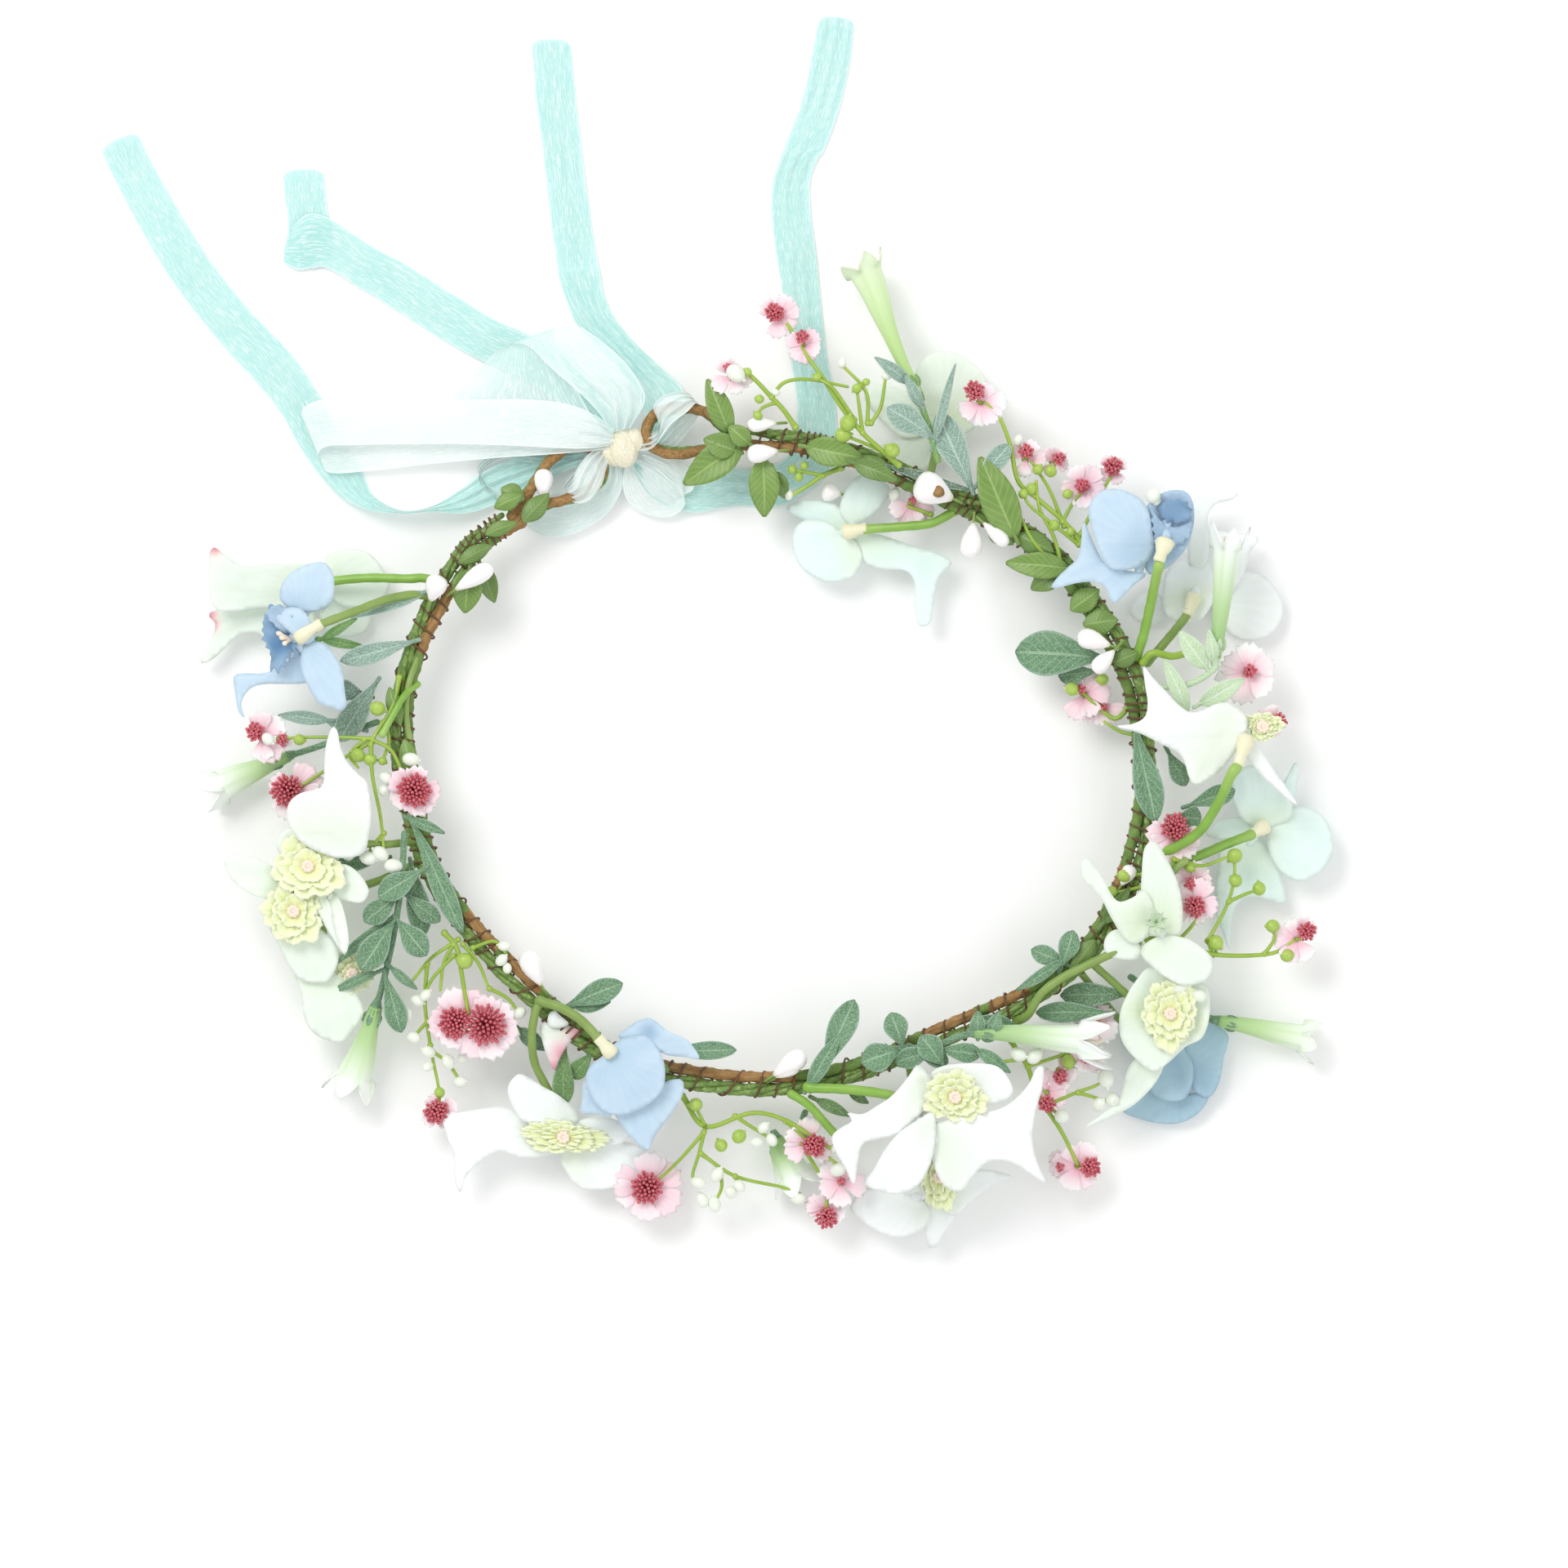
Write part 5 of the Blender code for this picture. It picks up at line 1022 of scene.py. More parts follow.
# ---------------------------------------------------------------- right side
flower("white_flower_star", [
    (((1515, 880), (1526, 886), (1532, 905), (1558, 944), (1586, 986), (1548, 956), (1520, 922), (1510, 898)), (1500, 896), 23.4, dict(rise=-1.2, fold=0.6)),
    (((1397, 817), (1408, 830), (1425, 848), (1440, 864), (1455, 873), (1470, 870), (1485, 863), (1502, 862), (1523, 880), (1519, 905), (1506, 926), (1490, 945), (1475, 955), (1460, 961), (1452, 950), (1448, 935), (1440, 922), (1420, 912), (1392, 898), (1364, 890), (1384, 887), (1399, 878), (1402, 860), (1399, 840)), (1490, 900), 25.6, dict(rise=2.4, dome=1.6, curl=1.2, tip=(1397, 850), fold=0.5)),
], WHITE, "white_flower_star_body", coronas=[((1543, 890), 22.6, 23, 18, dict(high=2.0, tilt=(0.2, 0)))], calyxes=[((1512, 938, 28.2), (1524, 902, 25.0), 1.5, 2.3)])
stem("white_flower_star_stem_wire", ((1404, 1046, 15.4), (1432, 1040, 18), (1466, 1018, 22), (1489, 982, 26), (1503, 950, 28.4), (1510, 940, 28.3)), 1.5, body="white_flower_star_body", replaces=("white_flower_star_stem",))

flower("white_flower_right", [
    (((1565, 1000), (1580, 989), (1605, 990), (1622, 1000), (1632, 1020), (1633, 1045), (1621, 1065), (1600, 1078), (1580, 1076), (1560, 1056), (1552, 1022)), (1548, 1012), 7.8, dict(rise=0.8, dome=1.4, curl=0.9)),
    (((1498, 1032), (1530, 1024), (1556, 1040), (1566, 1062), (1576, 1106), (1545, 1100), (1525, 1100), (1511, 1120), (1508, 1164), (1498, 1140), (1489, 1110), (1493, 1060)), (1540, 1022), 6.2, dict(rise=-2.0, dome=1.0, curl=0.6)),
    (((1508, 952), (1530, 937), (1556, 940), (1571, 955), (1581, 978), (1580, 1002), (1552, 1014), (1528, 1008), (1512, 988)), (1546, 1010), 8.4, dict(rise=2.0, cup=1.8, curl=-0.4, tint=0.0)),
    (((1568, 968), (1577, 950), (1588, 932), (1590, 952), (1586, 980), (1578, 1000), (1566, 994)), (1556, 1008), 7.4, dict(rise=1.2, fold=0.5)),
    (((1477, 1022), (1494, 1005), (1520, 1001), (1538, 1010), (1528, 1024), (1505, 1029)), (1542, 1014), 7.0, dict(rise=-0.6, dome=0.6)),
], MINT, calyxes=[((1528, 1024, 13.4), (1552, 1010, 11.0), 1.4, 2.2)])
stem("white_flower_right_wire", ((1448, 1054, 14.2), (1470, 1047, 14.6), (1500, 1034, 14.6), (1532, 1022, 13.4)), 1.45)

b = Build()
flower("pale_green_flower", [
    (((1396, 1060), (1400, 1036), (1412, 1030), (1422, 1044), (1431, 1060), (1441, 1085), (1446, 1118), (1440, 1146), (1412, 1146), (1396, 1120)), (1412, 1132), 22.4, dict(rise=2.2, dome=1.2, curl=0.8)),
    (((1320, 1060), (1325, 1049), (1334, 1053), (1346, 1071), (1365, 1102), (1385, 1098), (1400, 1090), (1412, 1118), (1398, 1150), (1378, 1152), (1359, 1124), (1344, 1096), (1325, 1078)), (1402, 1128), 23.2, dict(rise=3.0, dome=1.0, curl=0.7)),
    (((1350, 1160), (1355, 1143), (1370, 1137), (1388, 1150), (1398, 1164), (1388, 1174), (1362, 1172)), (1404, 1140), 21.6, dict(rise=-0.8, dome=1.0)),
    (((1395, 1168), (1400, 1155), (1420, 1145), (1447, 1147), (1466, 1157), (1481, 1172), (1480, 1190), (1470, 1201), (1445, 1205), (1420, 1192), (1406, 1180)), (1416, 1136), 22.6, dict(rise=1.0, dome=1.5, curl=0.8)),
], WHITE_GREEN)
for k in range(15):
    a = 2 * math.pi * k / 15
    tip_ = G(1413 + 15 * math.cos(a) * (0.7 + 0.3 * (k % 3) / 2), 1128 + 17 * math.sin(a) * (0.7 + 0.3 * (k % 2)), 26.5 + 1.2 * (k % 2))
    leaf(b, G(1413, 1128, 24.2), tip_, 1.7, lift=0.5, fold=0.4, wave=0.05, shape="narrow", seed=k, rows=7, cols=5)
b.make("pale_green_flower_tuft", PALE, slot="frosted_leaf", solid=0.2)

flower("white_flower_lower_right", [
    (((1380, 1215), (1390, 1200), (1405, 1184), (1425, 1190), (1445, 1202), (1475, 1205), (1480, 1235), (1472, 1268), (1450, 1281), (1430, 1300), (1410, 1311), (1385, 1291), (1371, 1270), (1370, 1240)), (1428, 1246), 17.6, dict(rise=0.6, dome=0.6, cup=1.6, curl=0.5)),
    (((1398, 1290), (1425, 1294), (1418, 1320), (1397, 1345), (1374, 1361), (1328, 1381), (1352, 1362), (1371, 1345), (1380, 1310)), (1422, 1262), 15.4, dict(rise=-2.8, fold=0.6, dome=0.6)),
], WHITE_GREEN, coronas=[((1431, 1240), 19.2, 33, 43, dict(lobes=12, tilt=(0.05, -0.05)))])

# this low flower takes the darker copy of the blue petal colours: its shade is painted into the colour
flower("blue_flower_shaded", [
    (((1440, 1345), (1460, 1340), (1482, 1342), (1470, 1364), (1446, 1377), (1420, 1377), (1398, 1372), (1377, 1362), (1394, 1344), (1412, 1330)), (1446, 1316), 3.8, dict(rise=-1.2, dome=1.0, curl=0.6)),
    (((1452, 1275), (1462, 1258), (1478, 1244), (1494, 1256), (1506, 1271), (1500, 1296), (1495, 1325), (1482, 1345), (1462, 1335), (1448, 1308)), (1446, 1316), 5.4, dict(rise=0.6, dome=1.4, curl=0.9)),
    (((1410, 1300), (1426, 1286), (1446, 1280), (1460, 1298), (1462, 1322), (1452, 1346), (1428, 1348), (1408, 1334)), (1448, 1318), 7.0, dict(rise=0.4, dome=1.6, curl=0.8, tint=-0.3)),
    (((1376, 1258), (1396, 1248), (1420, 1256), (1428, 1278), (1412, 1296), (1388, 1292), (1374, 1276)), (1436, 1308), 4.6, dict(rise=0.0, dome=1.0)),
], BLUE_PAINTED_SHADE, slot="blue_petal")


# ---------------------------------------------------------------- bottom and left group
flower("white_flower_bottom", [
    (((1140, 1320), (1142, 1309), (1160, 1302), (1190, 1300), (1215, 1302), (1229, 1312), (1239, 1335), (1224, 1348), (1196, 1350), (1160, 1345)), (1170, 1356), 22.6, dict(rise=2.4, dome=0.9, cup=0.8)),
    (((1018, 1390), (1030, 1378), (1043, 1370), (1037, 1360), (1055, 1362), (1073, 1352), (1092, 1339), (1110, 1318), (1122, 1302), (1131, 1308), (1141, 1322), (1140, 1342), (1126, 1362), (1102, 1384), (1076, 1392), (1056, 1398), (1050, 1420), (1045, 1448), (1034, 1426), (1024, 1410)), (1136, 1380), 24.2, dict(rise=1.0, dome=1.5, curl=1.0, fold=0.4, tip=(1040, 1392))),
    (((1140, 1376), (1156, 1370), (1180, 1364), (1204, 1360), (1226, 1354), (1243, 1342), (1258, 1325), (1267, 1306), (1276, 1305), (1274, 1330), (1266, 1360), (1262, 1390), (1268, 1420), (1279, 1446), (1262, 1436), (1244, 1424), (1224, 1418), (1206, 1421), (1190, 1438), (1176, 1456), (1154, 1448), (1140, 1415)), (1148, 1398), 24.6, dict(rise=1.2, dome=1.7, curl=1.1, fold=0.3, tip=(1268, 1376))),
    (((1142, 1360), (1124, 1368), (1100, 1384), (1082, 1406), (1070, 1428), (1059, 1447), (1078, 1456), (1100, 1459), (1124, 1447), (1138, 1422), (1144, 1392)), (1142, 1376), 26.0, dict(rise=-0.8, dome=1.8, curl=1.0, tip=(1072, 1450))),
], WHITE, "white_flower_bottom_body", coronas=[((1168, 1341), 25.0, 38, 31, dict(tilt=(0.02, -0.1), lobes=12))], calyxes=[((1098, 1340, 21.8), (1128, 1352, 22.0), 1.5, 2.0)])
stem("white_flower_bottom_stem_wire", ((988, 1330, 19.3), (996, 1331, 19.9), (1030, 1332, 20.8), (1070, 1336, 21.6), (1106, 1343, 21.9)), 1.45, body="white_flower_bottom_body", replaces=("white_flower_bottom_stem",))

flower("white_flower_bottom_low", [
    (((1041, 1480), (1050, 1465), (1064, 1455), (1090, 1458), (1124, 1466), (1138, 1480), (1136, 1498), (1120, 1511), (1095, 1516), (1070, 1506), (1050, 1492)), (1142, 1448), 12.0, dict(rise=-4.5, dome=1.2, curl=0.8)),
    (((1130, 1470), (1150, 1458), (1168, 1470), (1170, 1490), (1156, 1512), (1146, 1528), (1137, 1527), (1132, 1506), (1126, 1488)), (1150, 1444), 12.4, dict(rise=-5.0, fold=0.6, dome=0.6)),
    (((1150, 1458), (1176, 1440), (1204, 1432), (1240, 1441), (1216, 1452), (1192, 1470), (1172, 1488), (1154, 1482)), (1152, 1446), 13.2, dict(rise=-2.8, dome=1.0, fold=0.4)),
    (((1108, 1418), (1130, 1404), (1160, 1404), (1180, 1418), (1182, 1446), (1160, 1462), (1124, 1460), (1108, 1444)), (1148, 1440), 13.8, dict(rise=0.4, cup=0.8)),
], WHITE, coronas=[((1149, 1440), 15.2, 22, 41, dict(lobes=12, high=2.2))])

flower("white_flower_lower_left", [
    (((541, 1363), (560, 1362), (590, 1358), (618, 1356), (642, 1366), (672, 1378), (693, 1392), (684, 1410), (662, 1417), (635, 1417), (615, 1410), (598, 1415), (582, 1428), (570, 1442), (563, 1461), (556, 1442), (555, 1415), (546, 1388)), (688, 1394), 10.6, dict(rise=0.6, dome=1.6, curl=1.0, fold=0.4, tip=(548, 1395))),
    (((622, 1332), (634, 1315), (646, 1318), (665, 1330), (686, 1342), (709, 1366), (694, 1380), (664, 1376), (640, 1372), (628, 1356)), (690, 1386), 12.0, dict(rise=3.6, dome=1.2, curl=0.9)),
    (((684, 1414), (700, 1400), (730, 1395), (760, 1398), (785, 1405), (794, 1420), (790, 1440), (771, 1451), (745, 1456), (720, 1458), (705, 1452), (694, 1438)), (704, 1398), 9.4, dict(rise=0.2, dome=1.6, curl=1.0)),
    (((708, 1374), (730, 1368), (751, 1370), (764, 1378), (772, 1391), (753, 1402), (736, 1398), (718, 1392)), (702, 1388), 11.4, dict(rise=1.2, dome=0.9)),
], WHITE, coronas=[((690, 1392), 13.0, 50, 20, dict(lobes=14, high=1.9, turn=0.10))])
stem("white_flower_lower_left_wire", ((664, 1224, 18.6), (656, 1240, 19.0), (652, 1272, 17.6), (656, 1304, 14.5), (674, 1340, 11.4), (684, 1366, 10.4)), 1.25, STEM_OLIVE)

flower("blue_flower_bottom", [
    (((758, 1268), (772, 1255), (785, 1247), (797, 1245), (808, 1252), (821, 1262), (840, 1270), (852, 1283), (857, 1295), (838, 1292), (818, 1290), (796, 1280), (776, 1276)), (756, 1290), 23.6, dict(rise=2.6, dome=0.8, ruffle=0.5, tint_at=near([(796, 1262)], 12, 0.5))),
    (((812, 1325), (826, 1320), (837, 1322), (836, 1340), (826, 1358), (815, 1372), (802, 1390), (795, 1407), (780, 1398), (768, 1384), (758, 1370), (754, 1358), (780, 1346)), (764, 1306), 22.6, dict(rise=-1.0, dome=1.1, curl=0.6, fold=0.3)),
    (((716, 1322), (730, 1332), (744, 1350), (750, 1366), (730, 1362), (712, 1361), (714, 1345)), (748, 1316), 22.4, dict(rise=-0.8, dome=0.5)),
    (((738, 1292), (758, 1273), (780, 1266), (796, 1268), (808, 1284), (815, 1305), (813, 1330), (800, 1346), (780, 1358), (760, 1363), (742, 1359), (728, 1346), (720, 1328), (719, 1314), (727, 1300)), (746, 1288), 25.2, dict(rise=0.8, dome=2.4, curl=1.7, tip=(790, 1345))),
], BLUE, "blue_flower_bottom_body", slot="blue_petal", calyxes=[((733, 1268, 27.6), (752, 1290, 26.6), 1.5, 2.2)])
stem("blue_flower_bottom_stem_wire", ((661, 1224, 19.3), (668, 1227, 19.9), (686, 1232, 21.5), (708, 1244, 24), (726, 1260, 27.0), (736, 1272, 27.4)), 1.4, STEM_OLIVE, "blue_flower_bottom_body", replaces=("blue_flower_bottom_stem",))

b = Build()
petal(b, ((662, 1255), (676, 1252), (690, 1253), (711, 1262), (706, 1270), (698, 1276), (690, 1288), (683, 1301), (679, 1311), (671, 1294), (665, 1275)), (684, 1262), 16.5, rise=-0.5, dome=1.6, curl=0.9, seed=61, tint_at=near([(710, 1264), (690, 1290), (680, 1308)], 16, 0.8))
petal(b, ((673, 1241), (680, 1237), (688, 1244), (697, 1253), (684, 1258), (672, 1254)), (684, 1258), 17.6, rise=0.8, dome=0.8, seed=62)
b.make("pink_edged_bud", WHITE, slot="white_petal", solid=0.4)

# ---------------------------------------------------------------- top group
flower("white_flower_top", [
    (((1058, 482), (1074, 470), (1100, 474), (1130, 488), (1144, 512), (1128, 532), (1104, 534), (1086, 520), (1068, 500)), (1146, 500), 5.0, dict(rise=-1.0, dome=1.0, curl=0.6)),
    (((1085, 545), (1110, 535), (1142, 532), (1156, 550), (1142, 570), (1115, 574), (1094, 564)), (1150, 512), 4.2, dict(rise=-1.2, dome=0.8)),
    (((1118, 478), (1122, 452), (1138, 434), (1160, 429), (1186, 439), (1206, 460), (1214, 490), (1202, 516), (1176, 532), (1148, 524), (1128, 506)), (1158, 508), 6.4, dict(rise=2.0, cup=1.6, dome=0.8, curl=0.6)),
], WHITE_GREEN)

flower("white_flower_inner", [
    (((963, 622), (980, 612), (1005, 612), (1028, 620), (1042, 638), (1036, 652), (1012, 648), (985, 636)), (1040, 650), 7.0, dict(rise=-0.8, dome=0.8, curl=0.6)),
    (((1028, 624), (1040, 592), (1060, 578), (1080, 585), (1091, 602), (1078, 620), (1060, 636), (1042, 642)), (1044, 648), 7.4, dict(rise=-0.6, dome=1.0, curl=0.6)),
    (((1045, 655), (1060, 650), (1090, 658), (1118, 668), (1145, 675), (1166, 688), (1154, 702), (1147, 716), (1143, 740), (1139, 763), (1125, 765), (1120, 740), (1120, 712), (1108, 698), (1085, 697), (1062, 690), (1050, 674)), (1048, 660), 7.8, dict(rise=0.4, dome=1.0, curl=0.6)),
    (((974, 646), (990, 635), (1012, 638), (1034, 652), (1052, 666), (1057, 684), (1050, 700), (1035, 710), (1010, 712), (990, 702), (978, 690), (970, 668)), (1044, 654), 8.4, dict(rise=0.2, dome=1.8, curl=1.2)),
], MINT, "white_flower_inner_body", calyxes=[((1062, 646, 12.0), (1032, 652, 10.8), 1.5, 2.3)])
stem("white_flower_inner_stem_wire", ((1181, 624, 14.1), (1168, 627, 14), (1140, 641, 14), (1104, 645, 13.4), (1072, 647, 12.2), (1058, 648, 11.8)), 1.35, body="white_flower_inner_body", replaces=("white_flower_inner_stem",))

# more wired stems that lead to the outer flowers
stem("stem_left_side_a", ((512, 838, 15.2), (498, 850, 18.6), (484, 874, 20.6), (470, 900, 21.6)), 1.0)
stem("stem_left_side_b", ((514, 800, 15.0), (502, 836, 17.4), (498, 870, 17.4), (502, 908, 15.6)), 0.95, STEM_OLIVE)
stem("stem_bottom_b", ((968, 1338, 18.4), (990, 1352, 19.4), (1012, 1376, 18.6), (1030, 1396, 18)), 1.25)
stem("stem_lower_right", ((1244, 1250, 14.8), (1258, 1242, 18.0), (1274, 1216, 19.4), (1300, 1196, 20), (1330, 1181, 20.4), (1366, 1164, 20.4), (1392, 1154, 17.6)), 1.3, STEM_OLIVE)
stem("stem_upper_right_b", ((1398, 812, 17), (1410, 800, 18), (1434, 804, 17.6), (1452, 800, 16.4)), 1.1, SPRAY)
stem("stem_right_a", ((1402, 1098, 17), (1424, 1078, 18.4), (1442, 1060, 18.4), (1450, 1054, 18.2)), 1.1, STEM_OLIVE)

# the stems of the flowers that lie over or under their neighbours
stem("white_flower_top_wire", ((1136, 594, 12.5), (1142, 570, 9.5), (1148, 540, 5.6), (1150, 512, 3.6)), 1.15, STEM_OLIVE)
stem("white_flower_spire_wire", ((508, 1030, 15.6), (470, 1034, 20), (436, 1030, 23.8), (410, 1020, 25.2)), 1.15, STEM_OLIVE)
stem("white_flower_double_wire", ((520, 1052, 14), (470, 1076, 15), (430, 1088, 17.2), (390, 1090, 19.0)), 1.2, STEM_OLIVE)
stem("white_flower_double_wire_low", ((392, 1094, 18.2), (396, 1130, 16.2), (400, 1174, 14.8)), 1.1, STEM_OLIVE)
stem("pale_green_flower_wire", ((1366, 1112, 16), (1384, 1124, 18.6), (1408, 1132, 21.4)), 1.15, STEM_OLIVE)
stem("white_flower_lower_right_wire", ((1326, 1170, 15), (1360, 1200, 14.6), (1400, 1236, 15), (1426, 1252, 16.2)), 1.15, STEM_OLIVE)
stem("blue_flower_shaded_wire", ((1316, 1182, 13.6), (1360, 1236, 9), (1410, 1290, 4.8), (1444, 1314, 3.8)), 1.1, STEM_OLIVE)
stem("white_flower_bottom_low_wire", ((1110, 1288, 14), (1118, 1330, 12.6), (1134, 1390, 11.2), (1148, 1438, 11.4)), 1.1, STEM_OLIVE)


# ---------------------------------------------------------------- trumpet flowers
def trumpet(b, route, radii, mouth_r, lobe, n=5, seed=0, tint=0.0, curl=0.22, cut=0.9):
    """A hollow trumpet along (u, v, z) points with a radius (mm) at each, that opens into n pointed lobes."""
    line = curve([G(*p) for p in route], 10)
    m = 26
    line = even(line, m)
    rad = np.interp(np.linspace(0, 1, m), np.linspace(0, 1, len(radii)), radii)
    t, s, u = frames(line)
    cols = n * 8
    g = rand(seed + 900)
    ph = g.uniform(0, 6.28)
    ang = np.linspace(0, 2 * np.pi, cols, endpoint=False)
    P, F = [], []
    total = m + 9
    for i in range(m):
        r = rad[i] * (1 + 0.05 * np.cos(n * ang + ph) * (i / m))
        P.append(line[i] + (s[i] * np.cos(ang)[:, None] + u[i] * np.sin(ang)[:, None]) * r[:, None])
        F.append(np.stack([ang / np.pi - 1, np.full(cols, i / total), np.ones(cols)], axis=1))
    saw = np.abs(((n * ang / (2 * np.pi) + 0.5) % 1.0) * 2 - 1)
    shape = (1 - saw) ** 0.85
    stretch = 1 + 0.15 * np.array([g.uniform(-1, 1) for _ in range(n)]).repeat(8)[: cols]
    for k in range(1, 10):
        f = k / 9
        reach = lobe * f * (cut * shape * stretch + (1 - cut) * 0.55)
        r = rad[-1] + (mouth_r * 1.1 - rad[-1]) * f ** 0.8 * (0.5 + 0.5 * shape)
        back = curl * lobe * f**3 * shape
        P.append(line[-1] + t[-1] * (reach - back)[:, None] + (s[-1] * np.cos(ang)[:, None] + u[-1] * np.sin(ang)[:, None]) * r[:, None])
        F.append(np.stack([ang / np.pi - 1, np.full(cols, (m + k) / total), np.full(cols, 1 - f)], axis=1))
    P = np.array(P)
    P[:, :, 2] = np.maximum(P[:, :, 2], 0.35)
    b.grid(P, closed=True, fp=np.array(F), fq=(tint, g.uniform(), 0))


def stamens(b, base, tip, count=3, seed=0, r=0.22):
    g = rand(seed)
    base, tip = np.asarray(base, float), np.asarray(tip, float)
    for k in range(count):
        q = tip + g.uniform(-0.9, 0.9, 3)
        b.lathe(base, q, ((0, r), (0.82, r * 0.8), (0.88, r * 2.0), (0.97, r * 2.0), (1, r)), 6, fq=(0, g.uniform(), 0))


TRUMPETS = {
    # name: (body, stem route, flower route, radii, mouth radius, lobe length, tint)
    "trumpet_left": ("crown", ((462, 884, 12), (430, 896, 11), (395, 912, 10), (345, 928, 8.5)), ((352, 926, 8.6), (322, 939, 7.8), (292, 952, 7.0), (272, 961, 6.6)), (1.3, 2.0, 3.0, 3.9), 5.6, 7.5, 0.0),
    "trumpet_lower_left": ("crown", ((497, 1020, 21), (494, 1070, 21), (486, 1130, 19), (472, 1195, 16), (459, 1240, 14)), ((461, 1232, 14.6), (452, 1262, 12.6), (442, 1294, 9.8), (434, 1316, 8.0)), (1.5, 2.1, 3.2, 4.4), 6.4, 8.0, 0.1),
    "trumpet_top": ("trumpet_top_body", ((1148, 566, 20.5), (1135, 520, 20.5), (1122, 480, 19)), ((1124, 484, 19.2), (1106, 448, 18), (1086, 400, 15.4), (1070, 356, 13), (1060, 334, 12)), (1.1, 1.3, 1.9, 3.0, 4.0), 5.8, 5.5, 0.5),
    "trumpet_upper_right": ("crown", ((1420, 842, 18), (1455, 838, 19.5), (1484, 820, 20.5), (1488, 802, 20.5)), ((1486, 806, 20.5), (1492, 756, 20.8), (1497, 706, 20.8), (1500, 674, 21.0)), (1.3, 1.8, 2.5, 3.4), 5.0, 8.0, -0.25),
    "trumpet_bottom": ("crown", ((1082, 1284, 20.4), (1140, 1280, 21.5), (1172, 1268, 22.4), (1200, 1262, 22.8)), ((1192, 1263, 22.8), (1238, 1264, 23.2), (1290, 1269, 23.6), (1318, 1271, 23.6)), (1.3, 2.0, 2.8, 3.6), 7.0, 13.0, 0.0),
    "trumpet_right": ("crown", ((1384, 1196, 11.5), (1440, 1232, 11), (1500, 1252, 10)), ((1492, 1250, 10.1), (1530, 1257, 8.8), (1566, 1265, 7.4), (1594, 1271, 6.6)), (1.2, 1.9, 2.6, 3.3), 5.6, 6.0, 0.15),
    "trumpet_bottom_bell": ("crown", ((986, 1362, 10), (976, 1390, 8.5)), ((950, 1394, 9.0), (956, 1410, 8.4), (964, 1424, 7.4), (970, 1436, 6.6)), (1.6, 2.6, 3.6, 4.4), 6.4, 8.0, 0.0),
}
for i, (name, (body, sroute, route, radii, mouth_r, lobe, tint)) in enumerate(TRUMPETS.items()):
    b = Build()
    trumpet(b, route, radii, mouth_r, lobe, 5 if i != 4 else 6, seed=i, tint=tint)
    b.make(name + "_flower", TRUMPET, body, slot="trumpet", replaces=(name,), solid=0.45)
    b = Build()
    line = path(sroute, 0.8)
    b.tube(line, 0.85, 10, fq=(0, 0.2, 0))
    base, nxt = G(*route[0]), G(*route[1])
    d = unit(nxt - base)
    b.lathe(base - d * 2.2, base + d * 2.6, ((0, 0.8), (0.2, 1.15), (0.6, radii[0] * 1.22), (0.9, radii[0] * 1.3), (1.0, radii[0] * 1.0)), 12, fq=(0, 0.4, 0))
    for k in range(5):
        a = 2 * math.pi * k / 5
        side = unit(np.cross(d, UP)) * math.cos(a) + unit(np.cross(np.cross(d, UP), d)) * math.sin(a)
        leaf(b, base + d * 1.6 + side * radii[0] * 1.1, base + d * 5.2 + side * radii[0] * 1.55, 1.6, lift=0.2, fold=0.2, wave=0.0, shape="narrow", seed=k, rows=7, cols=5)
    b.make(name + "_branch", PALE if i == 3 else GLOSSY if i == 2 else FROST, body, slot="frosted_leaf")
    b = Build()
    end, prev = G(*route[-1]), G(*route[-2])
    e = unit(end - prev)
    stamens(b, end - e * 3, end + e * (lobe * 0.45), 3, seed=i)
    b.make(name + "_stamens", DOT, body, slot="trumpet")

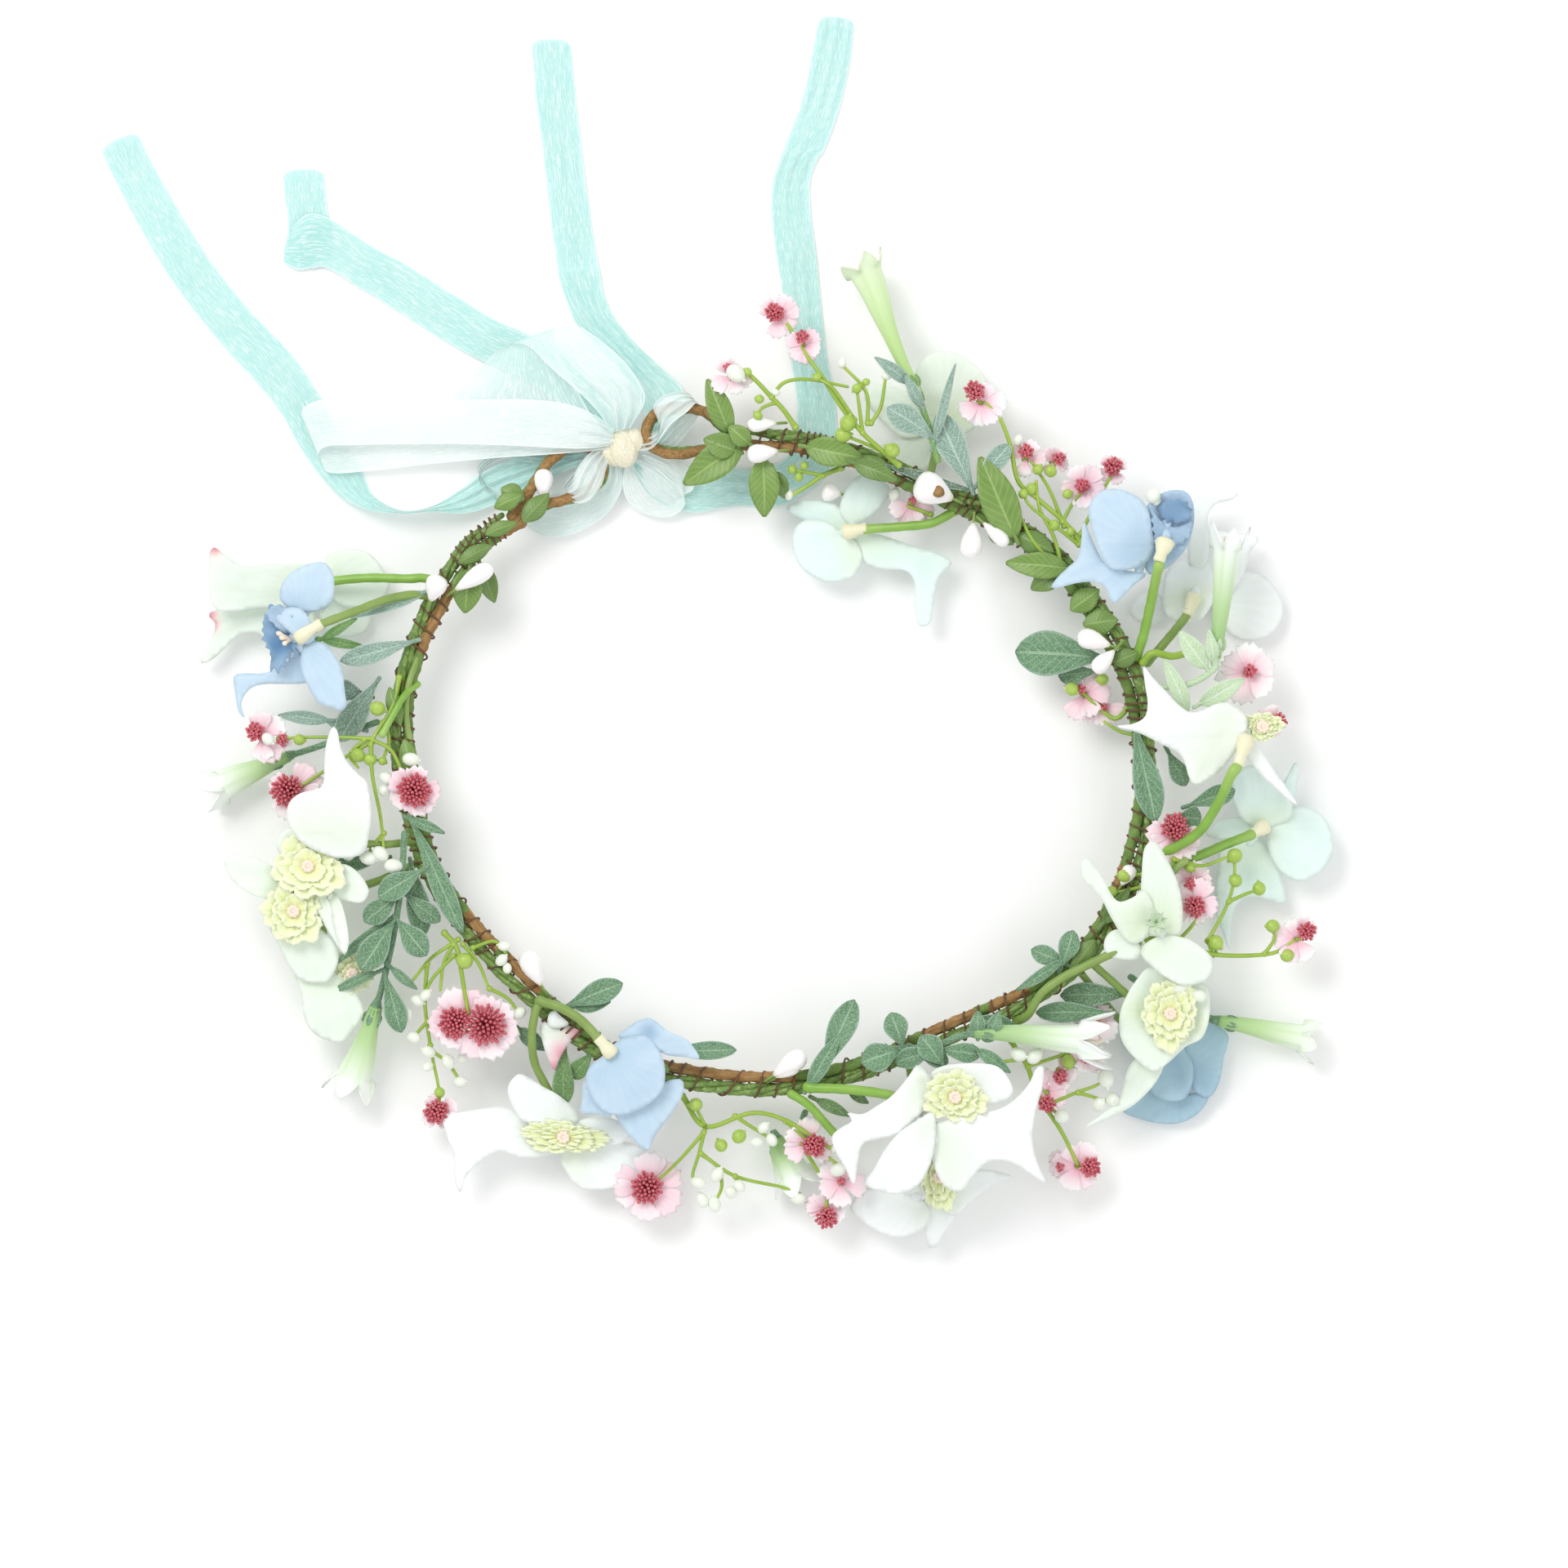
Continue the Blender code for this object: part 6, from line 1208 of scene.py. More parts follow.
# ---------------------------------------------------------------- leaves
LEAVES = {
    # name: (material, slot, body, replaces, [(base, tip, width in steps, options)])
    "leaves_trumpet_lower_left": (FROST, "frosted_leaf", "crown", (), [
        ((506, 1006, 20.8), (568, 1142, 18.6), 26, {}), ((505, 1060, 18.8), (520, 1146, 17.4), 30, dict(tint=0.4)), ((505, 1003, 21), (546, 1020, 22), 14, {}),
        ((517, 1066, 22), (466, 1098, 22.6), 32, {}), ((490, 1128, 20.6), (524, 1169, 21.2), 32, {}), ((482, 1130, 20.4), (443, 1187, 19.6), 36, {}),
        ((478, 1126, 19.8), (412, 1180, 16.5), 15, {}), ((463, 1190, 17.4), (406, 1214, 14), 14, {}), ((474, 1198, 17.4), (492, 1264, 15.2), 28, {}), ((480, 1184, 18), (512, 1211, 17), 13, {}),
        ((470, 1050, 17.6), (410, 1056, 16.8), 26, dict(tint=0.35)), ((488, 1096, 20.8), (448, 1128, 20.4), 30, dict(tint=0.2)), ((500, 1096, 20.4), (540, 1128, 19.4), 24, dict(tint=0.3))]),
    "leaves_left_silver": (SILVER, "frosted_leaf", "crown", (), [
        ((520, 726, 17.8), (431, 757, 18.2), 18, {}), ((506, 786, 17.6), (418, 810, 18.6), 26, {}), ((460, 838, 15), (413, 908, 12.6), 34, dict(tint=0.3)),
        ((402, 882, 12.4), (340, 876, 11), 18, {}), ((448, 852, 13.2), (408, 842, 12), 26, dict(tint=0.45)), ((440, 893, 11.6), (400, 884, 12), 20, {})]),
    "leaves_blue_left_calyx": (GLOSSY, "flower_stem", "crown", (), [((395, 783, 16), (450, 793, 16.5), 13, dict(tint=-0.2)), ((396, 782, 16.4), (438, 758, 17.4), 12, dict(tint=-0.2))]),
    "leaves_top_branch": (SILVER, "frosted_leaf", "trumpet_top_body", (), [
        ((1140, 536, 21.4), (1086, 501, 23), 34, {}), ((1142, 544, 20.9), (1169, 448, 23.4), 12, {}), ((1113, 470, 19.6), (1071, 440, 22.4), 18, {}), ((1128, 500, 20.6), (1108, 462, 22.4), 16, {})]),
    "leaves_top_silver_pair": (SILVER, "frosted_leaf", "crown", (), [((1188, 597, 18.6), (1148, 506, 19.6), 38, dict(tint=-0.1)), ((1196, 594, 18.4), (1236, 545, 18.6), 26, {}), ((1092, 573, 16.6), (1192, 602, 17.2), 13, dict(tint=0.6))]),
    "leaves_upper_right_calyx": (PALE, "trumpet", "crown", (), [
        ((1475, 818, 21), (1442, 774, 22.6), 28, {}), ((1452, 872, 20), (1424, 808, 21.5), 22, {}), ((1468, 862, 20), (1522, 832, 21), 26, {}), ((1484, 812, 21), (1478, 772, 23.4), 16, {})]),
    "leaves_right_frosted": (FROST, "frosted_leaf", "crown", (), [
        ((1390, 896, 19.6), (1413, 1006, 18.6), 36, {}), ((1430, 922, 17.8), (1451, 962, 17), 24, dict(tint=0.5)), ((1456, 986, 15.6), (1512, 967, 15.2), 26, {}), ((1442, 1000, 16), (1470, 1002, 16), 30, dict(tint=0.3))]),
    "leaf_inner_right": (FROST, "frosted_leaf", "crown", ("frosted_leaf_inner_right",), [((1347, 806, 14.6), (1243, 798, 12.2), 56, {}), ((1340, 822, 13), (1296, 828, 11), 26, dict(tint=0.4))]),
    "leaves_lower_right": (FROST, "frosted_leaf", "crown", (), [
        ((1299, 1182, 17.6), (1313, 1139, 18.4), 26, {}), ((1304, 1180, 17), (1262, 1162, 17), 24, dict(tint=-0.1)), ((1300, 1176, 18), (1243, 1212, 18.8), 15, {}), ((1356, 1240, 14.4), (1268, 1240, 13.6), 26, {}),
        ((1381, 1216, 13.6), (1298, 1219, 13), 30, dict(tint=0.45)), ((1196, 1262, 23.6), (1196, 1237, 24.4), 20, {}), ((1212, 1262, 23.8), (1222, 1238, 24.6), 18, {}), ((1240, 1256, 17), (1196, 1246, 17.4), 22, dict(tint=0.2))]),
    "leaves_bottom_branch": (FROST, "frosted_leaf", "crown", ("frosted_leaves_bottom",), [
        ((1010, 1305, 20), (1046, 1223, 20.4), 34, {}), ((990, 1329, 19.6), (1029, 1264, 21.8), 22, {}), ((1101, 1283, 21), (1055, 1300, 22), 36, {}), ((1104, 1278, 21.4), (1090, 1239, 22.6), 30, {}),
        ((1153, 1301, 22), (1127, 1267, 23.2), 32, {}), ((1143, 1284, 22.4), (1096, 1300, 21.4), 26, dict(tint=0.2)), ((1120, 1282, 21), (1160, 1300, 21), 24, dict(tint=0.3)), ((1150, 1284, 22), (1200, 1290, 21.4), 24, {}),
        ((1196, 1284, 22.6), (1236, 1312, 22), 18, {})]),
    "leaves_bottom_dark": (GLOSSY, "frosted_leaf", "crown", (), [((1000, 1346, 17), (1041, 1366, 16.6), 16, dict(tint=0.6)), ((1040, 1336, 17.4), (1063, 1350, 17.2), 14, dict(tint=0.7)), ((692, 1284, 15), (690, 1354, 12), 27, dict(tint=0.4)), ((724, 1290, 15), (700, 1320, 13), 24, dict(tint=0.3))]),
    "leaves_bottom_left": (FROST, "frosted_leaf", "crown", (), [((697, 1230, 18.8), (763, 1203, 19.2), 30, {}), ((704, 1232, 18.2), (748, 1226, 17.8), 20, dict(tint=0.3)), ((815, 1285, 18.8), (902, 1285, 19.2), 23, {}), ((636, 1260, 13), (668, 1286, 12), 22, dict(tint=0.3))]),
    "leaves_end_right": (SATIN, "satin_leaf", "crown", ("satin_leaves_right_end",), [
        ((894, 530, 14.2), (866, 465, 14.4), 32, {}), ((907, 546, 14.2), (837, 593, 13.6), 44, {}), ((934, 563, 14), (936, 633, 12.6), 40, {}), ((900, 552, 14.6), (862, 538, 14.8), 34, dict(tint=0.1)),
        ((918, 544, 15), (892, 522, 15.6), 26, {}), ((988, 548, 16.4), (1056, 562, 19.0), 38, {}), ((1046, 568, 20.4), (1098, 590, 22.6), 26, dict(tint=0.3)), ((948, 578, 12), (962, 610, 11), 22, dict(tint=0.3))]),
    "leaves_top_right_satin": (SATIN, "satin_leaf", "crown", ("satin_leaves_top_right",), [
        ((1242, 658, 19.2), (1199, 561, 20), 48, {}), ((1306, 697, 18.6), (1231, 690, 18), 34, {}), ((1300, 700, 17.6), (1262, 722, 16), 30, dict(tint=0.3)), ((1212, 622, 18.4), (1240, 600, 18.6), 22, dict(tint=0.2)),
        ((576, 698, 17), (570, 751, 16), 40, dict(tint=0.1)), ((588, 690, 16), (606, 738, 14), 26, dict(tint=0.3)), ((1350, 1130, 17.6), (1382, 1088, 18), 20, dict(tint=0.4))]),
}
for name, (material, slot_, body, gone, items) in LEAVES.items():
    b = Build()
    for k, (base, tip, width, opt) in enumerate(items):
        leaf(b, G(*base), G(*tip), width * STEP, **{**dict(lift=1.3, fold=0.22, wave=0.16, seed=hash_name(name) + k, droop=-0.4, shape="spoon" if slot_ == "frosted_leaf" and width > 22 else "ovate"), **opt})
        q0, q1 = G(*base), G(*tip)
        b.tube(np.array([q0 - unit(q1 - q0) * 2.0, q0, q0 + (q1 - q0) * 0.18 + UP * 0.2]), (0.42, 0.40, 0.18), 6, fq=(opt.get("tint", 0.0), 0.5, 0))
    b.make(name, material, body, slot=slot_, replaces=gone, solid=0.32)


# ---------------------------------------------------------------- glossy white berries
def berry(b, wide, tip, r, seed=0, hollow=False):
    """A teardrop berry, round at the wide end and drawn out to its stalk."""
    wide, tip = G(*wide), G(*tip)
    prof = ((0.0, 0.25), (0.03, 0.52), (0.10, 0.80), (0.22, 0.98), (0.38, 1.0), (0.56, 0.88), (0.74, 0.62), (0.88, 0.38), (0.96, 0.24), (1.0, 0.16))
    b.lathe(tip, wide, [(1 - t, x * r) for t, x in reversed(prof)], 18, fq=(0, rand(seed).uniform(), 0))


BERRIES = {
    "berries_left": (("white_berries_left",), [((540, 706, 21.2), (529, 737, 20), 2.9), ((604, 694, 20.4), (559, 723, 20), 2.5), ((666, 574, 9.6), (664, 610, 10.4), 2.5)]),
    "berries_top": (("white_berries_top",), [((1187, 684, 20), (1191, 641, 20.6), 2.9), ((1233, 668, 19.4), (1203, 641, 20.4), 1.9), ((1120, 592, 20.4), (1166, 612, 20), 4.3),
                                             ((915, 522, 16), (951, 519, 15.6), 1.9), ((915, 558, 17), (953, 553, 16.6), 2.5), ((1006, 600, 6.6), (1030, 604, 6.8), 2.6)]),
    "berries_right": (("white_berries_right",), [((1318, 779, 21), (1358, 791, 20.4), 2.7), ((1338, 823, 20.6), (1363, 797, 20.4), 2.3)]),
    "berries_lower": ((), [((986, 1289, 19.6), (947, 1316, 18.6), 2.7), ((978, 1300, 19), (950, 1318, 18), 2.2), ((644, 1165, 19.4), (664, 1206, 19), 2.9), ((1386, 1060, 17.6), (1372, 1084, 17.6), 2.0)]),
}
for name, (gone, items) in BERRIES.items():
    b, st = Build(), Build()
    for k, (wide, tip, r) in enumerate(items):
        berry(b, wide, tip, r, k)
        q, d = G(*tip), unit(G(*tip) - G(*wide))
        st.tube(np.array([q - d * 0.8, q + d * 1.2 - UP * 0.3, q + d * 2.6 - UP * 1.6]), 0.38, 7, fq=(0, 0.3, 0))
    b.make(name, BERRY, slot="white_berry", replaces=gone)
    st.make(name + "_stalks", STEM_OLIVE, slot="flower_stem")
b = Build()
b.lathe(G(1152, 606, 22.2), G(1146, 603, 24.5), ((0, 0.9), (0.5, 1.5), (0.85, 1.55), (1, 1.2)), 12, fq=(0, 0.2, 0))
b.make("berry_top_cap", TWIG, slot="twig")


# ---------------------------------------------------------------- blossom and berry sprays
def blossom(petals, whites, tufts, cups, centre, z, tuft=None, size=30, count=5, turn=0.0, seed=0, tilt=(0.0, 0.0), only=None, tuft_r=13, dense=26, white=0.35):
    """A small blossom: notched pink petals, some fading to white, a fan of crimson beaded stamens and a cup below."""
    g = rand(seed + 500)
    c = np.array(centre, float)
    t = np.array(tuft if tuft is not None else centre, float)
    rows, cols = 9, 9
    angles = only if only is not None else [turn + 360 * k / count for k in range(count)]
    for k, deg in enumerate(angles):
        a = math.radians(deg + g.uniform(-6, 6))
        L = size * g.uniform(0.88, 1.12)
        hw = L * 0.42
        up = g.uniform(0.2, 2.2)
        P = np.zeros((rows, cols, 3))
        F = np.zeros((rows, cols, 3))
        for i in range(rows):
            s = i / (rows - 1)
            w = hw * (0.18 + 0.82 * math.sin(min(1.0, s * 1.06) * math.pi * 0.62) ** 1.2)
            for j in range(cols):
                x = -1 + 2 * j / (cols - 1)
                notch = 1 - 0.16 * s**3 * (math.cos(3 * math.pi * x) * 0.5 + 0.5) - 0.20 * s * x * x
                r = L * (0.10 + 0.90 * s * notch)
                du = r * math.cos(a) - x * w * math.sin(a)
                dv = r * math.sin(a) + x * w * math.cos(a)
                zz = z + up * s**1.5 - 1.1 * s**4 + 0.9 * x * x * s + 0.25 * math.sin(9 * x + 5 * s + k) * s
                zz += (tilt[0] * du + tilt[1] * dv) * STEP
                P[i, j] = G(c[0] + du, c[1] + dv, zz)
                F[i, j] = (x, s, 1 - max(abs(x), s))
        P[:, :, 2] = np.maximum(P[:, :, 2], 0.3)
        pale = white + (0.5 if k % 2 else 0.0)
        Q = np.zeros((rows, cols, 3))
        Q[..., 0] = np.clip(np.linspace(0, 1, rows)[:, None] * 1.3 - 0.35, 0, 1) * pale
        Q[..., 1] = g.uniform()
        Q[..., 2] = a + np.linspace(-0.5, 0.5, cols)[None, :]
        petals.grid(P, fp=F, fq=Q)
    base = G(t[0] * 0.6 + c[0] * 0.4, t[1] * 0.6 + c[1] * 0.4, z + 0.3)
    for k in range(dense):
        a = k * 2.39996
        rr = tuft_r * math.sqrt((k + 0.5) / dense)
        q = G(t[0] + rr * math.cos(a), t[1] + rr * math.sin(a), z + 3.6 - 1.6 * (rr / tuft_r) ** 2 + g.uniform(-0.6, 0.6) + (tilt[0] * rr * math.cos(a) + tilt[1] * rr * math.sin(a)) * STEP)
        tufts.lathe(base, q, ((0, 0.2), (0.7, 0.18), (0.78, 0.34), (0.88, 0.50), (0.97, 0.38), (1, 0.2)), 6, fq=(0, g.uniform(), 0))
    cups.lathe(G(c[0], c[1], z - 2.6), G(c[0], c[1], z - 0.35), ((0, 0.55), (0.3, 0.9), (0.7, 1.3), (1, 1.2)), 10, fq=(0, g.uniform(), 0))


SPRAYS = {
    "blossom_spray_top": dict(
        stems=[((1100, 571, 19), (1078, 552, 20.5), (1056, 532, 21), (1030, 500, 21), (1006, 462, 19.4), (990, 440, 18), (964, 398, 16)),
               ((1056, 532, 21), (1049, 480, 22)), ((1046, 516, 21.4), (1020, 478, 22), (1000, 465, 21)), ((1062, 520, 21), (1060, 482, 21.6), (1032, 450, 21)), ((1066, 520, 20.8), (1078, 500, 20.8), (1084, 464, 20.2)),
               ((1090, 560, 19.6), (1060, 545, 19.4), (1030, 533, 19))],
        blossoms=[dict(centre=(954, 388), z=15.5, tuft=(948, 384), only=[-150, -70, -20, 30, 95], size=27, tuft_r=13, dense=30, seed=1), dict(centre=(984, 424), z=17.6, tuft=(982, 414), only=[-40, 20, 75, 130, 200], size=26, tuft_r=9, dense=16, seed=2, white=0.2)],
        green=[(1038, 520, 21.6, 2.3), (1032, 534, 19.6, 2.2), (1092, 553, 20.6, 2.1), (1049, 478, 22.6, 1.4), (1000, 464, 21.4, 1.2), (1060, 470, 21.6, 1.1)], white=[(1031, 447, 21.4, 1.2), (1085, 462, 20.6, 1.2)]),
    "blossom_spray_small": dict(
        stems=[((974, 524, 17), (960, 504, 18), (945, 488, 18.4), (915, 458, 17.4), (900, 462, 16.8)), ((945, 488, 18.4), (960, 470, 18.6), (990, 466, 18.6), (1038, 475, 18.4)), ((950, 494, 18), (934, 500, 17.4), (928, 508, 17.2))],
        blossoms=[dict(centre=(896, 462), z=16.6, tuft=(890, 450), only=[-120, -60, 0, 60, 150], size=27, tuft_r=5, dense=7, seed=3, white=0.7)],
        green=[(915, 457, 18, 1.3), (930, 490, 18, 1.3), (928, 510, 17.2, 1.3)], white=[(901, 459, 19.6, 2.3), (950, 482, 18.8, 1.0)]),
    "blossom_spray_upper_right": dict(
        stems=[((1322, 664, 18), (1302, 640, 18.5), (1270, 612, 18.4), (1246, 590, 18), (1236, 545, 18), (1222, 510, 18), (1206, 494, 17.5)), ((1300, 640, 18.5), (1312, 618, 18), (1326, 600, 17.6)),
               ((1322, 655, 18), (1344, 612, 17), (1362, 580, 16.2)), ((1302, 645, 18), (1284, 600, 17), (1262, 566, 16.6)), ((1320, 668, 18.4), (1300, 652, 19), (1262, 622, 19.4), (1252, 606, 19.2)),
               ((1300, 700, 18.2), (1290, 660, 19), (1272, 624, 19), (1268, 590, 18.4)), ((1286, 690, 18.6), (1262, 660, 19), (1246, 628, 18.6))],
        blossoms=[dict(centre=(1200, 494), z=17.5, tuft=(1192, 480), only=[-60, 0, 45, 95, 150], size=31, tuft_r=14, dense=30, seed=4, white=0.7), dict(centre=(1256, 562), z=15.6, tuft=(1256, 553), only=[-150, -70, 10, 100], size=26, tuft_r=10, dense=18, seed=5, white=0.5),
                  dict(centre=(1326, 596), z=16.8, tuft=(1324, 596), size=30, tuft_r=10, dense=22, seed=6, turn=20), dict(centre=(1362, 576), z=15.4, tuft=(1362, 572), only=[-120, -30, 60, 160], size=22, tuft_r=13, dense=28, seed=7),
                  dict(centre=(1290, 566), z=14, tuft=(1296, 562), only=[-140, -60, 20, 120], size=22, tuft_r=9, dense=14, seed=8)],
        green=[(1262, 600, 18.6, 1.7), (1270, 576, 18, 1.5), (1286, 578, 18, 1.7), (1252, 606, 19.6, 1.4), (1306, 606, 18.6, 1.4), (1290, 644, 19, 1.6), (1310, 652, 19, 1.3)], white=[(1246, 540, 17.6, 1.3)]),
    "blossom_spray_right": dict(
        stems=[((1404, 1150, 15), (1444, 1150, 15.5), (1483, 1168, 15), (1554, 1168, 13), (1584, 1152, 12)), ((1444, 1150, 15.5), (1462, 1128, 15.5), (1464, 1104, 15.5)), ((1478, 1152, 15.2), (1500, 1112, 15), (1510, 1080, 15), (1511, 1052, 15)),
               ((1504, 1104, 15), (1526, 1094, 15), (1540, 1090, 14.8)), ((1548, 1168, 13.2), (1560, 1150, 13.4), (1558, 1137, 13.6)), ((1478, 1152, 15.2), (1487, 1172, 14), (1489, 1152, 14.6)), ((1436, 1052, 18.4), (1470, 1060, 17), (1500, 1050, 16.4)),
               ((1400, 1070, 17), (1376, 1072, 18)), ((1396, 1086, 17), (1360, 1094, 17.6))],
        blossoms=[dict(centre=(1588, 1150), z=12, tuft=(1600, 1140), only=[-170, -110, -50, 60, 120], size=30, tuft_r=13, dense=28, seed=9, white=0.6), dict(centre=(1462, 1106), z=15.5, tuft=(1462, 1110), size=32, tuft_r=15, dense=34, seed=10, white=0.35, turn=10),
                  dict(centre=(1436, 1024), z=17.4, tuft=(1437, 1012), only=[0, 45, 95, 150, 190], size=36, tuft_r=19, dense=46, seed=11, white=0.3), dict(centre=(1560, 882), z=12.4, tuft=(1565, 884), only=[-170, -100, 100, 170], size=22, tuft_r=12, dense=24, seed=12),
                  dict(centre=(1526, 824), z=14.5, tuft=(1530, 822), only=[-150, -80, -20, 40, 110, 165], size=38, tuft_r=9, dense=16, seed=13, white=0.75), dict(centre=(1458, 1078), z=14.4, tuft=(1456, 1082), only=[-120, -60, 0, 180], size=26, tuft_r=8, dense=12, seed=14, white=0.5)],
        green=[(1511, 1048, 15.4, 2.1), (1512, 1078, 15.4, 1.9), (1541, 1088, 15, 1.9), (1558, 1134, 13.8, 1.9), (1576, 1170, 12.6, 1.9), (1488, 1154, 15.4, 2.1), (1437, 1058, 16.6, 1.6), (1456, 1061, 16.4, 1.6), (1376, 1072, 18.2, 1.9), (1360, 1092, 17.8, 1.7)], white=[(1444, 1208, 20.6, 1.9), (1466, 1218, 20.4, 1.9)]),
    "blossom_spray_lower_right": dict(
        stems=[((1236, 1272, 13), (1258, 1306, 12.6), (1270, 1340, 12), (1300, 1386, 10.5), (1320, 1426, 9)), ((1290, 1350, 11.6), (1318, 1338, 12), (1340, 1330, 12.6), (1354, 1322, 13)), ((1258, 1306, 12.6), (1300, 1292, 12), (1336, 1280, 11.6)),
               ((1320, 1338, 12.2), (1348, 1346, 12)), ((1280, 1352, 11.8), (1298, 1366, 12)), ((1218, 1300, 19), (1250, 1296, 19.4), (1266, 1292, 19.4))],
        blossoms=[dict(centre=(1320, 1428), z=8.6, tuft=(1336, 1430), only=[-120, -60, 60, 120, 180], size=32, tuft_r=14, dense=32, seed=15, white=0.45), dict(centre=(1306, 1428), z=8.0, tuft=(1298, 1430), only=[-140, 150], size=24, tuft_r=6, dense=8, seed=16),
                  dict(centre=(1282, 1338), z=11.4, tuft=(1282, 1352), only=[-100, -50, 20, 150], size=32, tuft_r=12, dense=26, seed=17, white=0.3), dict(centre=(1298, 1312), z=10.4, tuft=(1298, 1318), only=[-60, 20, 100], size=24, tuft_r=10, dense=20, seed=18),
                  dict(centre=(1340, 1252), z=11.4, tuft=(1344, 1248), only=[-160, -100, -40, 30, 110], size=32, tuft_r=6, dense=8, seed=19, white=0.7), dict(centre=(1332, 1292), z=11.4, tuft=(1330, 1296), only=[60, 110, 160, 0], size=26, tuft_r=7, dense=10, seed=20, white=0.7)],
        green=[(1308, 1300, 12.6, 2.0)], white=[(1354, 1320, 13.6, 2.3), (1362, 1346, 12.6, 2.1), (1346, 1352, 12, 1.9), (1300, 1367, 12.6, 2.1), (1246, 1290, 19.8, 2.0), (1266, 1292, 19.8, 2.0)]),
    "blossom_spray_bottom": dict(
        stems=[((836, 1342, 13.6), (864, 1379, 15), (920, 1362, 16.6), (962, 1371, 16.8), (1000, 1395, 16), (1022, 1408, 15.4)), ((962, 1372, 16.4), (996, 1402, 15.2), (1024, 1424, 14.4)), ((864, 1379, 15), (856, 1412, 14), (848, 1440, 13), (855, 1452, 12.8)),
               ((862, 1386, 14.8), (836, 1416, 13.4), (818, 1434, 12), (802, 1448, 11)), ((858, 1412, 14), (900, 1440, 12.6), (958, 1454, 11), (980, 1462, 10.4)), ((864, 1379, 15), (852, 1355, 15.4)), ((900, 1366, 16.2), (928, 1384, 16), (944, 1394, 15.6)),
               ((880, 1430, 13), (884, 1452, 12.2), (876, 1472, 11.6)), ((900, 1440, 12.6), (905, 1452, 12.4)), ((980, 1400, 15), (1010, 1450, 12.6), (1012, 1484, 10.6))],
        blossoms=[dict(centre=(990, 1398), z=15.2, tuft=(997, 1402), only=[-150, -90, 150, 200, 30], size=32, tuft_r=16, dense=40, seed=21, white=0.4), dict(centre=(1030, 1448), z=12.4, tuft=(1030, 1446), size=33, tuft_r=5, dense=6, seed=22, white=0.5, turn=15),
                  dict(centre=(1012, 1482), z=9.8, tuft=(1012, 1492), only=[-150, -95, -30, 20, 190], size=26, tuft_r=15, dense=32, seed=23, white=0.6), dict(centre=(794, 1455), z=9.8, tuft=(792, 1455), only=[-30, -90, -160, 100, 35, 170], size=47, tuft_r=22, dense=50, seed=24, white=0.25)],
        green=[(852, 1352, 15.8, 1.9), (883, 1402, 14.6, 1.8), (905, 1391, 15.4, 2.0)], white=[(927, 1398, 16, 1.5), (945, 1395, 16, 1.5), (935, 1380, 16.6, 1.5), (855, 1448, 13.4, 1.8), (878, 1438, 13.4, 1.8), (895, 1460, 12.4, 1.7), (905, 1452, 13, 1.5), (860, 1470, 11.8, 1.8), (875, 1475, 11.8, 1.8), (978, 1468, 11, 1.6), (1026, 1432, 15.4, 1.9), (1022, 1406, 16, 1.0)]),
    "blossom_spray_lower_left": dict(
        stems=[((545, 1142, 17), (560, 1160, 17.5), (566, 1190, 18), (574, 1240, 17.6)), ((562, 1150, 17.4), (530, 1172, 17.2), (506, 1200, 16.4)), ((556, 1156, 17.4), (544, 1180, 17.2), (540, 1212, 16.6)), ((568, 1156, 17.4), (586, 1178, 17.4), (598, 1206, 17)),
               ((524, 1180, 16.8), (521, 1230, 15), (528, 1286, 12.4), (536, 1328, 10.6), (538, 1352, 9.6)), ((530, 1288, 12.4), (548, 1300, 12)), ((524, 1250, 14.2), (508, 1268, 13.4)), ((527, 1280, 12.8), (522, 1292, 12.4)), ((580, 1160, 17.6), (606, 1152, 18), (620, 1166, 18.2)),
               ((556, 1170, 17.6), (532, 1196, 17), (520, 1218, 16.4)), ((600, 1210, 16.8), (622, 1222, 16.2), (636, 1240, 15.6)), ((548, 1300, 11.8), (562, 1322, 11.2))],
        blossoms=[dict(centre=(566, 1250), z=16.6, tuft=(558, 1252), only=[-160, -110, -60, 130, 175], size=42, tuft_r=22, dense=56, seed=25, white=0.2), dict(centre=(594, 1254), z=17.6, tuft=(596, 1254), only=[-80, -30, 20, 75, 120], size=44, tuft_r=28, dense=64, seed=26, white=0.45),
                  dict(centre=(538, 1362), z=9.2, tuft=(534, 1362), only=[-120, -30, 60, 150], size=25, tuft_r=17, dense=40, seed=27, white=0.3)],
        green=[(570, 1176, 18.6, 2.3), (538, 1338, 10.8, 1.5)], white=[(507, 1270, 13.8, 1.6), (542, 1268, 13.4, 1.5), (525, 1288, 13, 1.7), (512, 1225, 15.4, 1.6), (522, 1218, 16.6, 1.5), (549, 1300, 12.4, 1.8), (568, 1295, 12, 1.6), (563, 1325, 11.4, 1.6), (618, 1158, 18.8, 1.4), (615, 1175, 18.6, 1.5), (622, 1185, 18.2, 1.3), (637, 1240, 16, 1.6), (500, 1242, 15, 1.4), (524, 1306, 12.4, 1.4)]),
    "blossom_spray_left": dict(
        stems=[((490, 830, 17), (482, 866, 18.6), (460, 902, 20.4), (456, 912, 20.4)), ((458, 905, 20.4), (420, 903, 18.6), (374, 903, 17), (344, 904, 16)), ((458, 906, 20.4), (480, 918, 21.4), (492, 940, 21.6), (496, 958, 21.4)), ((456, 912, 20.4), (458, 950, 21), (468, 1000, 21.6), (472, 1040, 21.6)),
               ((458, 908, 20), (420, 930, 18), (380, 956, 16.6), (360, 966, 16)), ((472, 1020, 21.6), (458, 1036, 21.4), (453, 1048, 21.4)), ((448, 906, 19.8), (430, 924, 19.4), (440, 940, 19)), ((470, 885, 19), (478, 905, 19.4), (470, 932, 19))],
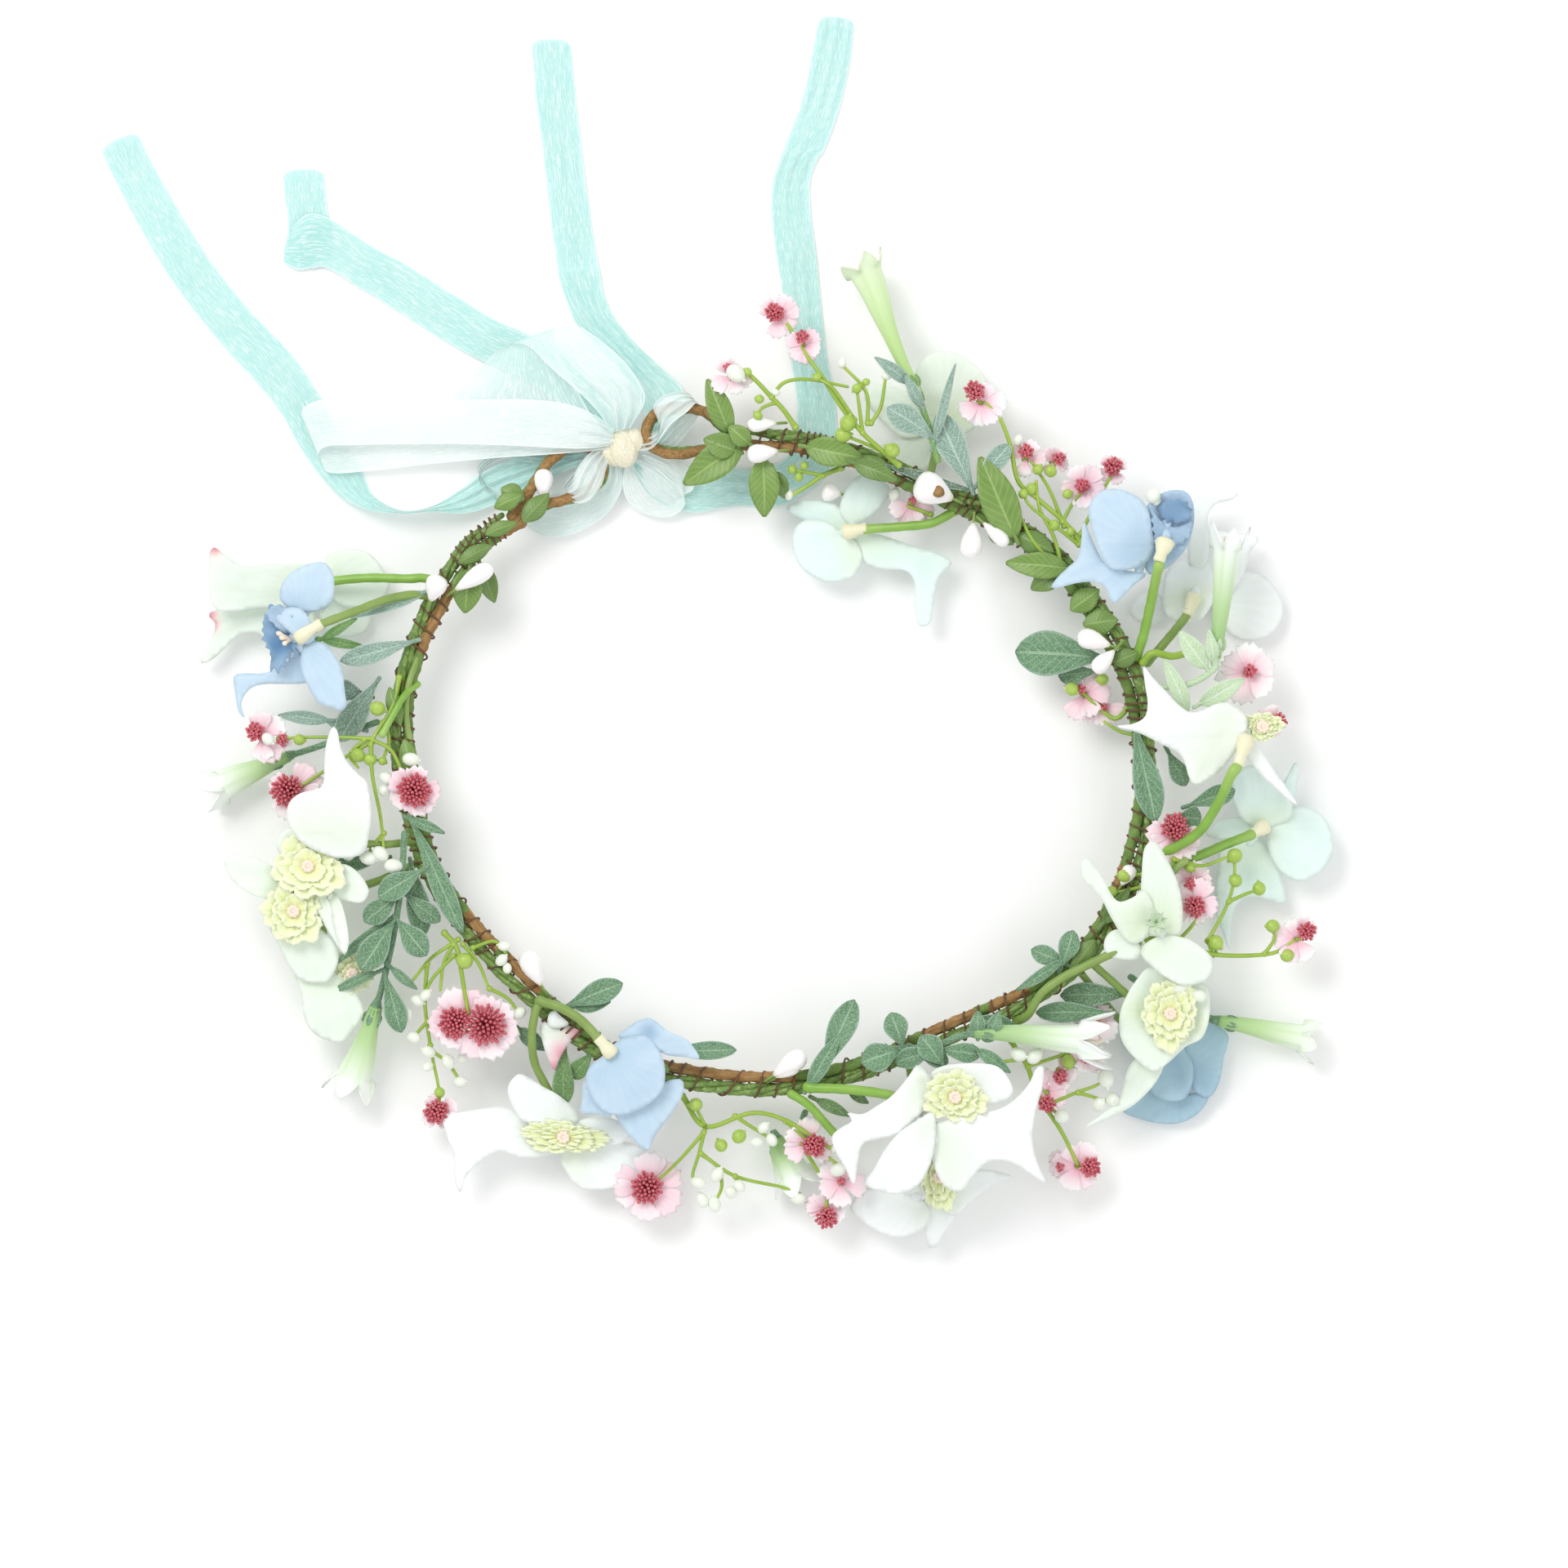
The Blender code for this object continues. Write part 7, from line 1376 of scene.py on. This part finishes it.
        blossoms=[dict(centre=(510, 968), z=21.4, tuft=(510, 968), only=[0, 60, 95, 160, 215, 280], size=36, tuft_r=23, dense=60, seed=28, white=0.15), dict(centre=(322, 902), z=15.8, tuft=(314, 896), only=[-90, -45, 60, 90], size=34, tuft_r=13, dense=30, seed=29, white=0.6),
                  dict(centre=(344, 906), z=15.2, tuft=(347, 906), only=[-60, 20, 90], size=14, tuft_r=8, dense=12, seed=30, white=0.4), dict(centre=(362, 968), z=15.4, tuft=(352, 968), only=[-20, 15, -60, 120, 200], size=36, tuft_r=22, dense=54, seed=31, white=0.3)],
        green=[(464, 868, 19.8, 2.1), (440, 925, 19.6, 2.0), (455, 930, 19.8, 1.8), (368, 906, 17.6, 1.6), (470, 932, 19.4, 1.2)], white=[(453, 1050, 21.8, 2.0), (468, 1045, 22.2, 2.0), (484, 1060, 22, 2.1), (505, 930, 21.4, 1.9), (475, 953, 21, 1.7), (472, 968, 20.6, 1.7), (330, 905, 18.8, 1.6), (430, 1048, 20, 1.2)]),
    "blossom_spray_inner_right": dict(
        stems=[((1382, 866, 13.6), (1366, 880, 12.6), (1345, 866, 11.6), (1326, 848, 11)), ((1390, 900, 13.6), (1372, 896, 12.4), (1352, 884, 11.6))],
        blossoms=[dict(centre=(1328, 850), z=11, tuft=(1324, 844), only=[-130, -60, -10, 70, 120], size=34, tuft_r=6, dense=8, seed=32, white=0.2), dict(centre=(1350, 862), z=10, tuft=(1352, 866), only=[30, 100, 150], size=30, tuft_r=5, dense=5, seed=33, white=0.4)],
        green=[(1312, 844, 14, 1.9), (1350, 832, 12.4, 1.7)], white=[]),
    "blossom_spray_inner_top": dict(
        stems=[((1030, 573, 12.6), (1008, 582, 12), (990, 594, 11.4), (970, 606, 10.8)), ((1008, 582, 12), (985, 578, 12), (972, 576, 12)), ((1140, 630, 12.6), (1124, 624, 11.4), (1112, 620, 11))],
        blossoms=[dict(centre=(1116, 618), z=10.4, tuft=(1118, 612), only=[20, 75, 120, 165, -60], size=28, tuft_r=5, dense=5, seed=34, white=0.2)],
        green=[(970, 575, 12.2, 1.3), (978, 584, 12, 1.3), (985, 570, 12.4, 1.2)], white=[(1095, 605, 12.6, 1.5), (966, 606, 11, 1.2)]),
}
for name, kit in SPRAYS.items():
    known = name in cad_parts
    b = Build()
    for k, route in enumerate(kit["stems"]):
        line = path(route, 0.9)
        s = np.linspace(0, 1, len(line))
        b.tube(line, (0.62 if k == 0 else 0.48) * (1.12 - 0.3 * s) + 0.16 * np.exp(-((s / 0.05) ** 2)), 8, fq=(0, 0.1 * (k % 9), 0))
        b.ball(line[0], 0.85 if k else 1.0, 8, 5, fq=(0, 0.4, 0))
    pet, tuf = Build(), Build()
    for kw in kit["blossoms"]:
        blossom(pet, None, tuf, b, **kw)
    b.make(name + "_stems", SPRAY, slot="flower_stem")
    pet.make(name + "_petals", PINK, slot="pink_flower", solid=0.3, replaces=(name,) if known else ())
    tuf.make(name + "_stamens", CRIMSON, slot="pink_flower")
    for kind, material, slot_ in (("green", GREEN_BERRY, "flower_stem"), ("white", RICE, "white_berry")):
        if not kit[kind]:
            continue
        b = Build()
        for k, (u, v, z, r) in enumerate(kit[kind]):
            g = rand(k + hash_name(name))
            ax = unit((g.uniform(-1, 1), g.uniform(-1, 1), g.uniform(-0.3, 0.6)))
            b.ball(G(u, v, z), r * 0.94, 12, 8, axis=ax, stretch=1.28 if kind == "white" else 1.05, fq=(0, g.uniform(), 0))
            b.ball(G(u, v, z) + ax * r * (1.22 if kind == "white" else 1.0), r * 0.26, 6, 4, axis=ax, fq=(0, 0.9, 0))
        b.make(name + "_berries_" + kind, material, slot=slot_)


# ---------------------------------------------------------------- floor, light and camera
floor_mesh = bpy.data.meshes.new("floor")
floor_mesh.from_pydata([(-3, -3, -0.0004), (3, -3, -0.0004), (3, 3, -0.0004), (-3, 3, -0.0004)], [], [(0, 1, 2, 3)])
floor = bpy.data.objects.new("floor", floor_mesh)
bpy.context.scene.collection.objects.link(floor)
fm = Mat("floor_pale", 0.9)
fm.colour(fm.mix(fm.noise(60.0, 2.0), C(250, 251, 251), C(254, 254, 254)))
floor_mesh.materials.append(fm.m)


def area(name, place, look, size, power, colour=(1, 1, 1)):
    light = bpy.data.lights.new(name, "AREA")
    light.shape, light.size, light.energy, light.color = "DISK", size, power, colour
    obj = bpy.data.objects.new(name, light)
    bpy.context.scene.collection.objects.link(obj)
    obj.location = place
    obj.rotation_euler = (Vector(look) - Vector(place)).to_track_quat("-Z", "Y").to_euler()


area("key", (-0.55, 0.65, 1.15), (0, 0, 0), 0.75, 8.6, (1.0, 0.99, 0.97))
area("fill", (0.9, -0.5, 1.2), (0, 0, 0), 1.2, 4.0, (0.97, 0.99, 1.0))
world = bpy.data.worlds.new("studio")
bpy.context.scene.world = world
world.use_nodes = True
world.node_tree.nodes["Background"].inputs[0].default_value = (1, 1, 1, 1)
world.node_tree.nodes["Background"].inputs[1].default_value = 0.77
bpy.context.scene.view_settings.view_transform = "Standard"

camera = bpy.data.cameras.new("camera")
camera.sensor_width = 36
camera.lens = 192.8
camera.clip_start, camera.clip_end = 0.05, 20
cam = bpy.data.objects.new("camera", camera)
bpy.context.scene.collection.objects.link(cam)
cam.location = (0.01787, -0.04045, 2.2)
bpy.context.scene.camera = cam

bpy.context.view_layer.update()
